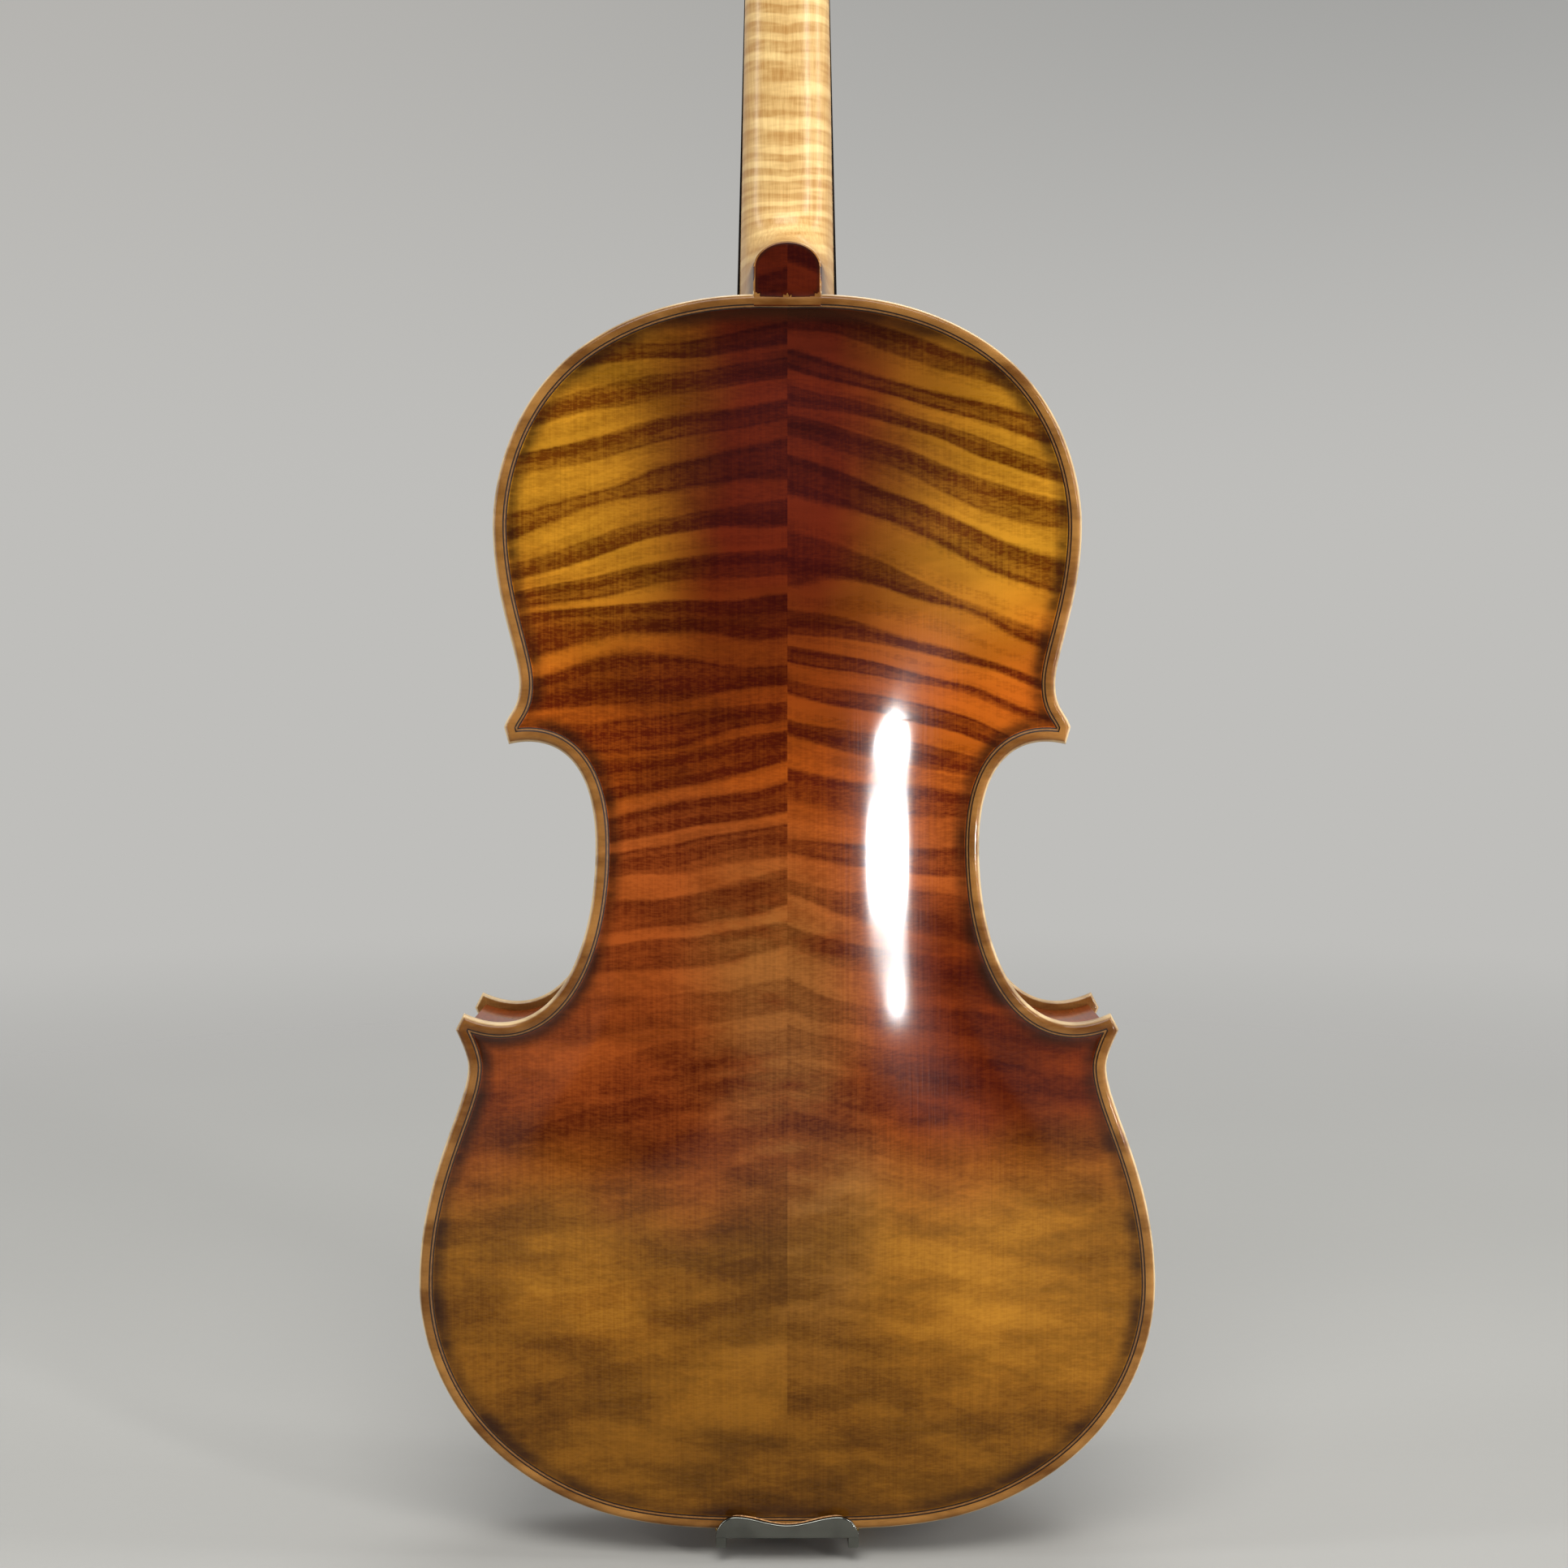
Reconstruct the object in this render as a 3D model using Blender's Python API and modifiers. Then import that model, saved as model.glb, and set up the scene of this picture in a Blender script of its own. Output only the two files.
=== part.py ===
"""A viola, piece by piece, in metres.

+Z runs up the body towards the scroll, the back faces -Y and the belly +Y.
+X is the bass side. The origin is the centre of the end button's flat face,
at half the height of the ribs.
"""
import math

import bmesh
import bpy
import numpy as np
from mathutils import Matrix, Vector
from mathutils.bvhtree import BVHTree

# Body
BODY_LENGTH = 0.406
UPPER_BOUT_WIDTH = 0.1904
UPPER_BOUT_AT = 0.332
UPPER_NECKING_WIDTH = 0.1740
UPPER_NECKING_AT = 0.2815
UPPER_CORNER_WIDTH = 0.1842
UPPER_CORNER_AT = 0.2672
WAIST_WIDTH = 0.1252
WAIST_AT = 0.229
LOWER_CORNER_WIDTH = 0.2176
LOWER_CORNER_AT = 0.168
LOWER_NECKING_WIDTH = 0.2096
LOWER_NECKING_AT = 0.156
LOWER_BOUT_WIDTH = 0.2434
LOWER_BOUT_AT = 0.082
CORNER_END_WIDTH = 0.0058
RIB_HEIGHT = 0.038
RIB_THICKNESS = 0.0013
LINING_THICKNESS = 0.0022
LINING_HEIGHT = 0.0080
EDGE_OVERHANG = 0.0030
EDGE_THICKNESS = 0.0045
BACK_ARCH = 0.0165
BELLY_ARCH = 0.0175
BACK_THICKNESS = 0.0038
BELLY_THICKNESS = 0.0030
PURFLING_INSET = 0.0041
PURFLING_WIDTH = 0.0013
PURFLING_DEPTH = 0.0022
CHANNEL_INSET = 0.0072
CHANNEL_DEPTH = 0.0008
LAND_WIDTH = 0.0092
BUTTON_WIDTH = 0.0220
BUTTON_HEIGHT = 0.0165
END_BLOCK_WIDTH = 0.052
END_BLOCK_DEPTH = 0.018
CORNER_BLOCK_SIDE = 0.026
BASS_BAR_LENGTH = 0.290
BASS_BAR_WIDTH = 0.0055
BASS_BAR_HEIGHT = 0.011
SOUND_POST_DIAMETER = 0.0065
SOUND_POST_BEHIND_BRIDGE = 0.0062

# Sound holes
HOLE_STEM_WIDTH = 0.0066
HOLE_UPPER_EYE = 0.0080
HOLE_LOWER_EYE = 0.0110
HOLE_UPPER_SPACING = 0.060
HOLE_LOWER_SPACING = 0.104
HOLE_HEIGHT = 0.066

# Neck and head
BODY_STOP = 0.220
NECK_STOP = 0.150
NECK_SLOPE = 0.128
OVERSTAND = 0.008
MORTISE_DEPTH = 0.006
NECK_WIDTH_AT_NUT = 0.0262
NECK_WIDTH_AT_BODY = 0.0330
NECK_DEPTH_AT_NUT = 0.0130
NECK_DEPTH_AT_BODY = 0.0150
BOARD_LENGTH = 0.305
BOARD_END_WIDTH = 0.044
BOARD_EDGE = 0.0055
BOARD_RADIUS = 0.042
NUT_LENGTH = 0.0055
NUT_RISE = 0.0006
PEGBOX_LENGTH = 0.070
CHEEK_THICKNESS = 0.0048
PEGBOX_FLOOR = 0.0058
SCROLL_RADIUS = 0.0245
SCROLL_WIDTH = 0.0430
PEG_DIAMETER = 0.0085
PEG_TAPER = 0.033
PEG_HEAD_WIDTH = 0.0240
PEG_HEAD_LENGTH = 0.0170
PEG_HEAD_THICKNESS = 0.0090
PEG_SPACING = 0.0140
FIRST_PEG_AT = 0.0165

# Strings and what carries them
STRING_SPREAD_AT_NUT = 0.0172
STRING_SPREAD_AT_BRIDGE = 0.0375
STRING_DIAMETERS = {"C": 0.00115, "G": 0.0009, "D": 0.0008, "A": 0.0007}
BRIDGE_HEIGHT = 0.0378
BRIDGE_WIDTH = 0.048
BRIDGE_FOOT_THICKNESS = 0.0050
BRIDGE_TOP_THICKNESS = 0.0017
BRIDGE_TOP_TILT = 0.065
TAILPIECE_LENGTH = 0.122
TAILPIECE_TOP_WIDTH = 0.046
TAILPIECE_END_WIDTH = 0.0235
TAILPIECE_THICKNESS = 0.0050
TAIL_GUT_DIAMETER = 0.0018
SADDLE_WIDTH = 0.036
SADDLE_LENGTH = 0.0075
SADDLE_RISE = 0.0075
END_BUTTON_REACH = 0.013
END_BUTTON_DIAMETER = 0.015
END_BUTTON_SHANK = 0.0085
END_BUTTON_SHANK_LENGTH = 0.022
END_BUTTON_NECK = 0.0104

# Fine tuner of the highest string
TUNER_WIDTH = 0.0050
TUNER_LEVER_WIDTH = 0.0020
TUNER_SCREW_DIAMETER = 0.0026
TUNER_HEAD_DIAMETER = 0.0060
TUNER_BAR_HEIGHT = 0.0030
TUNER_REACH = 0.0190
TUNER_PIN_DIAMETER = 0.0010
TUNER_PIN_HEIGHT = 0.0010

# Chin rest and its clamp
CLAMP_WIDTH = 0.0473
CLAMP_PLATE_THICKNESS = 0.0016
CLAMP_LEG_WIDTH = 0.0035
BARREL_DIAMETER = 0.0052
BARREL_LENGTH = 0.024
STUD_DIAMETER = 0.0026
CORK_THICKNESS = 0.0020
CHIN_CUP_LENGTH = 0.066
CHIN_CUP_REACH = 0.090
CHIN_FOOT_WIDTH = 0.0110
CHIN_REST_RISE = 0.0190

# Clearances
GAP = 0.0003
TURN_CLEARANCE = 0.0003
SEAM_ALLOWANCE = 0.00002
BAR_SEAT_STEP = 0.005

# Places that follow from the sizes above
BODY_BOTTOM = END_BUTTON_REACH - EDGE_OVERHANG
BODY_TOP = BODY_BOTTOM + BODY_LENGTH
RIB_TOP = RIB_HEIGHT / 2
EDGE_PLANE = RIB_TOP + EDGE_THICKNESS
BRIDGE_AT = BODY_TOP - BODY_STOP
SOUND_POST_AT = BRIDGE_AT - SOUND_POST_BEHIND_BRIDGE
FOOT_CENTRE = BRIDGE_WIDTH / 2 - 0.0062
ROOT_Y = EDGE_PLANE + OVERSTAND
NECK_COS = 1 / math.hypot(1, NECK_SLOPE)
NECK_SIN = NECK_SLOPE * NECK_COS
NUT_ORIGIN = Vector((0, ROOT_Y - NECK_STOP * NECK_SLOPE, BODY_TOP + NECK_STOP))
STRING_NAMES = ("C", "G", "D", "A")
PEG_ORDER = (("C", 1), ("A", -1), ("G", 1), ("D", -1))
SIDES = (("bass", 1), ("treble", -1))

# Colours, roughness and metallic values
MAPLE = ((0.36, 0.15, 0.05), 0.28, 0)
SPRUCE = ((0.50, 0.26, 0.10), 0.30, 0)
BARE_MAPLE = ((0.66, 0.50, 0.30), 0.50, 0)
BARE_SPRUCE = ((0.72, 0.58, 0.38), 0.70, 0)
EBONY = ((0.020, 0.018, 0.017), 0.35, 0)
PURFLING = ((0.06, 0.035, 0.025), 0.50, 0)
CORK = ((0.55, 0.40, 0.26), 0.90, 0)
CHROME = ((0.75, 0.76, 0.78), 0.12, 1)
BRASS = ((0.72, 0.55, 0.25), 0.25, 1)
STRING_METAL = ((0.55, 0.55, 0.56), 0.30, 1)
GUT = ((0.05, 0.05, 0.05), 0.50, 0)

PARTS = bpy.data.collections.new("viola")
CUTTERS = bpy.data.collections.new("viola_cutters")


def clear_scene():
    for item in list(bpy.data.objects):
        bpy.data.objects.remove(item, do_unlink=True)
    bpy.context.scene.collection.children.link(PARTS)
    bpy.context.scene.collection.children.link(CUTTERS)


# Helpers for objects and modifiers

def material(name, finish):
    """A plain varnish, wood or metal from its colour, roughness and metallic value."""
    colour, roughness, metallic = finish
    made = bpy.data.materials.new(name)
    made.use_nodes = True
    shader = made.node_tree.nodes["Principled BSDF"]
    shader.inputs["Base Color"].default_value = (*colour, 1)
    shader.inputs["Roughness"].default_value = roughness
    shader.inputs["Metallic"].default_value = metallic
    return made


def part(name, mesh, finish, smooth=30):
    """A finished piece of the instrument."""
    made = bpy.data.objects.new(name, mesh)
    mesh.name = name
    PARTS.objects.link(made)
    made.data.materials.append(material(name, finish))
    if smooth:
        mesh.shade_smooth()
        mesh.set_sharp_from_angle(angle=math.radians(smooth))
    return made


def helper(name, mesh):
    """A solid that only cuts or joins another one."""
    made = bpy.data.objects.new(name, mesh)
    CUTTERS.objects.link(made)
    made.hide_render = True
    made.display_type = "WIRE"
    return made


def boolean(target, tool, operation="DIFFERENCE"):
    step = target.modifiers.new(tool.name, "BOOLEAN")
    step.operation = operation
    step.object = tool


def finished_mesh(item):
    """The mesh of an object with all its modifiers, in world places."""
    graph = bpy.context.evaluated_depsgraph_get()
    mesh = bpy.data.meshes.new_from_object(item.evaluated_get(graph))
    mesh.transform(item.matrix_world)
    return mesh


def mesh_of(bm):
    bmesh.ops.remove_doubles(bm, verts=bm.verts, dist=1e-6)
    bmesh.ops.recalc_face_normals(bm, faces=bm.faces)
    mesh = bpy.data.meshes.new("mesh")
    bm.to_mesh(mesh)
    bm.free()
    return mesh


def loft(sections, closed=False):
    """A solid through like-numbered rings; the end rings are capped unless it closes."""
    bm = bmesh.new()
    rings = [[bm.verts.new(point) for point in ring] for ring in sections]
    pairs = list(zip(rings, rings[1:]))
    if closed:
        pairs.append((rings[-1], rings[0]))
    for lower, upper in pairs:
        for i in range(len(lower)):
            j = (i + 1) % len(lower)
            bm.faces.new((lower[i], lower[j], upper[j], upper[i]))
    if not closed:
        bm.faces.new(rings[0])
        bm.faces.new(list(reversed(rings[-1])))
    return mesh_of(bm)


def flat_outline(loops, thickness):
    """A 2D outline in X and Z, holes included, thickened along Y about y = 0."""
    curve = bpy.data.curves.new("outline", "CURVE")
    curve.dimensions = "2D"
    curve.fill_mode = "BOTH"
    curve.extrude = thickness / 2
    for points in loops:
        spline = curve.splines.new("POLY")
        spline.points.add(len(points) - 1)
        for point, (x, z) in zip(spline.points, points):
            point.co = (x, z, 0, 1)
        spline.use_cyclic_u = True
    item = bpy.data.objects.new("outline", curve)
    bpy.context.scene.collection.objects.link(item)
    graph = bpy.context.evaluated_depsgraph_get()
    mesh = bpy.data.meshes.new_from_object(item.evaluated_get(graph))
    bpy.data.objects.remove(item)
    mesh.transform(Matrix(((1, 0, 0, 0), (0, 0, -1, 0), (0, 1, 0, 0), (0, 0, 0, 1))))
    bm = bmesh.new()
    bm.from_mesh(mesh)
    return mesh_of(bm)


def moved(mesh, x=0, y=0, z=0):
    mesh.transform(Matrix.Translation((x, y, z)))
    return mesh


def box(low, high):
    bm = bmesh.new()
    bmesh.ops.create_cube(bm, size=1)
    low, high = Vector(low), Vector(high)
    bmesh.ops.scale(bm, vec=high - low, verts=bm.verts)
    bmesh.ops.translate(bm, vec=(low + high) / 2, verts=bm.verts)
    return mesh_of(bm)


def rod(start, end, radius, end_radius=None, sides=20):
    """A round bar or cone between two points."""
    bm = bmesh.new()
    start, end = Vector(start), Vector(end)
    turn = (end - start).to_track_quat("Z", "X").to_matrix().to_4x4()
    bmesh.ops.create_cone(
        bm, cap_ends=True, segments=sides, radius1=radius,
        radius2=radius if end_radius is None else end_radius, depth=(end - start).length,
        matrix=Matrix.Translation((start + end) / 2) @ turn)
    return mesh_of(bm)


def tube(points, radius, radii=None, sides_step=2):
    """A wire through the points, as a filled curve; radii scale it point by point."""
    curve = bpy.data.curves.new("wire", "CURVE")
    curve.dimensions = "3D"
    curve.bevel_depth = radius
    curve.bevel_resolution = sides_step
    curve.use_fill_caps = True
    spline = curve.splines.new("POLY")
    spline.points.add(len(points) - 1)
    for i, place in enumerate(points):
        spline.points[i].co = (*place, 1)
        spline.points[i].radius = radii[i] if radii else 1
    item = bpy.data.objects.new("wire", curve)
    bpy.context.scene.collection.objects.link(item)
    graph = bpy.context.evaluated_depsgraph_get()
    mesh = bpy.data.meshes.new_from_object(item.evaluated_get(graph))
    bpy.data.objects.remove(item)
    bm = bmesh.new()
    bm.from_mesh(mesh)
    return mesh_of(bm)


def turned(profile, steps=24):
    """A turned solid about Z from (radius, height) points, top to bottom."""
    bm = bmesh.new()
    verts = [bm.verts.new((radius, 0, height)) for radius, height in profile]
    for above, below in zip(verts, verts[1:]):
        bm.edges.new((above, below))
    mesh = bpy.data.meshes.new("profile")
    bm.to_mesh(mesh)
    bm.free()
    item = bpy.data.objects.new("profile", mesh)
    bpy.context.scene.collection.objects.link(item)
    screw = item.modifiers.new("turn", "SCREW")
    screw.steps = steps
    screw.render_steps = steps
    screw.use_merge_vertices = True
    screw.merge_threshold = 0.00001
    made = finished_mesh(item)
    bpy.data.objects.remove(item)
    bm = bmesh.new()
    bm.from_mesh(made)
    return mesh_of(bm)


# Outline of the plates

def bezier(a, b, c, d, count):
    t = np.linspace(0, 1, count)[:, None]
    a, b, c, d = (np.array(point, float) for point in (a, b, c, d))
    return a * (1 - t) ** 3 + 3 * b * t * (1 - t) ** 2 + 3 * c * t * t * (1 - t) + d * t ** 3


def joined(*curves):
    return np.vstack([curves[0]] + [curve[1:] for curve in curves[1:]])


def upper_stretch():
    """From the top centre round the upper bout to the upper corner's outer tip."""
    half, wide = UPPER_BOUT_WIDTH / 2, UPPER_BOUT_AT
    neck, neck_at = UPPER_NECKING_WIDTH / 2, UPPER_NECKING_AT
    tip = np.array((UPPER_CORNER_WIDTH / 2, UPPER_CORNER_AT))
    rise = BODY_LENGTH - wide
    knee = np.array((half * 0.6366, wide + rise * 0.825))
    slant = np.array((math.cos(0.53), -math.sin(0.53)))
    reach = (knee[1] - BODY_LENGTH) / slant[1] * 1.1407
    top = bezier((0, BODY_LENGTH), (half * 0.105, BODY_LENGTH), knee - slant * reach, knee, 16)
    shoulder = bezier(knee, knee + slant * half * 0.400, (half, wide + rise * 0.0924),
                      (half, wide), 24)
    fall = wide - neck_at
    side = bezier((half, wide), (half, wide - fall * 0.472), (neck, neck_at + fall * 0.188),
                  (neck, neck_at), 16)
    drop = neck_at - tip[1]
    lip = np.array((math.cos(1.26), -math.sin(1.26))) * drop * 0.39
    corner = bezier((neck, neck_at), (neck, neck_at - drop * 0.587), tip - lip, tip, 12)
    return joined(top, shoulder, side, corner)


def lower_stretch():
    """From the lower corner's outer tip round the lower bout to the bottom centre."""
    half, wide = LOWER_BOUT_WIDTH / 2, LOWER_BOUT_AT
    neck, neck_at = LOWER_NECKING_WIDTH / 2, LOWER_NECKING_AT
    tip = np.array((LOWER_CORNER_WIDTH / 2, LOWER_CORNER_AT))
    lift = tip[1] - neck_at
    lip = np.array((math.cos(1.15), math.sin(1.15))) * lift * 0.20
    corner = bezier(tip, tip - lip, (neck, neck_at + lift * 0.3), (neck, neck_at), 12)
    climb = neck_at - wide
    side = bezier((neck, neck_at), (neck, neck_at - climb * 0.182), (half, wide + climb * 0.504),
                  (half, wide), 20)
    knee = np.array((half * 0.6717, wide * 0.182))
    slant = np.array((math.cos(0.54), math.sin(0.54)))
    shoulder = bezier((half, wide), (half, wide * (1 - 0.235)), knee + slant * half * 0.301, knee, 24)
    reach = knee[1] / slant[1] * 0.985
    bottom = bezier(knee, knee - slant * reach, (half * 0.28, 0), (0, 0), 16)
    return joined(corner, side, shoulder, bottom)


def corner_end(tip, slant):
    """The inner tip of a corner: its end face runs from the outer tip along slant."""
    return tip + CORNER_END_WIDTH * np.array((-math.cos(slant), math.sin(slant)))


def waist_stretch():
    """From the upper corner's inner tip along the waist to the lower corner's."""
    start = corner_end(upper_stretch()[-1], -1.30)
    end = corner_end(lower_stretch()[0], 1.09)
    half, at = WAIST_WIDTH / 2, WAIST_AT
    above = start[1] - at
    below = at - end[1]
    flare, spread = start[0] - half, end[0] - half
    upper = bezier(start, start + np.array((-flare * 0.50, flare * 0.123)),
                   (half, at + above * 0.896), (half, at), 24)
    lower = bezier((half, at), (half, at - below * 0.724),
                   end - np.array((spread * 0.602, spread * 0.2836)), end, 28)
    return joined(upper, lower)


def inset(stretch, distance):
    """The stretch moved towards the inside of the body, with its ends run on."""
    along = np.gradient(stretch, axis=0)
    along /= np.linalg.norm(along, axis=1)[:, None]
    inner = stretch + distance * np.column_stack((along[:, 1], -along[:, 0]))
    run = 2 * CORNER_END_WIDTH
    return np.vstack((inner[0] - along[0] * run, inner, inner[-1] + along[-1] * run))


def crossing(first, second):
    """Where two polylines cross: the place along each, counted in segments."""
    a, b = first[:-1, None], first[1:, None]
    c, d = second[None, :-1], second[None, 1:]
    u, v, w = b - a, d - c, c - a
    cross = u[..., 0] * v[..., 1] - u[..., 1] * v[..., 0]
    cross = np.where(np.abs(cross) < 1e-15, 1e-15, cross)
    s = (w[..., 0] * v[..., 1] - w[..., 1] * v[..., 0]) / cross
    t = (w[..., 0] * u[..., 1] - w[..., 1] * u[..., 0]) / cross
    hits = np.argwhere((s >= 0) & (s < 1) & (t >= 0) & (t < 1))
    i, j = hits[0]
    return i + s[i, j], j + t[i, j]


def lengths(line):
    return np.concatenate(([0], np.cumsum(np.linalg.norm(np.diff(line, axis=0), axis=1))))


def piece_of(line, start, end, count):
    """Evenly spaced points between two lengths along a line."""
    run = lengths(line)
    at = np.linspace(start, end, count)
    return np.column_stack((np.interp(at, run, line[:, 0]), np.interp(at, run, line[:, 1])))


def length_at(line, place):
    run = lengths(line)
    return np.interp(place, np.arange(len(line)), run)


def half_ring(distance, counts=(12, 11, 12)):
    """The half outline at an inset, as three stretches of points, top to bottom."""
    upper = inset(UPPER, distance)
    waist = inset(WAIST, distance)
    lower = inset(LOWER, distance)
    upper, lower = upper[1:], lower[:-1]
    upper[0][0] = 0
    lower[-1][0] = 0
    tips = []
    for bout, first in ((upper, True), (lower, False)):
        pair = (bout, waist) if first else (waist, bout)
        places = crossing(*pair)
        at = [length_at(pair[0], places[0]), length_at(pair[1], places[1])]
        face = corner_face(distance, first)
        for k, line in enumerate(pair):
            hit = face_place(line, face)
            if hit is not None:
                at[k] = min(at[k], hit) if k == 0 else max(at[k], hit)
        shift = max(0, 0.0003 - abs(at[0] - length_at(pair[0], places[0])))
        at[0] -= shift
        at[1] += shift
        tips.append(at)
    upper_run = piece_of(upper, 0, tips[0][0], counts[0])
    waist_run = piece_of(waist, tips[0][1], tips[1][0], counts[1])
    lower_run = piece_of(lower, tips[1][1], lengths(lower)[-1], counts[2])
    return [upper_run, waist_run, lower_run]


def corner_face(distance, upper):
    """The end face of a corner, moved in by a distance, run on both ways."""
    if upper:
        face = np.array((UPPER[-1], WAIST[0]))
    else:
        face = np.array((WAIST[-1], LOWER[0]))
    along = (face[1] - face[0]) / np.linalg.norm(face[1] - face[0])
    inner = face + distance * np.array((along[1], -along[0]))
    return np.array((inner[0] - along * 0.02, inner[1] + along * 0.02))


def face_place(line, face):
    """The length along a line where it meets a corner's end face."""
    try:
        place, _ = crossing(line, face)
    except IndexError:
        return None
    return length_at(line, place)


UPPER = upper_stretch()
LOWER = lower_stretch()
WAIST = waist_stretch()


# Arching

def channel_line():
    """Half width of the channel at each height, from bottom to top."""
    ring = np.vstack(half_ring(CHANNEL_INSET, (60, 60, 60)))[::-1]
    heights = np.maximum.accumulate(ring[:, 1])
    return heights, ring[:, 0]


CHANNEL = channel_line()


def swell_line():
    """Half width of the arched field: the channel's, drawn in smoothly past the corners."""
    heights, widths = CHANNEL
    at = np.linspace(heights[0], heights[-1], 200)
    width = np.interp(at, heights, widths)
    reach = CORNER_BLOCK_SIDE * np.minimum(1, np.minimum(at - at[0], at[-1] - at) / 0.05)
    least = [width[abs(at - s) <= r + 1e-9].min() for s, r in zip(at, reach)]
    least = np.array(least)
    eased = [least[abs(at - s) <= r + 1e-9].mean() for s, r in zip(at, reach)]
    return at, np.minimum(np.array(eased), width)


SWELL = swell_line()


def arch_height(arch, x, s):
    """Height of a plate's outer face over its inner plane, inside the channel."""
    heights, widths = SWELL
    low, high = heights[0], heights[-1]
    base = EDGE_THICKNESS - CHANNEL_DEPTH
    ends = 1 - abs(2 * s - low - high) / (high - low)
    rise = (0.5 - 0.5 * math.cos(math.pi * min(1, max(0, ends) / 0.62))) ** 0.75
    across = min(1, abs(x) / max(1e-6, np.interp(s, heights, widths)))
    swell = (0.5 + 0.5 * math.cos(math.pi * across ** 1.1)) ** 0.95
    return base + (arch - base) * rise * swell


def rows(ring, fractions):
    """Lines of points from a ring to the centre line, one row for each ring point."""
    spine = np.column_stack((np.zeros(len(ring)), np.minimum.accumulate(ring[:, 1])))
    return [ring * (1 - part) + spine * part for part in fractions]


def plate_half(arch, thickness):
    """Half a plate for x >= 0: rings from the glue land round the edge to the centre."""
    groove = PURFLING_WIDTH / 2 + 0.0002
    outer, inner = PURFLING_INSET - groove, PURFLING_INSET + groove
    top = EDGE_THICKNESS
    low = top - CHANNEL_DEPTH * 0.7
    profile = (
        (LAND_WIDTH, 0), (0.0007, 0), (0, 0.0009), (0, top - 0.0014), (0.0009, top - 0.0002),
        (0.0020, top), (outer, low), (outer, low - PURFLING_DEPTH),
        (inner, low - PURFLING_DEPTH), (inner, top - CHANNEL_DEPTH * 0.9),
        (CHANNEL_INSET, top - CHANNEL_DEPTH))
    rings = []
    for distance, height in profile:
        ring = np.vstack(half_ring(distance))
        rings.append([(x, height, s) for x, s in ring])
    outer_rows = rows(np.vstack(half_ring(CHANNEL_INSET)), (0.16, 0.40, 0.70, 1))
    inner_rows = rows(np.vstack(half_ring(LAND_WIDTH)), (0.25, 0.60, 1))
    for row in outer_rows:
        rings.append([(x, arch_height(arch, x, s), s) for x, s in row])
    below = []
    for row in inner_rows:
        below.append([(x, max(0, arch_height(arch, x, s) - thickness), s) for x, s in row])
    return list(reversed(below)) + rings


def plate_mesh(arch, thickness, face, side):
    """Half a plate, closed along the centre joint; face is +1 for the belly, -1 for the back."""
    bm = bmesh.new()
    lines = []
    for ring in plate_half(arch, thickness):
        line = []
        for x, height, s in ring:
            line.append(bm.verts.new((side * x, face * (RIB_TOP + height), BODY_BOTTOM + s)))
        lines.append(line)
    for first, second in zip(lines, lines[1:]):
        for i in range(len(first) - 1):
            bm.faces.new((first[i], first[i + 1], second[i + 1], second[i]))
    bmesh.ops.remove_doubles(bm, verts=bm.verts, dist=2e-6)
    bmesh.ops.dissolve_degenerate(bm, edges=bm.edges, dist=1e-7)
    joint = [edge for edge in bm.edges if edge.is_boundary]
    bmesh.ops.holes_fill(bm, edges=joint, sides=0)
    return mesh_of(bm)


# Body pieces

def both_sides(points):
    """A half line of (x, s) points from the centre, mirrored into a whole one."""
    return [(-x, s) for x, s in reversed(points) if x > 1e-9] + list(points)


def upright(points, height, y=0):
    """A solid with a flat outline of (x, s) points and its height along Y."""
    return moved(flat_outline([[(x, BODY_BOTTOM + s) for x, s in points]], height), y=y)


def button_mesh(side):
    """Half of the round-topped tab of the back that the heel is glued to."""
    half, straight = BUTTON_WIDTH / 2, BUTTON_HEIGHT * 0.48
    middle = 5 * SEAM_ALLOWANCE
    points = [(middle, BODY_LENGTH - 0.0015), (half, BODY_LENGTH - 0.0015)]
    for i in range(9):
        angle = math.pi / 2 * i / 8
        points.append((max(middle, half * math.cos(angle)),
                       BODY_LENGTH + straight + (BUTTON_HEIGHT - straight) * math.sin(angle)))
    points = [(side * x, s) for x, s in points]
    return upright(points, EDGE_THICKNESS - 0.0004, -RIB_TOP - EDGE_THICKNESS / 2)


def root_half_width(y, clearance=0):
    share = (y + RIB_TOP) / (ROOT_Y + RIB_TOP)
    return BUTTON_WIDTH / 2 + (NECK_WIDTH_AT_BODY - BUTTON_WIDTH) / 2 * share + clearance


def mortise_cutter():
    """The neck root's own shape, a little larger, through block, ribs and belly."""
    low, high = -RIB_TOP - 0.001, EDGE_PLANE + 0.004
    z = BODY_TOP - EDGE_OVERHANG - MORTISE_DEPTH - GAP
    sections = []
    for y in (low, high):
        half = root_half_width(y, GAP)
        sections.append([(-half, y, z), (half, y, z), (half, y, BODY_TOP + 0.01),
                         (-half, y, BODY_TOP + 0.01)])
    return helper("mortise_cut", loft(sections))


def saddle_cutter():
    half = SADDLE_WIDTH / 2 + GAP
    return helper("saddle_cut", box(
        (-half, RIB_TOP - 0.001, BODY_BOTTOM - 0.004),
        (half, EDGE_PLANE + 0.004, BODY_BOTTOM + SADDLE_LENGTH + GAP)))


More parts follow.
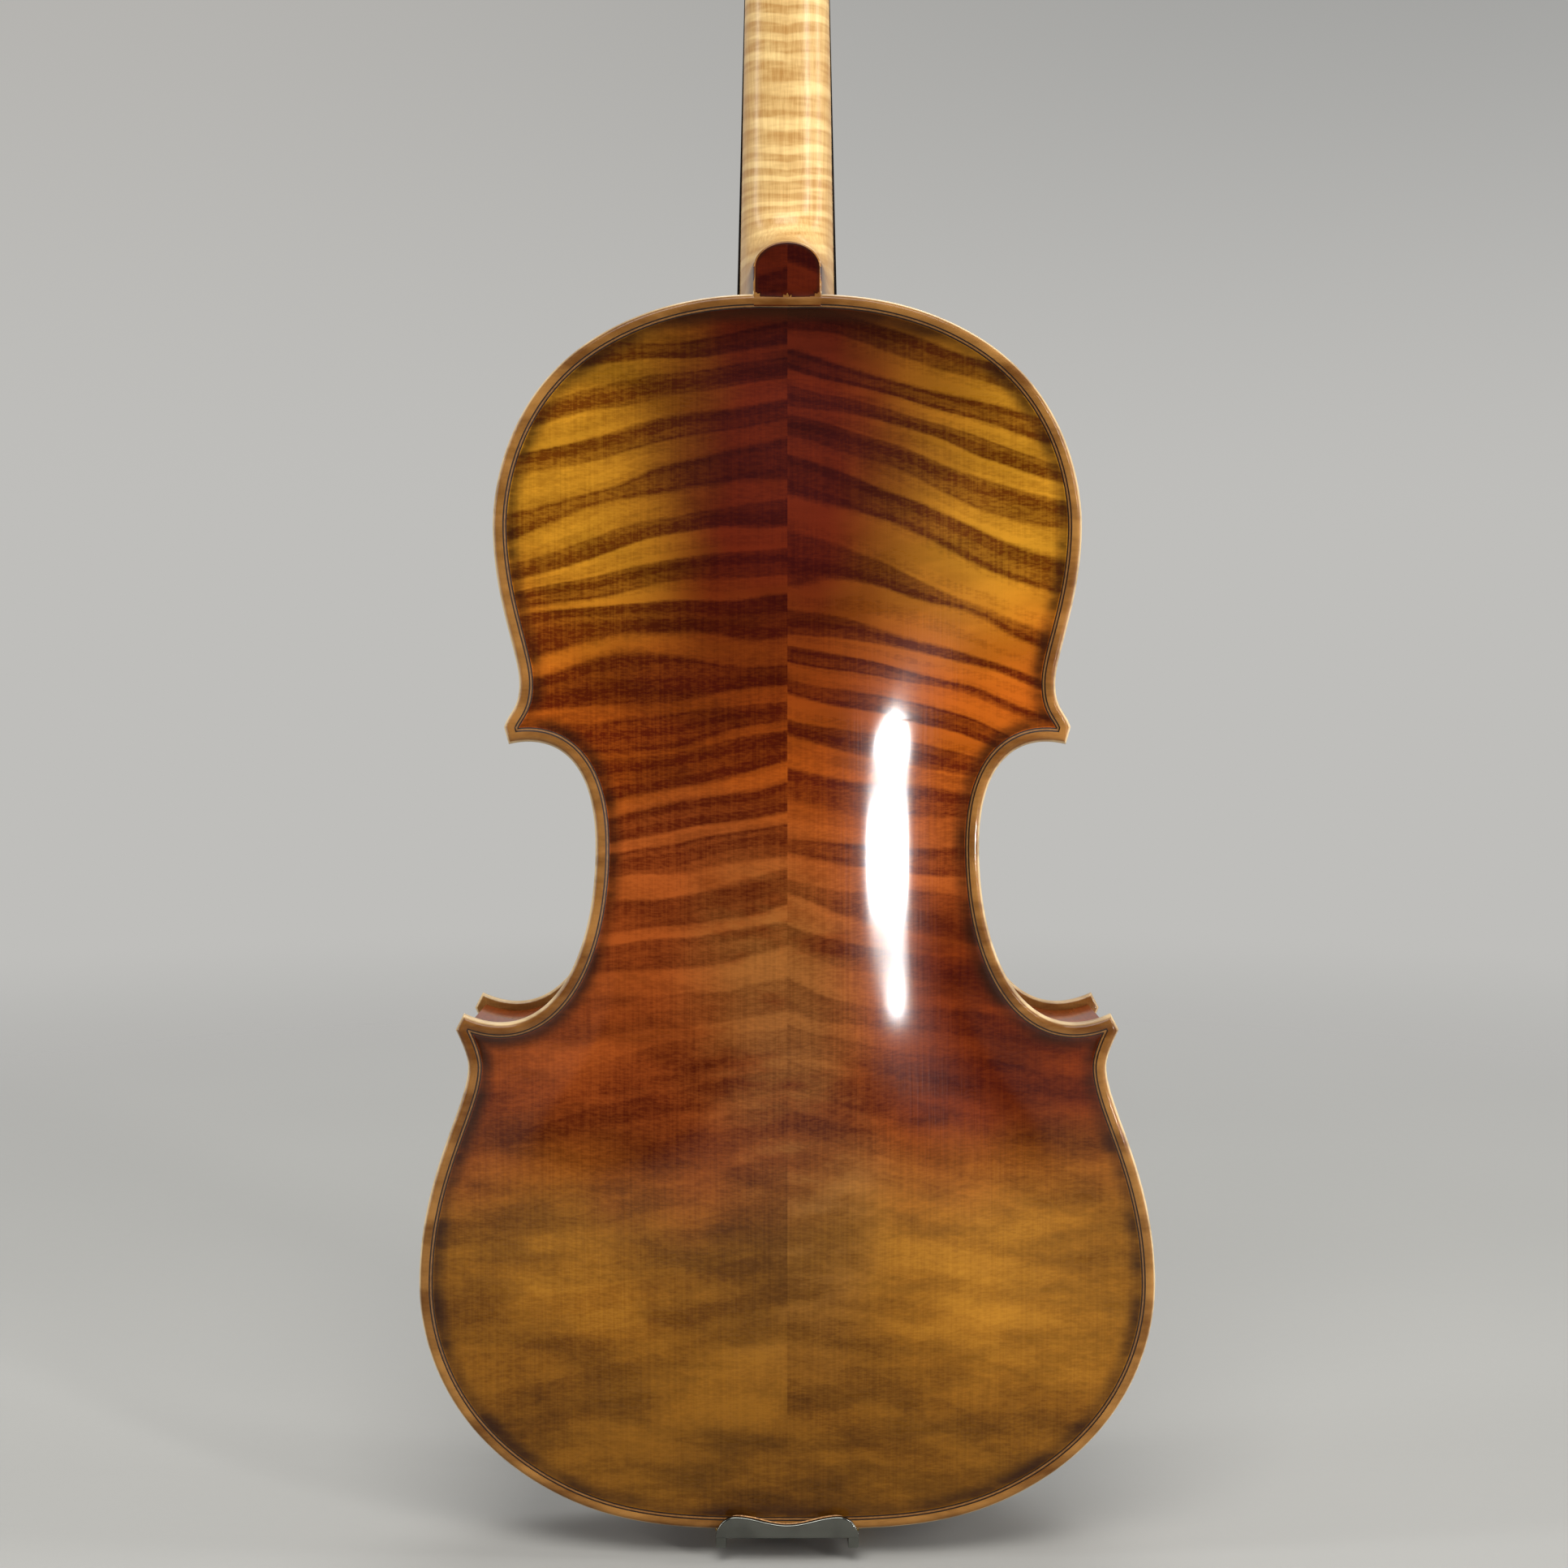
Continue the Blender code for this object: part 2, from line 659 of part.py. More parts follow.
def sound_hole_cutters(side):
    """The stem and the two eyes of one sound hole, upright through the belly."""
    middle = BODY_LENGTH - BODY_STOP + HOLE_HEIGHT * 0.03
    top = np.array((HOLE_UPPER_SPACING / 2, middle + HOLE_HEIGHT / 2))
    foot = np.array((HOLE_LOWER_SPACING / 2, middle - HOLE_HEIGHT / 2))
    reach = HOLE_HEIGHT * 0.24
    path = bezier(top + (0, HOLE_UPPER_EYE * 0.42), top + (reach, HOLE_UPPER_EYE * 1.1),
                  foot - (reach, HOLE_LOWER_EYE * 1.0), foot - (0, HOLE_LOWER_EYE * 0.40), 15)
    along = np.gradient(path, axis=0)
    along /= np.linalg.norm(along, axis=1)[:, None]
    across = np.column_stack((along[:, 1], -along[:, 0]))
    share = np.linspace(0, 1, len(path))
    width = (0.0008 + (HOLE_STEM_WIDTH / 2 - 0.0008) * np.sin(math.pi * share) ** 0.8)[:, None]
    outline = np.vstack((path + across * width, (path - across * width)[::-1]))
    outline[:, 0] *= side
    name = "bass" if side > 0 else "treble"
    made = []
    for label, eye, size in (("upper", top, HOLE_UPPER_EYE), ("lower", foot, HOLE_LOWER_EYE)):
        x, z = side * eye[0], BODY_BOTTOM + eye[1]
        made.append(helper("hole_%s_eye_%s" % (label, name), rod(
            (x, RIB_TOP - 0.005, z), (x, EDGE_PLANE + 0.02, z), size / 2, sides=18)))
    stem = upright([tuple(p) for p in outline], 0.03, EDGE_PLANE)
    made.append(helper("hole_stem_" + name, stem))
    return made


def make_plates():
    holes = sound_hole_cutters(1) + sound_hole_cutters(-1)
    for name, side in SIDES:
        back = plate_mesh(BACK_ARCH, BACK_THICKNESS, -1, side)
        back = part("back_%s_half" % name, back, MAPLE)
        boolean(back, helper("button_" + name, button_mesh(side)), "UNION")
        belly = plate_mesh(BELLY_ARCH, BELLY_THICKNESS, 1, side)
        belly = part("belly_%s_half" % name, belly, SPRUCE)
        for cutter in holes:
            if cutter.name.endswith(name):
                boolean(belly, cutter)
        boolean(belly, bpy.data.objects["mortise_cut"])
        boolean(belly, bpy.data.objects["saddle_cut"])


def purfling_sections(face):
    """Square sections of the inlaid strip round half the plate, top to bottom."""
    outer = np.vstack(half_ring(PURFLING_INSET - PURFLING_WIDTH / 2))
    inner = np.vstack(half_ring(PURFLING_INSET + PURFLING_WIDTH / 2))
    high = RIB_TOP + EDGE_THICKNESS - CHANNEL_DEPTH * 0.7
    low = high - PURFLING_DEPTH + GAP
    sections = []
    for (xo, so), (xi, si) in zip(outer, inner):
        zo, zi = BODY_BOTTOM + so, BODY_BOTTOM + si
        sections.append([(xo, face * low, zo), (xi, face * low, zi),
                         (xi, face * high, zi), (xo, face * high, zo)])
    return sections


def make_purfling():
    right = purfling_sections(-1)
    left = [[(-x, y, z) for x, y, z in ring] for ring in reversed(right)]
    part("back_purfling", loft(right[:-1] + left[:-1], closed=True), PURFLING)
    for name, side in SIDES:
        rings = [[(side * x, y, z) for x, y, z in ring] for ring in purfling_sections(1)]
        strip = part("belly_purfling_" + name, loft(rings), PURFLING)
        boolean(strip, bpy.data.objects["mortise_cut"])
        boolean(strip, bpy.data.objects["saddle_cut"])


def strip_outline(outer, inner, start, end, count):
    """A band between two like lines, cut at lengths counted from both their ends."""
    first = piece_of(outer, start(outer), lengths(outer)[-1] - end(outer), count)
    second = piece_of(inner, start(inner), lengths(inner)[-1] - end(inner), count)
    return [tuple(point) for point in first] + [tuple(point) for point in second[::-1]]


def past_block(line):
    """Length along a bout's line, from its centre end, to the side of the end block."""
    return float(np.interp(END_BLOCK_WIDTH / 2 + GAP, line[:, 0], lengths(line)))


def make_ribs():
    outer = half_ring(EDGE_OVERHANG, (18, 17, 20))
    inner = half_ring(EDGE_OVERHANG + RIB_THICKNESS, (18, 17, 20))
    height = RIB_HEIGHT - 2 * GAP
    hole = helper("end_button_hole", rod(
        (0, 0, 0), (0, 0, END_BUTTON_REACH + 0.03), END_BUTTON_SHANK / 2 + GAP, sides=24))
    for name, side in SIDES:
        for k, bout in enumerate(("upper", "waist", "lower")):
            band = strip_outline(outer[k], inner[k], lambda line: GAP, lambda line: GAP, 18)
            band = [(side * max(x, GAP / 2), s) for x, s in band]
            rib = part("%s_rib_%s" % (bout, name), upright(band, height), MAPLE)
            if bout == "upper":
                boolean(rib, bpy.data.objects["mortise_cut"])
            if bout == "lower":
                boolean(rib, hole)


def make_linings():
    near = EDGE_OVERHANG + RIB_THICKNESS + GAP
    outer = half_ring(near, (18, 17, 20))
    inner = half_ring(near + LINING_THICKNESS, (18, 17, 20))
    by_corner = lambda line: CORNER_BLOCK_SIDE + 2 * GAP
    for name, side in SIDES:
        for k, bout in enumerate(("upper", "waist", "lower")):
            start, end = by_corner, by_corner
            first, second = outer[k], inner[k]
            if bout == "lower":
                first, second = first[::-1], second[::-1]
            if bout != "waist":
                start = past_block
            band = strip_outline(first, second, start, end, 14)
            band = [(side * x, s) for x, s in band]
            for plate, face in (("back", -1), ("belly", 1)):
                y = face * (RIB_TOP - GAP - LINING_HEIGHT / 2)
                part("%s_lining_%s_%s" % (plate, bout, name), upright(band, LINING_HEIGHT, y),
                     BARE_SPRUCE)


def end_block(name, run, back):
    """A block inside the ribs at the top or bottom of the body."""
    half = END_BLOCK_WIDTH / 2
    line = run[np.argsort(run[:, 0])]
    xs = np.linspace(0, half, 5)
    front = [(x, np.interp(x, line[:, 0], line[:, 1])) for x in xs]
    points = both_sides(front)
    points += [(half, back), (-half, back)]
    return part(name, upright(points, RIB_HEIGHT - 2 * GAP), BARE_SPRUCE)


def make_blocks():
    near = EDGE_OVERHANG + RIB_THICKNESS + GAP
    upper, waist, lower = half_ring(near, (40, 40, 40))
    block = end_block("upper_block", upper, BODY_LENGTH - near - END_BLOCK_DEPTH)
    boolean(block, bpy.data.objects["mortise_cut"])
    block = end_block("lower_block", lower[::-1], near + END_BLOCK_DEPTH)
    boolean(block, bpy.data.objects["end_button_hole"])
    side_length = CORNER_BLOCK_SIDE
    for corner, bout, other in (("upper", upper, waist), ("lower", lower[::-1], waist[::-1])):
        total = lengths(bout)[-1]
        first = piece_of(bout, total - side_length, total - GAP, 8)
        second = piece_of(other, GAP, side_length, 8)
        for name, side in SIDES:
            points = [(side * x, s) for x, s in np.vstack((first, second))]
            part("%s_corner_block_%s" % (corner, name), upright(points, RIB_HEIGHT - 2 * GAP),
                 BARE_SPRUCE)


# Seats on the arched plates

def surface_of(*names):
    trees = []
    for name in names:
        mesh = finished_mesh(bpy.data.objects[name])
        trees.append(BVHTree.FromPolygons([v.co for v in mesh.vertices],
                                          [tuple(p.vertices) for p in mesh.polygons]))
        bpy.data.meshes.remove(mesh)
    return trees


def height_on(trees, x, z, outside=True):
    """Y of a plate's outer or inner face over a place, looked for along Y."""
    if abs(x) < SEAM_ALLOWANCE:
        x = SEAM_ALLOWANCE
    start = Vector((x, 0.2 if outside else 0, z))
    way = Vector((0, -1 if outside else 1, 0))
    found = [tree.ray_cast(start, way)[0] for tree in trees]
    return max(hit.y for hit in found if hit) if outside else min(hit.y for hit in found if hit)


def belly_top(x, z, reach=0.0):
    """The belly's outer face, the highest within a reach along Z."""
    return max(height_on(BELLY, x, z + step) for step in (-reach, 0, reach))


def belly_below(x, z):
    return height_on(BELLY, x, z, outside=False)


BAR_SEAT_STEPS = [BAR_SEAT_STEP * step for step in (-2, -1, 0, 1, 2)]


def make_bass_bar():
    """A bar along the belly's inside under the bridge's bass foot, deepest at the bridge."""
    low = BODY_BOTTOM + (BODY_LENGTH - BASS_BAR_LENGTH) * 0.54
    sections = []
    for i in range(15):
        share = i / 14
        z = low + BASS_BAR_LENGTH * share
        x = FOOT_CENTRE + 0.012 * (BRIDGE_AT - z) / BODY_LENGTH
        depth = 0.0035 + (BASS_BAR_HEIGHT - 0.0035) * math.sin(math.pi * share) ** 1.2
        left, right = x - BASS_BAR_WIDTH / 2, x + BASS_BAR_WIDTH / 2
        tops = [min(belly_below(edge, z + step) for step in BAR_SEAT_STEPS) - GAP
                for edge in (left, right)]
        foot = max(tops) - depth - 0.0005
        sections.append([(left, tops[0], z), (right, tops[1], z), (right, foot, z), (left, foot, z)])
    part("bass_bar", loft(sections), BARE_SPRUCE)


def make_sound_post():
    """A round post between the plates, just behind the bridge's treble foot."""
    x, radius = -FOOT_CENTRE, SOUND_POST_DIAMETER / 2
    rim = [(x + radius * math.cos(a), SOUND_POST_AT + radius * math.sin(a))
           for a in np.linspace(0, 2 * math.pi, 9)]
    top = min(belly_below(px, pz) for px, pz in rim) - GAP
    foot = max(height_on(BACK, px, pz) for px, pz in rim) + GAP
    part("sound_post", rod((x, foot, SOUND_POST_AT), (x, top, SOUND_POST_AT), radius), BARE_SPRUCE)


# Neck and head

def on_neck(x, q, p):
    """A place by x, height q over the fingerboard's glue plane and way p up past the nut."""
    return Vector((x, NUT_ORIGIN.y + q * NECK_COS - p * NECK_SIN,
                   NUT_ORIGIN.z + q * NECK_SIN + p * NECK_COS))


def neck_matrix():
    """Turns a solid made with q along X, x along -Y and p along Z into the head's place."""
    return Matrix(((0, -1, 0, 0), (NECK_COS, 0, -NECK_SIN, NUT_ORIGIN.y),
                   (NECK_SIN, 0, NECK_COS, NUT_ORIGIN.z), (0, 0, 0, 1)))


def half_width_at(p):
    """Half width of neck and fingerboard at p, which is negative below the nut."""
    share = -p / (NECK_STOP / NECK_COS)
    return (NECK_WIDTH_AT_NUT + (NECK_WIDTH_AT_BODY - NECK_WIDTH_AT_NUT) * share) / 2


def round_back(half, depth, count=13):
    """Points of a neck section from its bass edge round the back to the treble edge."""
    points = []
    for i in range(count):
        angle = math.pi * i / (count - 1)
        c, s = math.cos(angle), math.sin(angle)
        points.append((half * math.copysign(abs(c) ** 0.85, c), -depth * abs(s) ** 0.95))
    return points


def shaft_mesh():
    sections = []
    for share in (0, 0.04, 0.12, 0.3, 0.5, 0.7, 0.88, 0.985):
        p = 0.002 - share * NECK_STOP / NECK_COS
        depth = NECK_DEPTH_AT_NUT + (NECK_DEPTH_AT_BODY - NECK_DEPTH_AT_NUT) * share
        sections.append([on_neck(x, q, p) for x, q in round_back(half_width_at(p), depth)])
    return loft(sections)


def heel_mesh():
    """The neck's root and heel: rounded sections from the button up to the glue plane."""
    back = BODY_TOP - EDGE_OVERHANG - MORTISE_DEPTH
    fronts = ((0, 1.0), (0.18, 1.0), (0.36, 1.04), (0.5, 1.14), (0.6, 1.3), (0.68, 1.6),
              (0.78, 2.1), (0.9, 2.6), (1.0, 2.9))
    reach = BUTTON_HEIGHT - GAP
    sections = []
    for share, stretch in fronts:
        level = -RIB_TOP + GAP + share * (ROOT_Y + RIB_TOP - 2 * GAP)
        half = root_half_width(level) - (0.0006 if share > 0.6 else 0)
        cap = BUTTON_HEIGHT * 0.52 * min(stretch, 1.4)
        straight = BODY_TOP + reach * stretch - cap
        ring = [(half, back), (half, (back + straight) / 2)]
        for i in range(9):
            angle = math.pi * i / 8
            ring.append((half * math.cos(angle), straight + cap * math.sin(angle)))
        ring += [(-half, (back + straight) / 2), (-half, back)]
        tilt = -NECK_SLOPE * share ** 2
        sections.append([(x, level + tilt * (z - BODY_TOP), z) for x, z in ring])
    return loft(sections)


def head_width(p):
    """Half width of pegbox and scroll rim at a way p past the nut."""
    full = NECK_WIDTH_AT_NUT / 2
    ways = (0, PEGBOX_LENGTH * 0.15, PEGBOX_LENGTH, PEGBOX_LENGTH * 1.2, PEGBOX_LENGTH * 1.4)
    return float(np.interp(p, ways, (full, full, full * 0.88, full * 0.62, full * 0.5)))


def pegbox_front(p):
    """Height q of the cheeks' front edge."""
    share = p / PEGBOX_LENGTH
    return 0.0022 - 0.0005 * share - 0.0125 * share ** 1.7


def pegbox_back(p):
    """Height q of the pegbox's back."""
    share = p / PEGBOX_LENGTH
    return -NECK_DEPTH_AT_NUT - 0.006 - 0.0155 * share ** 0.9


def scroll_centre():
    return (pegbox_back(PEGBOX_LENGTH) + SCROLL_RADIUS * 0.90, PEGBOX_LENGTH + SCROLL_RADIUS * 0.94)


def head_outline():
    """Side view of pegbox and scroll as (q, p): front edge, scroll rim, back, chin."""
    points = [(0, -0.0005), (0, NUT_LENGTH + GAP), (pegbox_front(NUT_LENGTH), NUT_LENGTH + 2 * GAP)]
    for share in (0.2, 0.4, 0.6, 0.8, 0.93):
        points.append((pegbox_front(share * PEGBOX_LENGTH), share * PEGBOX_LENGTH))
    q, p = scroll_centre()
    points.append((pegbox_front(PEGBOX_LENGTH) - 0.001, PEGBOX_LENGTH * 1.02))
    for i in range(19):
        share = i / 18
        angle = math.radians(-62 + 250 * share)
        radius = SCROLL_RADIUS * (0.73 + 0.27 * share ** 0.8)
        points.append((q + radius * math.cos(angle), p + radius * math.sin(angle)))
    for share in (1.0, 0.8, 0.6, 0.4, 0.2, 0.1):
        points.append((pegbox_back(share * PEGBOX_LENGTH), share * PEGBOX_LENGTH))
    points += [(-NECK_DEPTH_AT_NUT - 0.0045, 0.0025), (-NECK_DEPTH_AT_NUT - 0.001, -0.0005)]
    return points


def in_head(points, width):
    """A solid with a side outline, its half width given at each way past the nut."""
    mesh = flat_outline([points], 1)
    for vertex in mesh.vertices:
        vertex.co.y *= 2 * width(vertex.co.z)
    mesh.transform(neck_matrix())
    return mesh


def cavity_outline():
    start, end = NUT_LENGTH + 0.0022, PEGBOX_LENGTH * 0.955
    points = [(0.02, start), (0.02, end)]
    for share in (0.95, 0.8, 0.6, 0.4, 0.25):
        points.append((pegbox_back(share * PEGBOX_LENGTH) + PEGBOX_FLOOR, share * PEGBOX_LENGTH))
    points.append((pegbox_back(start) + 2 * PEGBOX_FLOOR, start))
    return points


def scroll_steps():
    """The turns of the scroll, standing out step by step to the eyes, on both sides."""
    half = SCROLL_WIDTH / 2
    steps = ((0.20, 1.0), (0.34, 0.93), (0.36, 0.80), (0.52, 0.72), (0.54, 0.56), (0.70, 0.46))
    side = []
    for radius, reach in steps:
        side.append((SCROLL_RADIUS * radius, half * reach))
    profile = [(0, half)] + side + [(r, -h) for r, h in reversed(side)] + [(0, -half)]
    mesh = turned(profile, 28)
    q, p = scroll_centre()
    mesh.transform(Matrix.Rotation(math.pi / 2, 4, "Y"))
    mesh.transform(Matrix.Translation(on_neck(0, q, p)))
    return mesh


def peg_place(index):
    p = FIRST_PEG_AT + index * PEG_SPACING
    q = pegbox_front(p) + (pegbox_back(p) + PEGBOX_FLOOR - pegbox_front(p)) * 0.5
    return q, p


def peg_radius(reach):
    """Radius of a peg's shank at a way out from the pegbox's middle towards its head."""
    return PEG_DIAMETER / 2 - (NECK_WIDTH_AT_NUT / 2 - reach) * PEG_TAPER / 2


def make_neck():
    neck = part("neck", shaft_mesh(), BARE_MAPLE)
    boolean(neck, helper("heel", heel_mesh()), "UNION")
    boolean(neck, helper("head", in_head(head_outline(), head_width)), "UNION")
    boolean(neck, helper("scroll_turns", scroll_steps()), "UNION")
    hollow = in_head(cavity_outline(), lambda p: head_width(p) - CHEEK_THICKNESS)
    boolean(neck, helper("pegbox_hollow", hollow))
    reach = NECK_WIDTH_AT_NUT
    for index, (name, side) in enumerate(PEG_ORDER):
        q, p = peg_place(index)
        hole = rod(on_neck(-side * reach, q, p), on_neck(side * reach, q, p),
                   peg_radius(-reach) + TURN_CLEARANCE, peg_radius(reach) + TURN_CLEARANCE)
        boolean(neck, helper("peg_hole_" + name, hole))


def crown(p):
    """Height of the fingerboard's middle over its glue plane."""
    half = board_half(p)
    return BOARD_EDGE + BOARD_RADIUS - math.sqrt(BOARD_RADIUS ** 2 - half ** 2)


def board_half(p):
    share = -p / BOARD_LENGTH
    return (NECK_WIDTH_AT_NUT + (BOARD_END_WIDTH - NECK_WIDTH_AT_NUT) * share) / 2


def board_top(x, p):
    return crown(p) - BOARD_RADIUS + math.sqrt(BOARD_RADIUS ** 2 - x ** 2)


def board_section(p, rise=0.0, hollow=0.0, half=None):
    half = half or board_half(p)
    ring = []
    for i in range(9):
        x = half * (1 - i / 4)
        ring.append(on_neck(x, board_top(x, p) + rise, p))
    for share, lift in ((-1, 0), (-0.8, 0), (-0.66, 1), (0.66, 1), (0.8, 0), (1, 0)):
        ring.append(on_neck(half * share, GAP + hollow * lift, p))
    return ring


def make_fingerboard():
    root = -(NECK_STOP + 0.004) / NECK_COS
    sections = [board_section(-GAP), board_section(-NECK_STOP / 2), board_section(root)]
    sections.append(board_section(root - 0.002, hollow=BOARD_EDGE * 0.6))
    for share in (0.5, 1):
        p = root - 0.002 + (-BOARD_LENGTH - root + 0.002) * share
        sections.append(board_section(p, hollow=BOARD_EDGE * 0.6))
    part("fingerboard", loft(sections), EBONY)


def make_nut():
    half = NECK_WIDTH_AT_NUT / 2
    sections = [board_section(0, NUT_RISE, half=half),
                board_section(NUT_LENGTH * 0.5, NUT_RISE, half=half),
                board_section(NUT_LENGTH, NUT_RISE - 0.0012, half=half)]
    part("nut", loft(sections), EBONY)


def make_pegs():
    for index, (name, side) in enumerate(PEG_ORDER):
        q, p = peg_place(index)
        outer = head_width(p)
        tip = -outer - 0.0012
        collar = outer + 0.0052
        centre = collar + 0.0022 + PEG_HEAD_LENGTH / 2
        profile = [(0, centre), (0.0031, centre), (0.0034, collar + 0.0024), (0.0060, collar + 0.0016),
                   (0.0060, collar), (peg_radius(collar), collar - 0.0006),
                   (peg_radius(tip), tip + 0.0006), (peg_radius(tip) - 0.0008, tip), (0, tip)]
        peg = part("peg_" + name, turned(profile, 14), EBONY)
        bm = bmesh.new()
        bmesh.ops.create_uvsphere(bm, u_segments=12, v_segments=7, radius=0.5)
        bmesh.ops.scale(bm, vec=(PEG_HEAD_WIDTH, PEG_HEAD_THICKNESS, PEG_HEAD_LENGTH), verts=bm.verts)
        bmesh.ops.translate(bm, vec=(0, 0, centre), verts=bm.verts)
        head = helper("peg_head_" + name, mesh_of(bm))
        place = Matrix.Translation(on_neck(0, q, p)) @ Matrix.Rotation(side * math.pi / 2, 4, "Y")
        peg.matrix_world = place
        head.matrix_world = place
        boolean(peg, head, "UNION")


# Bridge, strings and tailpiece

def string_x(name, spread):
    return spread * (0.5 - STRING_NAMES.index(name) / 3)


def bridge_top(x):
    """Y of the bridge's top edge over the belly."""
    return (belly_top(0, BRIDGE_AT) + BRIDGE_HEIGHT + BRIDGE_TOP_TILT * x
            + math.sqrt(BOARD_RADIUS ** 2 - x ** 2) - BOARD_RADIUS)


def bridge_side():
    """Half the bridge's outline above its foot, as shares of its half width and height."""
    return ((1.0, 0.055), (0.90, 0.115), (0.72, 0.165), (0.60, 0.225), (0.62, 0.275), (0.80, 0.335),
            (0.90, 0.400), (0.86, 0.455), (0.72, 0.450), (0.58, 0.430), (0.50, 0.480), (0.48, 0.560),
            (0.56, 0.625), (0.70, 0.620), (0.84, 0.590), (0.93, 0.640), (0.95, 0.720))


def make_bridge():
    base = belly_top(0, BRIDGE_AT)
    half, inner = BRIDGE_WIDTH / 2, BRIDGE_WIDTH / 2 - 0.0125
    deep = BRIDGE_FOOT_THICKNESS / 2
    loop = []
    for side in (1, -1):
        points = [(0, base + BRIDGE_HEIGHT * 0.32), (inner * 0.45, base + BRIDGE_HEIGHT * 0.295),
                  (inner * 0.85, base + BRIDGE_HEIGHT * 0.20), (inner, base + BRIDGE_HEIGHT * 0.09)]
        for share in (0, 0.33, 0.67, 1):
            x = inner + (half - inner) * share
            points.append((x, belly_top(side * x, BRIDGE_AT, deep) + GAP))
        points += [(half * a, base + BRIDGE_HEIGHT * b) for a, b in bridge_side()]
        for share in (0.90, 0.75, 0.6, 0.45, 0.3, 0.15):
            points.append((half * share, bridge_top(side * half * share)))
        if side > 0:
            loop += points + [(0, bridge_top(0))]
        else:
            loop += [(-x, y) for x, y in reversed(points[1:])]
    heart = [(0.0042 * math.cos(a), base + BRIDGE_HEIGHT * 0.60 + 0.0036 * math.sin(a))
             for a in np.linspace(0, 2 * math.pi, 13)[:-1]]
    mesh = flat_outline([loop, heart], 2)
    mesh.transform(Matrix(((1, 0, 0, 0), (0, 0, 1, 0), (0, -1, 0, 0), (0, 0, 0, 1))))
    top = base + BRIDGE_HEIGHT
    for vertex in mesh.vertices:
        share = (vertex.co.y - base) / (top - base)
        thick = BRIDGE_FOOT_THICKNESS + (BRIDGE_TOP_THICKNESS - BRIDGE_FOOT_THICKNESS) * share
        vertex.co.z = BRIDGE_AT - deep + (thick if vertex.co.z > 0 else 0)
    part("bridge", mesh, BARE_MAPLE)


def tail_frame():
    """Start, direction and normal of the tailpiece, from the saddle towards the bridge."""
    start = Vector((0, EDGE_PLANE + SADDLE_RISE - 0.0005, BODY_BOTTOM + SADDLE_LENGTH + 0.003))
    goal = Vector((0, bridge_top(0) - TAILPIECE_THICKNESS - 0.0010, BRIDGE_AT))
    along = (goal - start).normalized()
    return start, along, Vector((0, along.z, -along.y))


def on_tail(x, n, v):
    start, along, normal = tail_frame()
    return start + along * v + normal * n + Vector((x, 0, 0))


def tail_half(v):
    share = v / TAILPIECE_LENGTH
    return (TAILPIECE_END_WIDTH + (TAILPIECE_TOP_WIDTH - TAILPIECE_END_WIDTH) * share) / 2


def tail_top(x, v):
    """Height of the tailpiece's domed face over its underside."""
    return TAILPIECE_THICKNESS * (1 - 0.40 * (x / tail_half(v)) ** 2)


def tail_box(x, width, n0, n1, v0, v1):
    sections = []
    for v in (v0, v1):
        sections.append([on_tail(x - width / 2, n0, v), on_tail(x + width / 2, n0, v),
                         on_tail(x + width / 2, n1, v), on_tail(x - width / 2, n1, v)])
    return loft(sections)


def string_tail_x(name):
    return string_x(name, STRING_SPREAD_AT_BRIDGE * 0.92)


def fret_at():
    return TAILPIECE_LENGTH - 0.0035


def make_tailpiece():
    sections = []
    for share in (0, 0.015, 0.35, 0.7, 0.955, 0.958, 0.985, 0.988, 1):
        v = TAILPIECE_LENGTH * share
        half = tail_half(v) * (0.86 if share == 0 else 1)
        rise = 0.0012 if 0.956 < share < 0.987 else 0
        ring = [on_tail(half * (1 - i / 4), tail_top(half * (1 - i / 4), v) + rise, v) for i in range(9)]
        ring += [on_tail(-half, 0, v), on_tail(0, 0, v), on_tail(half, 0, v)]
        sections.append(ring)
    tail = part("tailpiece", loft(sections), EBONY)
    for name in STRING_NAMES:
        if name == "A":
            continue
        x = string_tail_x(name)
        slot = tail_box(x, STRING_DIAMETERS[name] + 2 * GAP, -0.01, 0.02,
                        fret_at() - 0.011, fret_at() - 0.003)
        boolean(tail, helper("string_slot_" + name, slot))
    x, v = string_tail_x("A"), tuner_screw_at()
    boolean(tail, helper("tuner_hole", rod(on_tail(x, -0.01, v), on_tail(x, 0.02, v),
                                           TUNER_SCREW_DIAMETER / 2 + 2 * GAP)))
    for side in (1, -1):
        x = side * gut_half()
        hole = rod(on_tail(x, 0.0022, -0.002), on_tail(x, 0.0022, 0.008),
                   TAIL_GUT_DIAMETER / 2 + GAP, sides=12)
        boolean(tail, helper("gut_hole", hole))


def gut_half():
    return TAILPIECE_END_WIDTH * 0.27


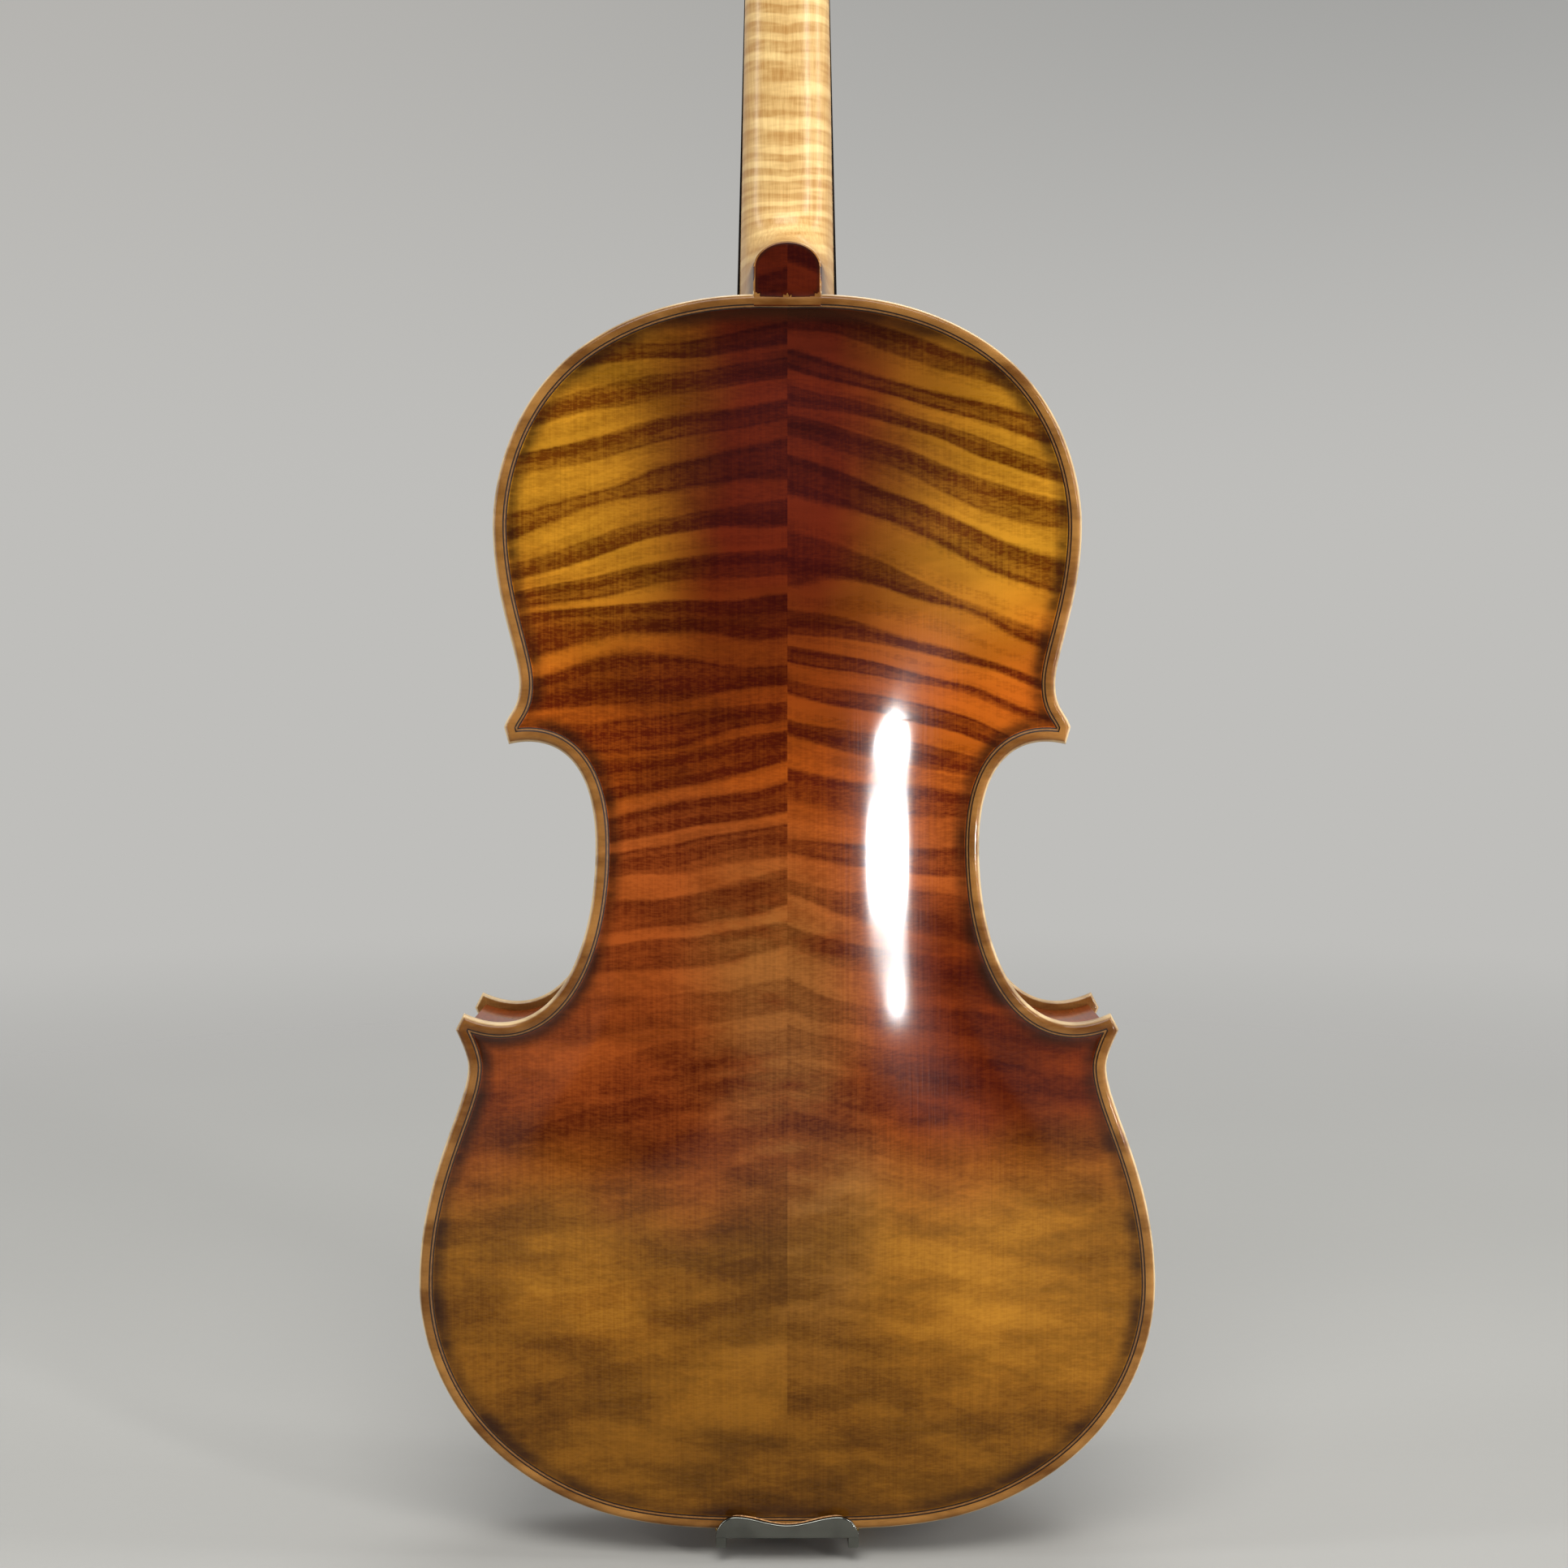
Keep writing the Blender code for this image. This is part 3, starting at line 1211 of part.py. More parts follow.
def make_tail_gut():
    """A loop from the tailpiece over the saddle and round the end button's neck."""
    radius = TAIL_GUT_DIAMETER / 2
    half = gut_half()
    over = EDGE_PLANE + SADDLE_RISE + radius + GAP
    low = BODY_BOTTOM - radius - GAP
    neck = END_BUTTON_NECK / 2 + radius + GAP
    groove = END_BUTTON_REACH - 0.0026
    points = [on_tail(half, 0.0022, 0.007), on_tail(half, 0.0022, -0.0012),
              Vector((half, over, BODY_BOTTOM + SADDLE_LENGTH * 0.6)),
              Vector((half, over - 0.0004, BODY_BOTTOM + SADDLE_LENGTH * 0.12)),
              Vector((half, over - 0.0020, low + 0.0002)),
              Vector((half, RIB_TOP + EDGE_THICKNESS * 0.5, low)),
              Vector((half * 0.97, RIB_TOP - 0.001, low + 0.0001)),
              Vector((neck, neck, groove)), Vector((neck, 0, groove))]
    for i in range(1, 6):
        angle = -math.pi / 2 * i / 6
        points.append(Vector((neck * math.cos(angle), neck * math.sin(angle), groove)))
    whole = points + [Vector((0, -neck, groove))] + [Vector((-p.x, p.y, p.z)) for p in reversed(points)]
    part("tail_gut", tube(whole, radius), GUT, smooth=60)


def make_saddle():
    half = SADDLE_WIDTH / 2
    low, high = RIB_TOP + GAP, EDGE_PLANE + SADDLE_RISE
    front, back = BODY_BOTTOM, BODY_BOTTOM + SADDLE_LENGTH
    sections = []
    for x in (-half, -half + 0.0065, half - 0.0065, half):
        rise = high if abs(x) < half - 0.001 else EDGE_PLANE + 0.0012
        ring = [(x, low, back), (x, low, front), (x, rise - 0.0022, front),
                (x, rise - 0.0008, front + 0.0009), (x, rise, front + 0.0025), (x, rise, back)]
        sections.append(ring)
    part("saddle", loft(sections), EBONY)


def make_end_button():
    r, neck, shank = END_BUTTON_DIAMETER / 2, END_BUTTON_NECK / 2, END_BUTTON_SHANK / 2
    top = END_BUTTON_REACH + END_BUTTON_SHANK_LENGTH
    wall = END_BUTTON_REACH - GAP
    profile = [(0, top), (shank * 0.82, top), (shank * 0.93, END_BUTTON_REACH + 0.0005),
               (shank * 0.95, wall), (neck + 0.0012, wall), (neck, wall - 0.0008),
               (neck, wall - 0.0042), (r - 0.0010, wall - 0.0056), (r, wall - 0.0066),
               (r, 0.0030), (r - 0.0008, 0.0010), (r - 0.0028, 0), (0, 0)]
    part("end_button", turned(profile, 20), EBONY)


def make_strings():
    for name in STRING_NAMES:
        radius = STRING_DIAMETERS[name] / 2
        index = [peg for peg, _ in PEG_ORDER].index(name)
        side = PEG_ORDER[index][1]
        q, p = peg_place(index)
        inner = side * (head_width(p) - CHEEK_THICKNESS - 0.0022)
        x_nut = string_x(name, STRING_SPREAD_AT_NUT)
        x_bridge = string_x(name, STRING_SPREAD_AT_BRIDGE)
        x_tail = string_tail_x(name)
        nut_q = board_top(x_nut, 0) + NUT_RISE + radius + GAP
        lift = peg_radius(0) + TURN_CLEARANCE + radius
        points = [on_neck(inner, q + lift, p), on_neck(x_nut, nut_q - 0.0006, NUT_LENGTH + 0.0004),
                  on_neck(x_nut, nut_q, NUT_LENGTH * 0.4), on_neck(x_nut, nut_q, -0.0005)]
        top = bridge_top(x_bridge) + radius + GAP
        face = BRIDGE_AT - BRIDGE_FOOT_THICKNESS / 2
        points += [Vector((x_bridge, top, face + BRIDGE_TOP_THICKNESS)), Vector((x_bridge, top, face))]
        v = fret_at()
        if name == "A":
            points.append(on_tail(x_tail, tuner_hook_height(), TAILPIECE_LENGTH + 0.0046))
            radii = None
        else:
            over = tail_top(x_tail, v) + 0.0012 + radius + GAP
            points += [on_tail(x_tail, over, v + 0.0006), on_tail(x_tail, over, v - 0.0010),
                       on_tail(x_tail, over - 0.0015, v - 0.0050), on_tail(x_tail, -0.0004, v - 0.0075)]
            ball = 0.0016 / radius
            points += [on_tail(x_tail, -0.0010 - step, v - 0.0075) for step in (0, 0.0004, 0.0026, 0.0030)]
            radii = [1] * (len(points) - 4) + [1, ball * 0.85, ball * 0.85, 0.6]
        part("string_" + name, tube(points, radius, radii), STRING_METAL, smooth=60)


# Fine tuner

def tuner_screw_at():
    return TAILPIECE_LENGTH - TUNER_REACH + 0.0030


def tuner_base():
    """Height of the tailpiece under the tuner's bar."""
    x = string_tail_x("A")
    return tail_top(abs(x) - TUNER_WIDTH / 2, TAILPIECE_LENGTH) + 0.0012 + GAP


def tuner_hook_height():
    return tuner_base() + TUNER_BAR_HEIGHT + 0.0012


def on_tuner(points, width):
    """A solid with a side outline of (n, v) points, centred on the highest string."""
    x = string_tail_x("A")
    return loft([[on_tail(x - width / 2, n, v) for n, v in points],
                 [on_tail(x + width / 2, n, v) for n, v in points]])


def make_fine_tuner():
    end, base = TAILPIECE_LENGTH, tuner_base()
    top, x = base + TUNER_BAR_HEIGHT, string_tail_x("A")
    bar = [(base, end - TUNER_REACH), (top, end - TUNER_REACH), (top, end + 0.0046),
           (-0.0030, end + 0.0046), (-0.0030, end + GAP), (base, end + GAP)]
    body = part("fine_tuner_body", on_tuner(bar, TUNER_WIDTH), CHROME)
    slot = tail_box(x, TUNER_LEVER_WIDTH + 2 * GAP, -0.02, 0.03, end - 0.0016, end + 0.01)
    boolean(body, helper("tuner_slot", slot))
    v = tuner_screw_at()
    screw_radius = TUNER_SCREW_DIAMETER / 2
    hole = rod(on_tail(x, -0.005, v), on_tail(x, 0.02, v), screw_radius + TURN_CLEARANCE)
    boolean(body, helper("tuner_screw_hole", hole))
    reach, pin_radius = TUNER_WIDTH / 2 - 0.0005, TUNER_PIN_DIAMETER / 2
    ends = [on_tail(x + side * reach, TUNER_PIN_HEIGHT, end + 0.0026) for side in (-1, 1)]
    boolean(body, helper("tuner_pin", rod(*ends, pin_radius)), "UNION")
    under = -0.0034
    lever = [(under - 0.0020, v - 0.0020), (under, v - 0.0020), (under, end + 0.0012),
             (top + 0.0026, end + 0.0012), (top + 0.0026, end + 0.0040), (under - 0.0020, end + 0.0040)]
    lever = part("fine_tuner_lever", on_tuner(lever, TUNER_LEVER_WIDTH), CHROME)
    pin_hole = rod(*ends, pin_radius + TURN_CLEARANCE)
    boolean(lever, helper("tuner_pin_hole", pin_hole))
    profile = [(0, top + 0.0062), (TUNER_HEAD_DIAMETER / 2 - 0.0004, top + 0.0062),
               (TUNER_HEAD_DIAMETER / 2, top + 0.0058), (TUNER_HEAD_DIAMETER / 2, top + 0.0036),
               (TUNER_HEAD_DIAMETER / 2 - 0.0004, top + 0.0032), (screw_radius, top + 0.0032),
               (screw_radius, under + 2 * GAP), (0, under + GAP)]
    screw = part("fine_tuner_screw", turned(profile, 14), CHROME)
    start, along, normal = tail_frame()
    turn = normal.to_track_quat("Z", "X").to_matrix().to_4x4()
    screw.matrix_world = Matrix.Translation(on_tail(x, 0, v)) @ turn


# Chin rest and clamp

BARREL_Z = BODY_BOTTOM - BARREL_DIAMETER / 2 - 0.0012
CLAMP_LEG_X = CLAMP_WIDTH / 2 - CLAMP_LEG_WIDTH / 2
CHIN_SEAT = EDGE_PLANE + GAP + CORK_THICKNESS + GAP


def clamp_outline(grow=0.0):
    """The foot plate's outline: two humps, a dip between them, a nearly straight edge."""
    half = CLAMP_WIDTH / 2 + grow
    points = []
    for i in range(25):
        angle = math.pi * i / 24
        x = half * math.cos(angle)
        share = abs(math.cos(angle))
        round_end = math.sqrt(max(0, 1 - max(0, (share - 0.72) / 0.28) ** 2))
        swell = 0.0034 + 0.0028 * math.sin(min(1, share / 0.74) * math.pi / 2) ** 2
        points.append((x, (swell + grow) * round_end - 0.0010 * (1 - round_end)))
    points += [(-half, -0.0010 - grow), (half, -0.0010 - grow)]
    return points


def clamp_leg(x, outer, inner, end):
    """A strap from a plate round the edge of the body, then along Y to its stud."""
    half = CLAMP_LEG_WIDTH / 2
    way = 1 if end > outer else -1
    low, high = BARREL_Z - 0.0013, BARREL_Z + 0.0013
    bend = 0.0012 * way
    top = BODY_BOTTOM + 0.0008
    points = [(outer, top), (outer, low + abs(bend)), (outer + bend, low), (end, low), (end, high),
              (inner + bend, high), (inner, high + abs(bend)), (inner, top)]
    return loft([[(x - half, y, z) for y, z in points], [(x + half, y, z) for y, z in points]])


def make_clamp():
    back = -EDGE_PLANE - 2 * GAP - CORK_THICKNESS * 0.5
    plate = moved(flat_outline([clamp_outline()], CLAMP_PLATE_THICKNESS),
                  y=back - CLAMP_PLATE_THICKNESS / 2, z=BODY_BOTTOM)
    foot = part("clamp_foot", plate, CHROME)
    cork = [(x * 0.97, max(s, GAP)) for x, s in clamp_outline(-0.0004)]
    part("clamp_foot_cork", moved(flat_outline([cork], CORK_THICKNESS * 0.5),
                                  y=-EDGE_PLANE - GAP - CORK_THICKNESS / 4, z=BODY_BOTTOM), CORK)
    shaft = BARREL_LENGTH / 2
    bar_low = CHIN_SEAT + 0.0004
    bracket = box((-CLAMP_WIDTH / 2, bar_low, BARREL_Z - 0.0008),
                  (CLAMP_WIDTH / 2, bar_low + 0.0080, BARREL_Z + 0.0008))
    bracket = part("clamp_bracket", bracket, CHROME)
    for name, side in SIDES:
        x = side * CLAMP_LEG_X
        leg = clamp_leg(x, back - CLAMP_PLATE_THICKNESS + 0.0001, back - 0.0001, -shaft - 0.0030)
        boolean(foot, helper("foot_leg_" + name, leg), "UNION")
        stud = rod((x, -shaft - 0.0040, BARREL_Z), (x, -0.0015, BARREL_Z), STUD_DIAMETER / 2, sides=12)
        boolean(foot, helper("foot_stud_" + name, stud), "UNION")
        leg = rod((x, bar_low + 0.0040, BARREL_Z), (x, shaft + 0.0030, BARREL_Z),
                  CLAMP_LEG_WIDTH / 2, sides=12)
        boolean(bracket, helper("bracket_leg_" + name, leg), "UNION")
        stud = rod((x, shaft + 0.0040, BARREL_Z), (x, 0.0015, BARREL_Z), STUD_DIAMETER / 2, sides=12)
        boolean(bracket, helper("bracket_stud_" + name, stud), "UNION")
        r, bore = BARREL_DIAMETER / 2, STUD_DIAMETER / 2 + TURN_CLEARANCE
        barrel = part("clamp_barrel_" + name, rod((0, 0, -shaft), (0, 0, shaft), r), BRASS)
        place = Matrix.Translation((x, 0, BARREL_Z)) @ Matrix.Rotation(-math.pi / 2, 4, "X")
        barrel.matrix_world = place
        cut = helper("barrel_bore_" + name, rod((0, 0, -BARREL_LENGTH), (0, 0, BARREL_LENGTH), bore,
                                                sides=16))
        cut.matrix_world = place
        boolean(barrel, cut)


def chin_outline():
    """Plan of the chin rest: a treble foot, the bridge over the tailpiece, a long cup."""
    treble = -SADDLE_WIDTH / 2 - CHIN_FOOT_WIDTH
    far = CHIN_CUP_REACH
    deep = CHIN_CUP_LENGTH
    first = bezier((treble, 0), (treble - 0.004, deep * 0.30), (treble + 0.012, deep * 0.50),
                   (-0.004, deep * 0.66), 8)
    second = bezier((-0.004, deep * 0.66), (0.014, deep * 0.80), (far * 0.35, deep), (far * 0.58, deep), 9)
    third = bezier((far * 0.58, deep), (far * 0.95, deep), (far, deep * 0.70), (far * 0.97, deep * 0.50), 8)
    fourth = bezier((far * 0.97, deep * 0.50), (far * 0.93, deep * 0.24), (far * 0.72, 0.0),
                    (far * 0.40, -0.0008), 8)
    line = joined(first, second, third, fourth)
    return line


def chin_top(x, z):
    """Height of the chin rest's upper face: a rim round a hollow cup."""
    cup_x, cup_z = CHIN_CUP_REACH * 0.56, CHIN_CUP_LENGTH * 0.52
    away = math.hypot((x - cup_x) / (CHIN_CUP_REACH * 0.42), (z - cup_z) / (CHIN_CUP_LENGTH * 0.46))
    dish = 0.0065 * max(0, 1 - away ** 2)
    return CHIN_SEAT + CHIN_REST_RISE + 0.006 * z / CHIN_CUP_LENGTH - dish


def make_chin_rest():
    outline = chin_outline()
    centre = np.array((CHIN_CUP_REACH * 0.42, CHIN_CUP_LENGTH * 0.40))
    rings = []
    for low in (True, False):
        ring = []
        for x, z in outline:
            y = CHIN_SEAT if low else chin_top(x, z) - 0.0020
            ring.append((x, y, BODY_BOTTOM + z))
        rings.append(ring)
    for shrink in (0.97, 0.86, 0.66, 0.42, 0.18):
        ring = []
        for x, z in centre + (outline - centre) * shrink:
            ring.append((x, chin_top(x, z), BODY_BOTTOM + z))
        rings.append(ring)
    rest = part("chin_rest", loft(rings), EBONY)
    half = TAILPIECE_END_WIDTH / 2 + 0.0068
    start, along, normal = tail_frame()
    tunnel = []
    for v in (-0.02, TAILPIECE_LENGTH * 0.7):
        wide = half + (v + 0.02) * 0.10
        lift = TAILPIECE_THICKNESS + 0.0022
        shape = ((-1, -0.03), (1, -0.03), (1, lift * 0.55), (0.8, lift * 0.9), (0.4, lift),
                 (-0.4, lift), (-0.8, lift * 0.9), (-1, lift * 0.55))
        tunnel.append([on_tail(a * wide, n, v) for a, n in shape])
    boolean(rest, helper("tailpiece_tunnel", loft(tunnel)))
    foot = 0.0125
    clear = []
    for z, y in ((foot, CHIN_SEAT - 0.01), (foot, CHIN_SEAT + 0.0050),
                 (CHIN_CUP_LENGTH + 0.02, CHIN_SEAT + 0.0118), (CHIN_CUP_LENGTH + 0.02, CHIN_SEAT - 0.01)):
        clear.append((y, BODY_BOTTOM + z))
    under = loft([[(x, y, z) for y, z in clear] for x in (-0.08, 0.14)])
    boolean(rest, helper("over_belly", under))
    side = SADDLE_WIDTH / 2 + GAP
    past = side + CHIN_FOOT_WIDTH
    lip = box((past, CHIN_SEAT - 0.01, BODY_BOTTOM - 0.02), (0.14, CHIN_SEAT + 0.0050, BODY_BOTTOM + foot + GAP))
    boolean(rest, helper("beside_foot", lip))
    for name, way in SIDES:
        low, high = way * (side + 0.001), way * (past - 0.001)
        part("chin_rest_cork_" + name, box(
            (min(low, high), EDGE_PLANE + GAP, BODY_BOTTOM + 0.0015),
            (max(low, high), CHIN_SEAT - GAP, BODY_BOTTOM + foot - 0.001)), CORK)


clear_scene()
mortise_cutter()
saddle_cutter()
make_plates()
make_purfling()
make_ribs()
make_linings()
make_blocks()
BELLY = surface_of("belly_bass_half", "belly_treble_half")
BACK = surface_of("back_bass_half", "back_treble_half")
make_bass_bar()
make_sound_post()
make_neck()
make_fingerboard()
make_nut()
make_pegs()
make_bridge()
make_tailpiece()
make_tail_gut()
make_saddle()
make_end_button()
make_strings()
make_fine_tuner()
make_clamp()
make_chin_rest()
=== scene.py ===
"""A viola on a pale floor, seen from behind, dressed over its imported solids.

Metres, +Z up the body, the back faces -Y, +X is the bass side. The body's plates, edges,
neck, head and fittings are modelled afresh from the same sizes as the solids they cover.
"""
import math

import bmesh
import bpy
import numpy as np
from mathutils import Matrix, Vector


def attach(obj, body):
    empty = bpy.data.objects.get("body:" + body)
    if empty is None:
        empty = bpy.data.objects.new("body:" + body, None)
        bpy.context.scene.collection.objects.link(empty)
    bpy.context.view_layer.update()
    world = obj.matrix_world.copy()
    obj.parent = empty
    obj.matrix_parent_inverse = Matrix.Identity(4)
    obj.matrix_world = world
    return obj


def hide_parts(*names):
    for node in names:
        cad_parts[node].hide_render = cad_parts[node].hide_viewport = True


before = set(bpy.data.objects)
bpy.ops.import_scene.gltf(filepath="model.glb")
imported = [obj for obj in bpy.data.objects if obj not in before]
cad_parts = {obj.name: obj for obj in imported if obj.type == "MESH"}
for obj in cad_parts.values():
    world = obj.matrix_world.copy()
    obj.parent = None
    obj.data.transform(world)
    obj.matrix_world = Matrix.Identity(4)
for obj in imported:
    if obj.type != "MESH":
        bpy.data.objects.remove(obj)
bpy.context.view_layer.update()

# Body sizes
BODY_LENGTH = 0.406
UPPER_BOUT = (0.0952, 0.332)
UPPER_NECKING = (0.0870, 0.2815)
UPPER_CORNER = (0.0921, 0.2672)
WAIST_MIDDLE = (0.0626, 0.229)
LOWER_CORNER = (0.1088, 0.168)
LOWER_NECKING = (0.1048, 0.156)
LOWER_BOUT = (0.1217, 0.082)
CORNER_END_WIDTH = 0.0058
EDGE_OVERHANG = 0.0030
EDGE_THICKNESS = 0.0045
RIB_TOP = 0.019
RIB_THICKNESS = 0.0013
BACK_ARCH, BELLY_ARCH = 0.0165, 0.0175
BACK_THICKNESS, BELLY_THICKNESS = 0.0038, 0.0030
PURFLING_INSET = 0.0041
PURFLING_WIDTH = 0.0013
CHANNEL_INSET = 0.0072
CHANNEL_DEPTH = 0.0008
LAND_WIDTH = 0.0092
SMOOTHING = 0.026
BUTTON_WIDTH, BUTTON_HEIGHT = 0.0220, 0.0165
BODY_BOTTOM = 0.010
BODY_TOP = BODY_BOTTOM + BODY_LENGTH
EDGE_PLANE = RIB_TOP + EDGE_THICKNESS
SIDES = (("bass", 1), ("treble", -1))
INSTRUMENT = "instrument"
HEAD_START = 0.566


# Outline, as half lines of (x, s) with s counted up from the body's bottom edge

def bezier(a, b, c, d, count):
    t = np.linspace(0, 1, count)[:, None]
    a, b, c, d = (np.array(point, float) for point in (a, b, c, d))
    return a * (1 - t) ** 3 + 3 * b * t * (1 - t) ** 2 + 3 * c * t * t * (1 - t) + d * t ** 3


def joined(*curves):
    return np.vstack([curves[0]] + [curve[1:] for curve in curves[1:]])


def slanted(angle):
    return np.array((math.cos(angle), math.sin(angle)))


def upper_stretch():
    """From the top centre round the upper bout to the upper corner's outer tip."""
    (half, wide), (neck, neck_at), tip = UPPER_BOUT, UPPER_NECKING, np.array(UPPER_CORNER)
    rise = BODY_LENGTH - wide
    knee = np.array((half * 0.6366, wide + rise * 0.825))
    slant = slanted(-0.53)
    reach = (knee[1] - BODY_LENGTH) / slant[1] * 1.1407
    top = bezier((0, BODY_LENGTH), (half * 0.105, BODY_LENGTH), knee - slant * reach, knee, 40)
    shoulder = bezier(knee, knee + slant * half * 0.400, (half, wide + rise * 0.0924),
                      (half, wide), 60)
    fall = wide - neck_at
    side = bezier((half, wide), (half, wide - fall * 0.472), (neck, neck_at + fall * 0.188),
                  (neck, neck_at), 40)
    drop = neck_at - tip[1]
    lip = slanted(-1.26) * drop * 0.39
    corner = bezier((neck, neck_at), (neck, neck_at - drop * 0.587), tip - lip, tip, 30)
    return joined(top, shoulder, side, corner)


def lower_stretch():
    """From the lower corner's outer tip round the lower bout to the bottom centre."""
    (half, wide), (neck, neck_at), tip = LOWER_BOUT, LOWER_NECKING, np.array(LOWER_CORNER)
    lift = tip[1] - neck_at
    lip = slanted(1.15) * lift * 0.20
    corner = bezier(tip, tip - lip, (neck, neck_at + lift * 0.3), (neck, neck_at), 30)
    climb = neck_at - wide
    side = bezier((neck, neck_at), (neck, neck_at - climb * 0.182), (half, wide + climb * 0.504),
                  (half, wide), 50)
    knee = np.array((half * 0.6717, wide * 0.182))
    slant = slanted(0.54)
    shoulder = bezier((half, wide), (half, wide * (1 - 0.235)), knee + slant * half * 0.301, knee, 60)
    reach = knee[1] / slant[1] * 0.985
    bottom = bezier(knee, knee - slant * reach, (half * 0.28, 0), (0, 0), 40)
    return joined(corner, side, shoulder, bottom)


def corner_end(tip, slant):
    """The inner tip of a corner: its end face runs from the outer tip along slant."""
    return tip + CORNER_END_WIDTH * np.array((-math.cos(slant), math.sin(slant)))


UPPER, LOWER = upper_stretch(), lower_stretch()


def waist_stretch():
    """From the upper corner's inner tip along the waist to the lower corner's."""
    start, end = corner_end(UPPER[-1], -1.30), corner_end(LOWER[0], 1.09)
    half, at = WAIST_MIDDLE
    top_with_painted_shade, below = start[1] - at, at - end[1]
    flare, spread = start[0] - half, end[0] - half
    upper = bezier(start, start + np.array((-flare * 0.50, flare * 0.123)),
                   (half, at + top_with_painted_shade * 0.896), (half, at), 60)
    lower = bezier((half, at), (half, at - below * 0.724),
                   end - np.array((spread * 0.602, spread * 0.2836)), end, 70)
    return joined(upper, lower)


WAIST = waist_stretch()


def inset(stretch, distance):
    """The stretch moved towards the inside of the body, with its ends run on."""
    along = np.gradient(stretch, axis=0)
    along /= np.linalg.norm(along, axis=1)[:, None]
    inner = stretch + distance * np.column_stack((along[:, 1], -along[:, 0]))
    run = 2 * CORNER_END_WIDTH
    return np.vstack((inner[0] - along[0] * run, inner, inner[-1] + along[-1] * run))


def crossing(first, second):
    """Where two polylines cross: the place along each, counted in segments."""
    a, b = first[:-1, None], first[1:, None]
    c, d = second[None, :-1], second[None, 1:]
    u, v, w = b - a, d - c, c - a
    cross = u[..., 0] * v[..., 1] - u[..., 1] * v[..., 0]
    cross = np.where(np.abs(cross) < 1e-15, 1e-15, cross)
    s = (w[..., 0] * v[..., 1] - w[..., 1] * v[..., 0]) / cross
    t = (w[..., 0] * u[..., 1] - w[..., 1] * u[..., 0]) / cross
    hits = np.argwhere((s >= 0) & (s < 1) & (t >= 0) & (t < 1))
    if not len(hits):
        return None
    i, j = hits[0]
    return i + s[i, j], j + t[i, j]


def lengths(line):
    return np.concatenate(([0], np.cumsum(np.linalg.norm(np.diff(line, axis=0), axis=1))))


def piece_of(line, start, end, count, ease=0.0):
    """Points between two lengths along a line, closer together near the ends if eased."""
    run = lengths(line)
    share = np.linspace(0, 1, count)
    share = share * (1 - ease) + (0.5 - 0.5 * np.cos(math.pi * share)) * ease
    at = start + (end - start) * share
    return np.column_stack((np.interp(at, run, line[:, 0]), np.interp(at, run, line[:, 1])))


def length_at(line, place):
    return np.interp(place, np.arange(len(line)), lengths(line))


def half_ring(distance, counts=(100, 80, 110)):
    """The half outline at an inset, as three stretches of points, top to bottom."""
    upper, waist, lower = (inset(line, distance) for line in (UPPER, WAIST, LOWER))
    upper, lower = upper[1:], lower[:-1]
    upper[0][0] = 0
    lower[-1][0] = 0
    tips = []
    for bout, first in ((upper, True), (lower, False)):
        pair = (bout, waist) if first else (waist, bout)
        places = crossing(*pair)
        at = [length_at(pair[0], places[0]), length_at(pair[1], places[1])]
        face = corner_face(distance, first)
        for k, line in enumerate(pair):
            place = crossing(line, face)
            if place is not None:
                hit = length_at(line, place[0])
                at[k] = min(at[k], hit) if k == 0 else max(at[k], hit)
        tips.append(at)
    return [piece_of(upper, 0, tips[0][0], counts[0], 0.5),
            piece_of(waist, tips[0][1], tips[1][0], counts[1], 0.5),
            piece_of(lower, tips[1][1], lengths(lower)[-1], counts[2], 0.5)]


def corner_face(distance, upper):
    """The end face of a corner, moved in by a distance, run on both ways."""
    face = np.array((UPPER[-1], WAIST[0]) if upper else (WAIST[-1], LOWER[0]))
    along = (face[1] - face[0]) / np.linalg.norm(face[1] - face[0])
    inner = face + distance * np.array((along[1], -along[0]))
    return np.array((inner[0] - along * 0.02, inner[1] + along * 0.02))


# Arching

def channel_line():
    ring = np.vstack(half_ring(CHANNEL_INSET))[::-1]
    return np.maximum.accumulate(ring[:, 1]), ring[:, 0]


CHANNEL = channel_line()


def swell_line():
    """Half width of the arched field: the channel's, drawn in smoothly past the corners."""
    heights, widths = CHANNEL
    at = np.linspace(heights[0], heights[-1], 500)
    width = np.interp(at, heights, widths)
    reach = SMOOTHING * np.minimum(1, np.minimum(at - at[0], at[-1] - at) / 0.05)
    least = np.array([width[abs(at - s) <= r + 1e-9].min() for s, r in zip(at, reach)])
    for _ in range(2):
        least = np.array([least[abs(at - s) <= r * 0.7 + 1e-9].mean() for s, r in zip(at, reach)])
    return at, np.minimum(least, width)


SWELL = swell_line()
SWELL_START, SWELL_END = SWELL[0][0], SWELL[0][-1]


def arch_height(arch, x, s):
    """Height of a plate's outer face over its inner plane, inside the channel."""
    base = EDGE_THICKNESS - CHANNEL_DEPTH
    ends = 1 - abs(2 * s - SWELL_START - SWELL_END) / (SWELL_END - SWELL_START)
    rise = (0.5 - 0.5 * math.cos(math.pi * min(1, max(0, ends) / 0.62))) ** 0.75
    across = min(1, abs(x) / max(1e-6, np.interp(s, *SWELL)))
    swell = (0.5 + 0.5 * math.cos(math.pi * across ** 1.1)) ** 0.95
    return base + (arch - base) * rise * swell


# Node building

def node(tree, kind, inputs=None, **settings):
    """A node whose inputs are given as values or as other nodes' outputs."""
    made = tree.nodes.new("ShaderNode" + kind)
    for key, value in settings.items():
        setattr(made, key, value)
    for key, value in (inputs or {}).items():
        if isinstance(value, bpy.types.NodeSocket):
            tree.links.new(value, made.inputs[key])
        else:
            made.inputs[key].default_value = value
    return made


def calc(tree, operation, *values):
    return node(tree, "Math", dict(enumerate(values)), operation=operation).outputs[0]


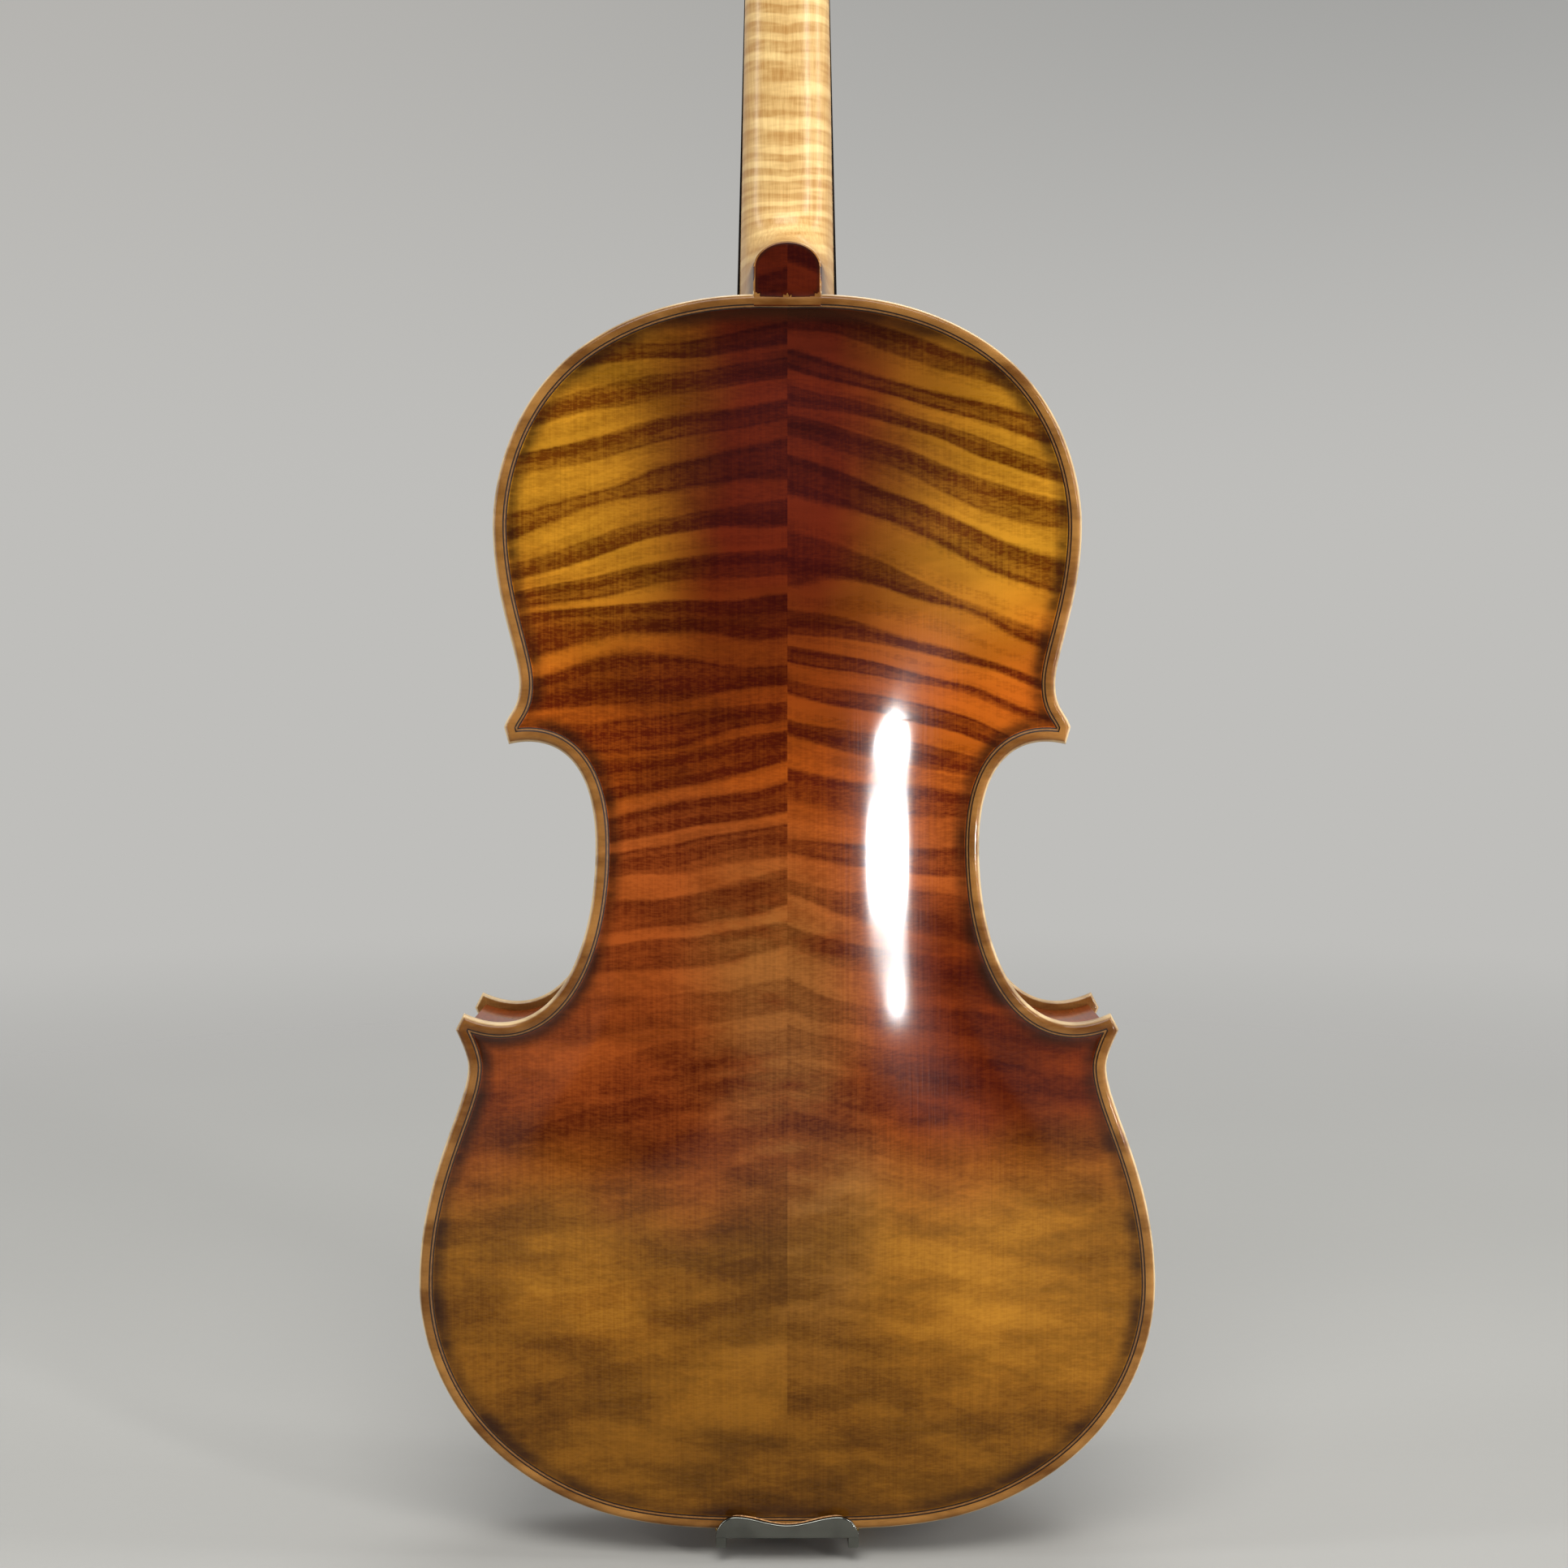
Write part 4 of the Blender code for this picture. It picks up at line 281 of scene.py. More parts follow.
def step(tree, value, low, high, start=0.0, end=1.0):
    """A soft step of a value from start to end between two of its values."""
    made = node(tree, "MapRange", {"Value": value, "From Min": low, "From Max": high,
                                   "To Min": start, "To Max": end},
                interpolation_type="SMOOTHSTEP")
    return made.outputs["Result"]


def mix(tree, share, first, second, blend="MIX"):
    made = node(tree, "Mix", {0: share, 6: first, 7: second}, data_type="RGBA", blend_type=blend)
    return made.outputs[2]


def noise(tree, place, scale, detail=2.0, seed=0.0, rough=0.5):
    """Noise stretched by a scale for each axis, in repeats per metre."""
    vector = node(tree, "Mapping", {"Vector": place, "Scale": scale, "Location": (seed, seed * 2, 0)})
    made = node(tree, "TexNoise", {"Vector": vector.outputs[0], "Scale": 1.0, "Detail": detail,
                                   "Roughness": rough})
    return made.outputs["Fac"]


def tone(red, green, blue):
    """A colour given as it looks, 0 to 255, as linear values."""
    linear = [v / 3294.6 if v < 10.31 else ((v / 255 + 0.055) / 1.055) ** 2.4
              for v in (red, green, blue)]
    return (*linear, 1)


def group(name, inputs, outputs):
    """A node group with named sockets, and its inner ends."""
    tree = bpy.data.node_groups.new(name, "ShaderNodeTree")
    for in_out, sockets in (("INPUT", inputs), ("OUTPUT", outputs)):
        for title, kind, *start in sockets:
            socket = tree.interface.new_socket(title, in_out=in_out, socket_type="NodeSocket" + kind)
            if start:
                socket.default_value = start[0]
    return tree, tree.nodes.new("NodeGroupInput").outputs, tree.nodes.new("NodeGroupOutput").inputs


def used(tree, inner, inputs):
    made = node(tree, "Group", node_tree=inner)
    for key, value in inputs.items():
        if isinstance(value, bpy.types.NodeSocket):
            tree.links.new(value, made.inputs[key])
        else:
            made.inputs[key].default_value = value
    return made.outputs


def finish(name, **plain):
    """A material, its tree, its shader and its place in object coordinates."""
    made = bpy.data.materials.new(name)
    made.use_nodes = True
    tree = made.node_tree
    shader = tree.nodes["Principled BSDF"]
    for key, value in plain.items():
        shader.inputs[key.replace("_", " ")].default_value = value
    place = node(tree, "TexCoord").outputs["Object"]
    return made, tree, shader, place


def lay(tree, shader, colour, roughness, height=None, depth=0.0001):
    """Links a finish to its shader, with its relief given in metres."""
    tree.links.new(colour, shader.inputs["Base Color"])
    tree.links.new(roughness, shader.inputs["Roughness"])
    if height is not None:
        bump = node(tree, "Bump", {"Height": height, "Distance": depth, "Strength": 1.0})
        tree.links.new(bump.outputs[0], shader.inputs["Normal"])


# Shared effects

FLAMES_PER_METRE = 66.0


def flame_group():
    """The maple's flames: crisp bands that swell and fade, fine ones between, and broad ones."""
    tree, given, put = group("flames", [("Place", "Vector"), ("Slant", "Float", 0.24),
                                        ("Shift", "Float", 0.0), ("Light", "Float", 1.62)],
                             [("Bands", "Float"), ("Fine", "Float"), ("Broad", "Float")])
    apart = node(tree, "SeparateXYZ", {0: given["Place"]}).outputs
    across = calc(tree, "ABSOLUTE", apart["X"])
    waver = noise(tree, given["Place"], (10, 10, 18), 2.0)
    level = calc(tree, "MULTIPLY_ADD", across, given["Slant"], apart["Z"])
    level = calc(tree, "MULTIPLY_ADD", waver, 0.018, level)
    level = calc(tree, "ADD", level, given["Shift"])
    sidle = calc(tree, "MULTIPLY", given["Shift"], 900.0)
    place = node(tree, "CombineXYZ", {0: across, 1: sidle, 2: level}).outputs[0]
    drift = noise(tree, place, (6, 1, 19), 1.5, 0.3)
    turns = calc(tree, "MULTIPLY_ADD", drift, 2.6, calc(tree, "MULTIPLY", level, FLAMES_PER_METRE))
    for title, share, seed, soft in (("Bands", 1.0, 2.2, 0.30), ("Fine", 2.3, 4.1, 0.45)):
        wave = calc(tree, "SINE", calc(tree, "MULTIPLY", turns, 2 * math.pi * share))
        room = noise(tree, place, (12, 1, 30 * share), 2.0, seed)
        wave = calc(tree, "MULTIPLY_ADD", room, -3.6, calc(tree, "ADD", wave, given["Light"]))
        tree.links.new(step(tree, wave, -soft, soft), put[title])
    broad = noise(tree, place, (10, 1, 24), 3.0, 7.7)
    tree.links.new(step(tree, broad, 0.34, 0.68), put["Broad"])
    return tree


def grain_group():
    """Fine hair lines up the wood, short flecks across it and pores."""
    tree, given, put = group("grain", [("Place", "Vector")],
                             [("Lines", "Float"), ("Flecks", "Float"), ("Mottle", "Float")])
    lines = noise(tree, given["Place"], (1150, 60, 26), 3.0, 1.7, 0.6)
    tree.links.new(step(tree, lines, 0.36, 0.64), put["Lines"])
    flecks = noise(tree, given["Place"], (420, 200, 1500), 2.0, 3.1, 0.6)
    tree.links.new(step(tree, flecks, 0.34, 0.66), put["Flecks"])
    mottle = noise(tree, given["Place"], (24, 40, 72), 5.0, 5.9, 0.60)
    tree.links.new(step(tree, mottle, 0.30, 0.70), put["Mottle"])
    return tree


def varnish_group():
    """The antiqued varnish over a figure that runs from 0, dark, to 1, light."""
    tree, given, put = group(
        "antique varnish",
        [("Place", "Vector"), ("Figure", "Float"), ("Mottle", "Float"), ("Inset", "Float", 0.05),
         ("Centre wear", "Float", 1.0), ("Red", "Float", 0.6)],
        [("Color", "Color"), ("Roughness", "Float"), ("Gloss", "Float")])
    drift = node(tree, "TexNoise", {"Vector": given["Place"], "Scale": 11.0, "Detail": 4.0})
    shift = node(tree, "VectorMath", {0: drift.outputs["Color"], 1: (0.5, 0.5, 0.5)},
                 operation="SUBTRACT").outputs[0]
    place = node(tree, "VectorMath", {0: shift, 1: (0.06, 0, 0.06), 2: given["Place"]},
                 operation="MULTIPLY_ADD").outputs[0]
    apart = node(tree, "SeparateXYZ", {0: place}).outputs
    across, up = calc(tree, "ABSOLUTE", apart["X"]), apart["Z"]
    figure, mottle, inset = given["Figure"], given["Mottle"], given["Inset"]

    def wood(dark, light):
        return mix(tree, figure, tone(*dark), tone(*light))

    def both(*shares):
        made = shares[0]
        for share in shares[1:]:
            made = calc(tree, "MULTIPLY", made, share)
        return made

    colour = mix(tree, step(tree, up, 0.284, 0.338), wood((92, 28, 3), (186, 92, 20)),
                 wood((98, 48, 3), (194, 134, 32)))
    colour = mix(tree, step(tree, up, 0.268, 0.238), colour, wood((90, 29, 5), (172, 86, 31)))
    crown = both(step(tree, across, 0.076, 0.014), step(tree, up, 0.225, 0.330, 0.25, 1.0))
    colour = mix(tree, crown, colour, wood((50, 4, 1), (92, 27, 5)))
    red = both(step(tree, up, 0.112, 0.146), step(tree, up, 0.240, 0.195),
               step(tree, across, 0.014, 0.052), given["Red"])
    colour = mix(tree, red, colour, wood((66, 12, 2), (122, 48, 9)))
    colour = mix(tree, step(tree, up, 0.160, 0.105), colour, wood((90, 50, 4), (148, 96, 22)))
    away = node(tree, "CombineXYZ", {0: calc(tree, "MULTIPLY_ADD", across, 20.0, -1.30),
                                     1: calc(tree, "MULTIPLY_ADD", up, 30.0, -2.70)})
    away = node(tree, "VectorMath", {0: away.outputs[0]}, operation="LENGTH").outputs["Value"]
    colour = mix(tree, both(step(tree, away, 1.25, 0.0), 0.75), colour, wood((128, 74, 4), (186, 126, 34)))
    strip = both(step(tree, up, 0.262, 0.205), step(tree, up, 0.040, 0.120),
                 step(tree, across, 0.038, 0.004), step(tree, mottle, 0.10, 0.80, 0.25, 1.0),
                 given["Centre wear"])
    colour = mix(tree, both(strip, 0.62), colour, wood((88, 52, 16), (142, 98, 44)))
    tint = calc(tree, "ADD", step(tree, mottle, 0.0, 1.0, 0.74, 1.02),
                step(tree, up, 0.384, 0.402, 0.0, -0.26))
    tint = calc(tree, "ADD", tint, step(tree, up, 0.060, 0.024, 0.0, -0.24))
    shade = node(tree, "CombineXYZ", {0: tint, 1: tint, 2: tint}).outputs[0]
    colour = mix(tree, 1.0, colour, shade, "MULTIPLY")
    channel = both(step(tree, inset, 0.0046, 0.0052), step(tree, inset, 0.0105, 0.0056),
                   step(tree, mottle, 0.0, 1.0, 0.90, 0.45))
    colour = mix(tree, channel, colour, tone(40, 19, 7))
    rim = step(tree, inset, 0.0040, 0.0035)
    tan = mix(tree, mottle, tone(92, 54, 20), tone(158, 112, 58))
    colour = mix(tree, both(rim, 0.92), colour, tan)
    # Worn wood at the outermost edge, paled further into a painted highlight: the pale line stands in for light
    # caught on the rounded edge.
    worn_edge_and_highlight = both(step(tree, inset, 0.0010, 0.0004), step(tree, mottle, 0.0, 0.7, 0.40, 0.92))
    colour = mix(tree, worn_edge_and_highlight, colour, tone(214, 188, 144))
    tree.links.new(colour, put["Color"])
    rough = calc(tree, "MULTIPLY_ADD", mottle, 0.10, 0.26)
    rough = calc(tree, "MULTIPLY_ADD", rim, 0.06, rough)
    tree.links.new(calc(tree, "MULTIPLY_ADD", strip, 0.08, rough), put["Roughness"])
    gloss = both(step(tree, up, 0.170, 0.060, 0.62, 0.34), step(tree, rim, 0.0, 1.0, 1.0, 0.6))
    tree.links.new(gloss, put["Gloss"])
    return tree


FLAMES, GRAIN, ANTIQUE = flame_group(), grain_group(), varnish_group()


# Finishes

def maple_varnish(name, slant, shift, edged=True, wear=1.0, red=0.6, light=1.62):
    """Flamed maple under the antique varnish."""
    made, tree, shader, place = finish(name, Specular_IOR_Level=0.05, Coat_Roughness=0.08,
                                       Coat_IOR=1.5)
    flames = used(tree, FLAMES, {"Place": place, "Slant": slant, "Shift": shift, "Light": light})
    grain = used(tree, GRAIN, {"Place": place})
    up = node(tree, "SeparateXYZ", {0: place}).outputs["Z"]
    sharp = calc(tree, "MULTIPLY_ADD", flames["Bands"], 0.70, calc(tree, "MULTIPLY", flames["Fine"], 0.20))
    sharp = calc(tree, "MULTIPLY", sharp, step(tree, flames["Broad"], 0.0, 1.0, 0.74, 1.12))
    soft = calc(tree, "MULTIPLY_ADD", flames["Broad"], 0.42, calc(tree, "MULTIPLY", flames["Bands"], 0.12))
    soft = calc(tree, "MULTIPLY_ADD", grain["Mottle"], 0.34, soft)
    below = step(tree, up, 0.275, 0.125)
    figure = node(tree, "Mix", {0: below, 2: sharp, 3: soft}).outputs[0]
    figure = calc(tree, "MULTIPLY_ADD", grain["Lines"], 0.15, calc(tree, "SUBTRACT", figure, 0.05))
    figure = calc(tree, "MULTIPLY_ADD", grain["Flecks"], 0.24, calc(tree, "SUBTRACT", figure, 0.06))
    edge = {"Inset": node(tree, "Attribute", attribute_name="inset").outputs["Fac"]} if edged else {}
    coat = used(tree, ANTIQUE, {"Place": place, "Figure": figure, "Mottle": grain["Mottle"],
                                "Centre wear": wear, "Red": red, **edge})
    tree.links.new(coat["Gloss"], shader.inputs["Coat Weight"])
    relief = calc(tree, "MULTIPLY_ADD", grain["Lines"], 0.5, calc(tree, "MULTIPLY", figure, 0.3))
    lay(tree, shader, coat["Color"], coat["Roughness"], relief, 0.00002)
    return made


def spruce_varnish():
    """Straight spruce under the same varnish, its darker late wood standing proud."""
    made, tree, shader, place = finish("varnished spruce", Specular_IOR_Level=0.05,
                                       Coat_Roughness=0.09, Coat_IOR=1.5)
    grain = used(tree, GRAIN, {"Place": place})
    apart = node(tree, "SeparateXYZ", {0: place}).outputs
    across = calc(tree, "ABSOLUTE", apart["X"])
    waver = noise(tree, place, (30, 10, 3), 2.0, 2.2)
    line = calc(tree, "MULTIPLY_ADD", waver, 0.0016, across)
    years = calc(tree, "FRACT", calc(tree, "MULTIPLY", line, 950.0))
    late = calc(tree, "MULTIPLY", step(tree, years, 0.50, 0.92), step(tree, years, 1.0, 0.95))
    figure = calc(tree, "SUBTRACT", calc(tree, "MULTIPLY_ADD", grain["Lines"], 0.10, 0.72),
                  calc(tree, "MULTIPLY", late, 0.42))
    figure = calc(tree, "MULTIPLY_ADD", grain["Flecks"], 0.08, figure)
    inset = node(tree, "Attribute", attribute_name="inset").outputs["Fac"]
    coat = used(tree, ANTIQUE, {"Place": place, "Figure": figure, "Mottle": grain["Mottle"],
                                "Inset": inset, "Centre wear": 0.5})
    tree.links.new(coat["Gloss"], shader.inputs["Coat Weight"])
    lay(tree, shader, coat["Color"], coat["Roughness"], late, 0.00003)
    return made


def bare_wood(name, light, dark, scale, rough=0.5, flames=0.0, flecks=0.25):
    """Plain wood: fine lines up its length, with flames and flecks as it has them."""
    made, tree, shader, place = finish(name)
    lines = noise(tree, place, scale, 4.0, 2.3, 0.65)
    spots = noise(tree, place, (scale[0] * 0.4, scale[1], scale[2] * 20), 2.0, 6.1)
    bands = used(tree, FLAMES, {"Place": place, "Slant": 0.12, "Shift": 0.4})
    figure = calc(tree, "MULTIPLY_ADD", bands["Bands"], flames, step(tree, lines, 0.30, 0.70, 0.1, 0.9))
    figure = calc(tree, "MULTIPLY_ADD", step(tree, spots, 0.40, 0.60), flecks, figure)
    colour = mix(tree, calc(tree, "DIVIDE", figure, 1 + flames + flecks), dark, light)
    lay(tree, shader, colour, calc(tree, "MULTIPLY_ADD", lines, 0.15, rough - 0.07), figure, 0.00002)
    return made


def neck_wood():
    """The worn unvarnished neck, stained grey-brown where it meets the heel and the head."""
    made, tree, shader, place = finish("oiled neck maple", Specular_IOR_Level=0.1,
                                       Coat_Weight=0.5, Coat_Roughness=0.28)
    apart = node(tree, "SeparateXYZ", {0: place}).outputs
    flames = used(tree, FLAMES, {"Place": place, "Slant": -0.10, "Shift": 0.83})
    lines = noise(tree, place, (1500, 900, 9), 4.0, 2.3, 0.65)
    curl = noise(tree, place, (60, 30, 330), 3.0, 8.2)
    figure = calc(tree, "ADD", calc(tree, "MULTIPLY", flames["Fine"], 0.34),
                  calc(tree, "MULTIPLY", step(tree, curl, 0.38, 0.62), 0.30))
    figure = calc(tree, "MULTIPLY_ADD", step(tree, lines, 0.3, 0.7), 0.3, figure)
    colour = mix(tree, figure, tone(184, 134, 70), tone(250, 216, 148))
    side = calc(tree, "ABSOLUTE", apart["X"])
    worn = noise(tree, place, (70, 70, 40), 4.0, 3.3)
    up = calc(tree, "MULTIPLY_ADD", worn, 0.006, apart["Z"])
    past = calc(tree, "MAXIMUM", 0.0, calc(tree, "SUBTRACT", up, BODY_TOP + BUTTON_HEIGHT * 0.6))
    round_button = node(tree, "CombineXYZ", {0: side, 1: past}).outputs[0]
    away = node(tree, "VectorMath", {0: round_button}, operation="LENGTH").outputs["Value"]
    head = step(tree, up, HEAD_START - 0.001, HEAD_START + 0.004)
    stain = step(tree, away, BUTTON_WIDTH / 2 + 0.010, BUTTON_WIDTH / 2 + 0.001)
    stain = calc(tree, "MULTIPLY", stain, step(tree, up, BODY_TOP + 0.042, BODY_TOP + 0.020))
    colour = mix(tree, calc(tree, "MULTIPLY", stain, 0.62), colour, tone(124, 78, 40))
    # Darker in a narrow band round the button, up to 30 mm over the body's top.
    dark_band_round_button = calc(tree, "MULTIPLY", step(tree, away, BUTTON_WIDTH / 2 + 0.0030, BUTTON_WIDTH / 2),
                step(tree, up, BODY_TOP + 0.030, BODY_TOP + 0.020))
    colour = mix(tree, calc(tree, "MULTIPLY", dark_band_round_button, 0.85), colour, tone(60, 30, 14))
    grime = calc(tree, "MULTIPLY", step(tree, side, 0.0105, 0.0150), 0.30)
    colour = mix(tree, grime, colour, tone(150, 104, 60))
    varnish = mix(tree, figure, tone(84, 34, 10), tone(158, 92, 34))
    colour = mix(tree, head, colour, varnish)
    rough = calc(tree, "MULTIPLY_ADD", worn, 0.15, 0.36)
    lay(tree, shader, colour, rough, figure, 0.00002)
    return made


def inlay():
    """Two black strips with a pale one between them, across the piece's own UV map."""
    made, tree, shader, place = finish("purfling strips")
    uv = node(tree, "UVMap").outputs[0]
    across = node(tree, "SeparateXYZ", {0: uv}).outputs["X"]
    off = calc(tree, "ABSOLUTE", calc(tree, "SUBTRACT", across, 0.5))
    core = step(tree, off, 0.17, 0.12)
    fibres = noise(tree, place, (900, 900, 900), 3.0)
    pale = mix(tree, fibres, tone(92, 56, 22), tone(150, 104, 52))
    black = mix(tree, fibres, tone(16, 8, 4), tone(40, 22, 12))
    colour = mix(tree, core, black, pale)
    lay(tree, shader, colour, calc(tree, "MULTIPLY_ADD", fibres, 0.15, 0.25), fibres, 0.00001)
    return made


def dark_wood(name, light=tone(44, 36, 32), dark=tone(14, 12, 11), rough=0.30):
    """Ebony: near black with faint brown streaks and a hand polish."""
    made, tree, shader, place = finish(name, Coat_Weight=0.2, Coat_Roughness=0.2)
    streaks = noise(tree, place, (260, 260, 14), 5.0, 1.1, 0.6)
    pores = noise(tree, place, (2400, 2400, 160), 2.0, 4.4)
    colour = mix(tree, step(tree, streaks, 0.40, 0.72), dark, light)
    wear = noise(tree, place, (60, 60, 60), 4.0, 8.0)
    lay(tree, shader, colour, calc(tree, "MULTIPLY_ADD", wear, 0.22, rough - 0.11),
        step(tree, pores, 0.30, 0.42), 0.00001)
    return made


def metal(name, colour, rough, scratches=(300, 300, 300)):
    """A plated metal with fine rubbing and a little haze."""
    made, tree, shader, place = finish(name, Metallic=1.0)
    haze = noise(tree, place, (90, 90, 90), 4.0, 2.0)
    rubbed = noise(tree, place, scratches, 4.0, 5.0, 0.7)
    shade = mix(tree, step(tree, haze, 0.35, 0.75), colour, tuple(v * 0.72 for v in colour[:3]) + (1,))
    lay(tree, shader, shade, calc(tree, "MULTIPLY_ADD", rubbed, 0.20, rough - 0.08), rubbed, 0.000004)
    return made


def cork():
    made, tree, shader, place = finish("cork", Specular_IOR_Level=0.2)
    cells = node(tree, "TexVoronoi", {"Vector": place, "Scale": 1400.0}).outputs["Distance"]
    flecks = noise(tree, place, (900, 900, 900), 4.0, 4.0, 0.7)
    colour = mix(tree, step(tree, flecks, 0.35, 0.55), tone(120, 76, 44), tone(206, 156, 104))
    lay(tree, shader, colour, calc(tree, "MULTIPLY_ADD", flecks, 0.2, 0.75), cells, 0.0003)
    return made


def winding(name, colour, turns, rough=0.25):
    """A close flat winding round a string or a peg, along the piece's own UV map."""
    made, tree, shader, place = finish(name, Metallic=1.0)
    uv = node(tree, "UVMap").outputs[0]
    along = node(tree, "SeparateXYZ", {0: uv}).outputs["Y"]
    wrap = calc(tree, "PINGPONG", calc(tree, "MULTIPLY", along, turns), 0.5)
    grime = noise(tree, place, (200, 200, 60), 4.0)
    # Painted shade: each turn of the winding is darkened into the groove between it and the next.
    shade = mix(tree, calc(tree, "MULTIPLY", step(tree, wrap, 0.10, 0.02), 0.7), colour,
                tuple(v * 0.3 for v in colour[:3]) + (1,))
    lay(tree, shader, shade, calc(tree, "MULTIPLY_ADD", grime, 0.2, rough - 0.1), wrap, 0.00006)
    return made


def cord_black():
    made, tree, shader, place = finish("tail cord")
    rubbed = noise(tree, place, (700, 700, 200), 3.0)
    colour = mix(tree, rubbed, tone(14, 14, 15), tone(46, 44, 44))
    lay(tree, shader, colour, calc(tree, "MULTIPLY_ADD", rubbed, 0.25, 0.30), rubbed, 0.00002)
    return made


def silk():
    """Close thread over a string's end."""
    made, tree, shader, place = finish("silk thread")
    uv = node(tree, "UVMap").outputs[0]
    along = node(tree, "SeparateXYZ", {0: uv}).outputs["Y"]
    wrap = calc(tree, "PINGPONG", calc(tree, "MULTIPLY", along, 90.0), 0.5)
    fluff = noise(tree, place, (900, 900, 900), 3.0)
    # The thread's own purple, darkened into the groove between turns as painted shade.
    colour = mix(tree, calc(tree, "MULTIPLY", wrap, 2.0), tone(30, 26, 44), tone(78, 66, 104))
    lay(tree, shader, colour, calc(tree, "MULTIPLY_ADD", fluff, 0.2, 0.55), wrap, 0.00005)
    return made


BACK_VARNISH = {"bass": maple_varnish("back varnish, bass", 0.27, 0.118, red=1.0, light=1.86),
                "treble": maple_varnish("back varnish, treble", 0.20, 0.0, red=0.4)}
RIB_VARNISH = maple_varnish("rib varnish", 0.0, 0.31, edged=False, wear=0.0)
BELLY_VARNISH = spruce_varnish()
PURFLING = inlay()
NECK_MAPLE = neck_wood()
EBONY = dark_wood("ebony")
POLISHED_EBONY = dark_wood("ebony, fingerboard", rough=0.24)
NICKEL = metal("nickel plate", tone(214, 212, 206), 0.14)
# Painted reflection: the foot's plating is darker than the bracket's nickel, standing in for the dark room it
# mirrors.
CHROME_PAINTED_DARK = metal("chromed foot", tone(118, 120, 114), 0.10)
GILT = metal("gilt brass", tone(212, 176, 104), 0.20)
BRIDGE_WOOD = bare_wood("bridge maple", tone(216, 176, 120), tone(160, 110, 62), (500, 500, 30),
                        0.45, flecks=0.5)
INNER_SPRUCE = bare_wood("inner spruce", tone(222, 188, 138), tone(176, 134, 84), (900, 900, 12), 0.7)
INNER_WILLOW = bare_wood("inner willow", tone(214, 184, 140), tone(172, 136, 94), (400, 400, 20), 0.7)
CORK = cork()
CORD = cord_black()
WOUND = {"C": winding("string winding, C", tone(168, 164, 158), 1700),
         "G": winding("string winding, G", tone(186, 184, 180), 1900),
         "D": winding("string winding, D", tone(198, 196, 194), 2100),
         "A": winding("string winding, A", tone(206, 206, 206), 2300)}
SILK = silk()


# Mesh making

def sheet(points, bm=None):
    """A grid whose points are moved to points[row][column], with its own UV map."""
    rows, columns = len(points), len(points[0])
    bm = bm or bmesh.new()
    if not bm.loops.layers.uv:
        bm.loops.layers.uv.new("UVMap")
    made = bmesh.ops.create_grid(
        bm, x_segments=columns - 1, y_segments=rows - 1, size=1, calc_uvs=True)
    for vert in made["verts"]:
        i = round((vert.co.x + 1) / 2 * (columns - 1))
        j = round((vert.co.y + 1) / 2 * (rows - 1))
        vert.co = points[j][i]
    return bm


def loft(sections, bm=None, caps=True):
    """A skin over closed sections with like numbers of points, capped at both ends."""
    bm = sheet([list(ring) + [ring[0]] for ring in sections], bm)
    bmesh.ops.remove_doubles(bm, verts=bm.verts, dist=1e-6)
    if caps:
        close_holes(bm)
    return bm


def close_holes(bm):
    bmesh.ops.holes_fill(bm, edges=[edge for edge in bm.edges if edge.is_boundary], sides=0)


def turned(profile, steps=64, bm=None):
    """A solid turned about Z from (radius, height) points, both ends on the axis."""
    bm = bm or bmesh.new()
    verts = [bm.verts.new((radius, 0, height)) for radius, height in profile]
    edges = [bm.edges.new(pair) for pair in zip(verts, verts[1:])]
    bmesh.ops.spin(bm, geom=verts + edges, cent=(0, 0, 0), axis=(0, 0, 1),
                   angle=2 * math.pi, steps=steps, use_merge=True)
    bmesh.ops.remove_doubles(bm, verts=bm.verts, dist=1e-7)
    bmesh.ops.dissolve_degenerate(bm, edges=bm.edges, dist=1e-8)
    return bm


def tube(points, radius, sides=20, bm=None, scales=None):
    """A round wire along a line of places, with closed ends."""
    points = [Vector(point) for point in points]
    rings = []
    across = Vector((1, 0, 0))
    for k, point in enumerate(points):
        along = (points[min(k + 1, len(points) - 1)] - points[max(k - 1, 0)]).normalized()
        across = (across - along * across.dot(along)).normalized()
        up = along.cross(across)
        size = radius * (scales[k] if scales else 1)
        rings.append([point + size * (across * math.cos(a) + up * math.sin(a))
                      for a in np.linspace(0, 2 * math.pi, sides + 1)[:-1]])
    return loft(rings, bm)


def smooth_line(points, count, closed=False):
    """An even polyline that passes smoothly through the points."""
    points = [np.array(point, float) for point in points]
    if closed:
        points = [points[-1]] + points + points[:2]
    else:
        points = [2 * points[0] - points[1]] + points + [2 * points[-1] - points[-2]]
    fine = []
    for a, b, c, d in zip(points, points[1:], points[2:], points[3:]):
        for t in np.linspace(0, 1, 12, endpoint=False):
            fine.append(0.5 * (2 * b + (c - a) * t + (2 * a - 5 * b + 4 * c - d) * t ** 2
                               + (3 * b - a - 3 * c + d) * t ** 3))
    fine.append(points[-2])
    fine = np.array(fine)
    run = lengths(fine)
    at = np.linspace(0, run[-1], count)
    return [Vector([np.interp(v, run, fine[:, k]) for k in range(fine.shape[1])]) for v in at]


def moved(bm, matrix):
    bmesh.ops.transform(bm, matrix=matrix, verts=bm.verts)
    return bm


def bevelled(bm, width, segments=2, limit=40):
    """Rounds all edges that turn by more than a limit."""
    edges = [edge for edge in bm.edges
             if len(edge.link_faces) == 2 and edge.calc_face_angle(0) > math.radians(limit)]
    bmesh.ops.bevel(bm, geom=edges, offset=width, segments=segments, profile=0.5, material=-1,
                    affect="EDGES", clamp_overlap=True)
    return bm


def plain_object(bm, name):
    mesh = bpy.data.meshes.new(name)
    bm.to_mesh(mesh)
    bm.free()
    item = bpy.data.objects.new(name, mesh)
    bpy.context.scene.collection.objects.link(item)
    return item


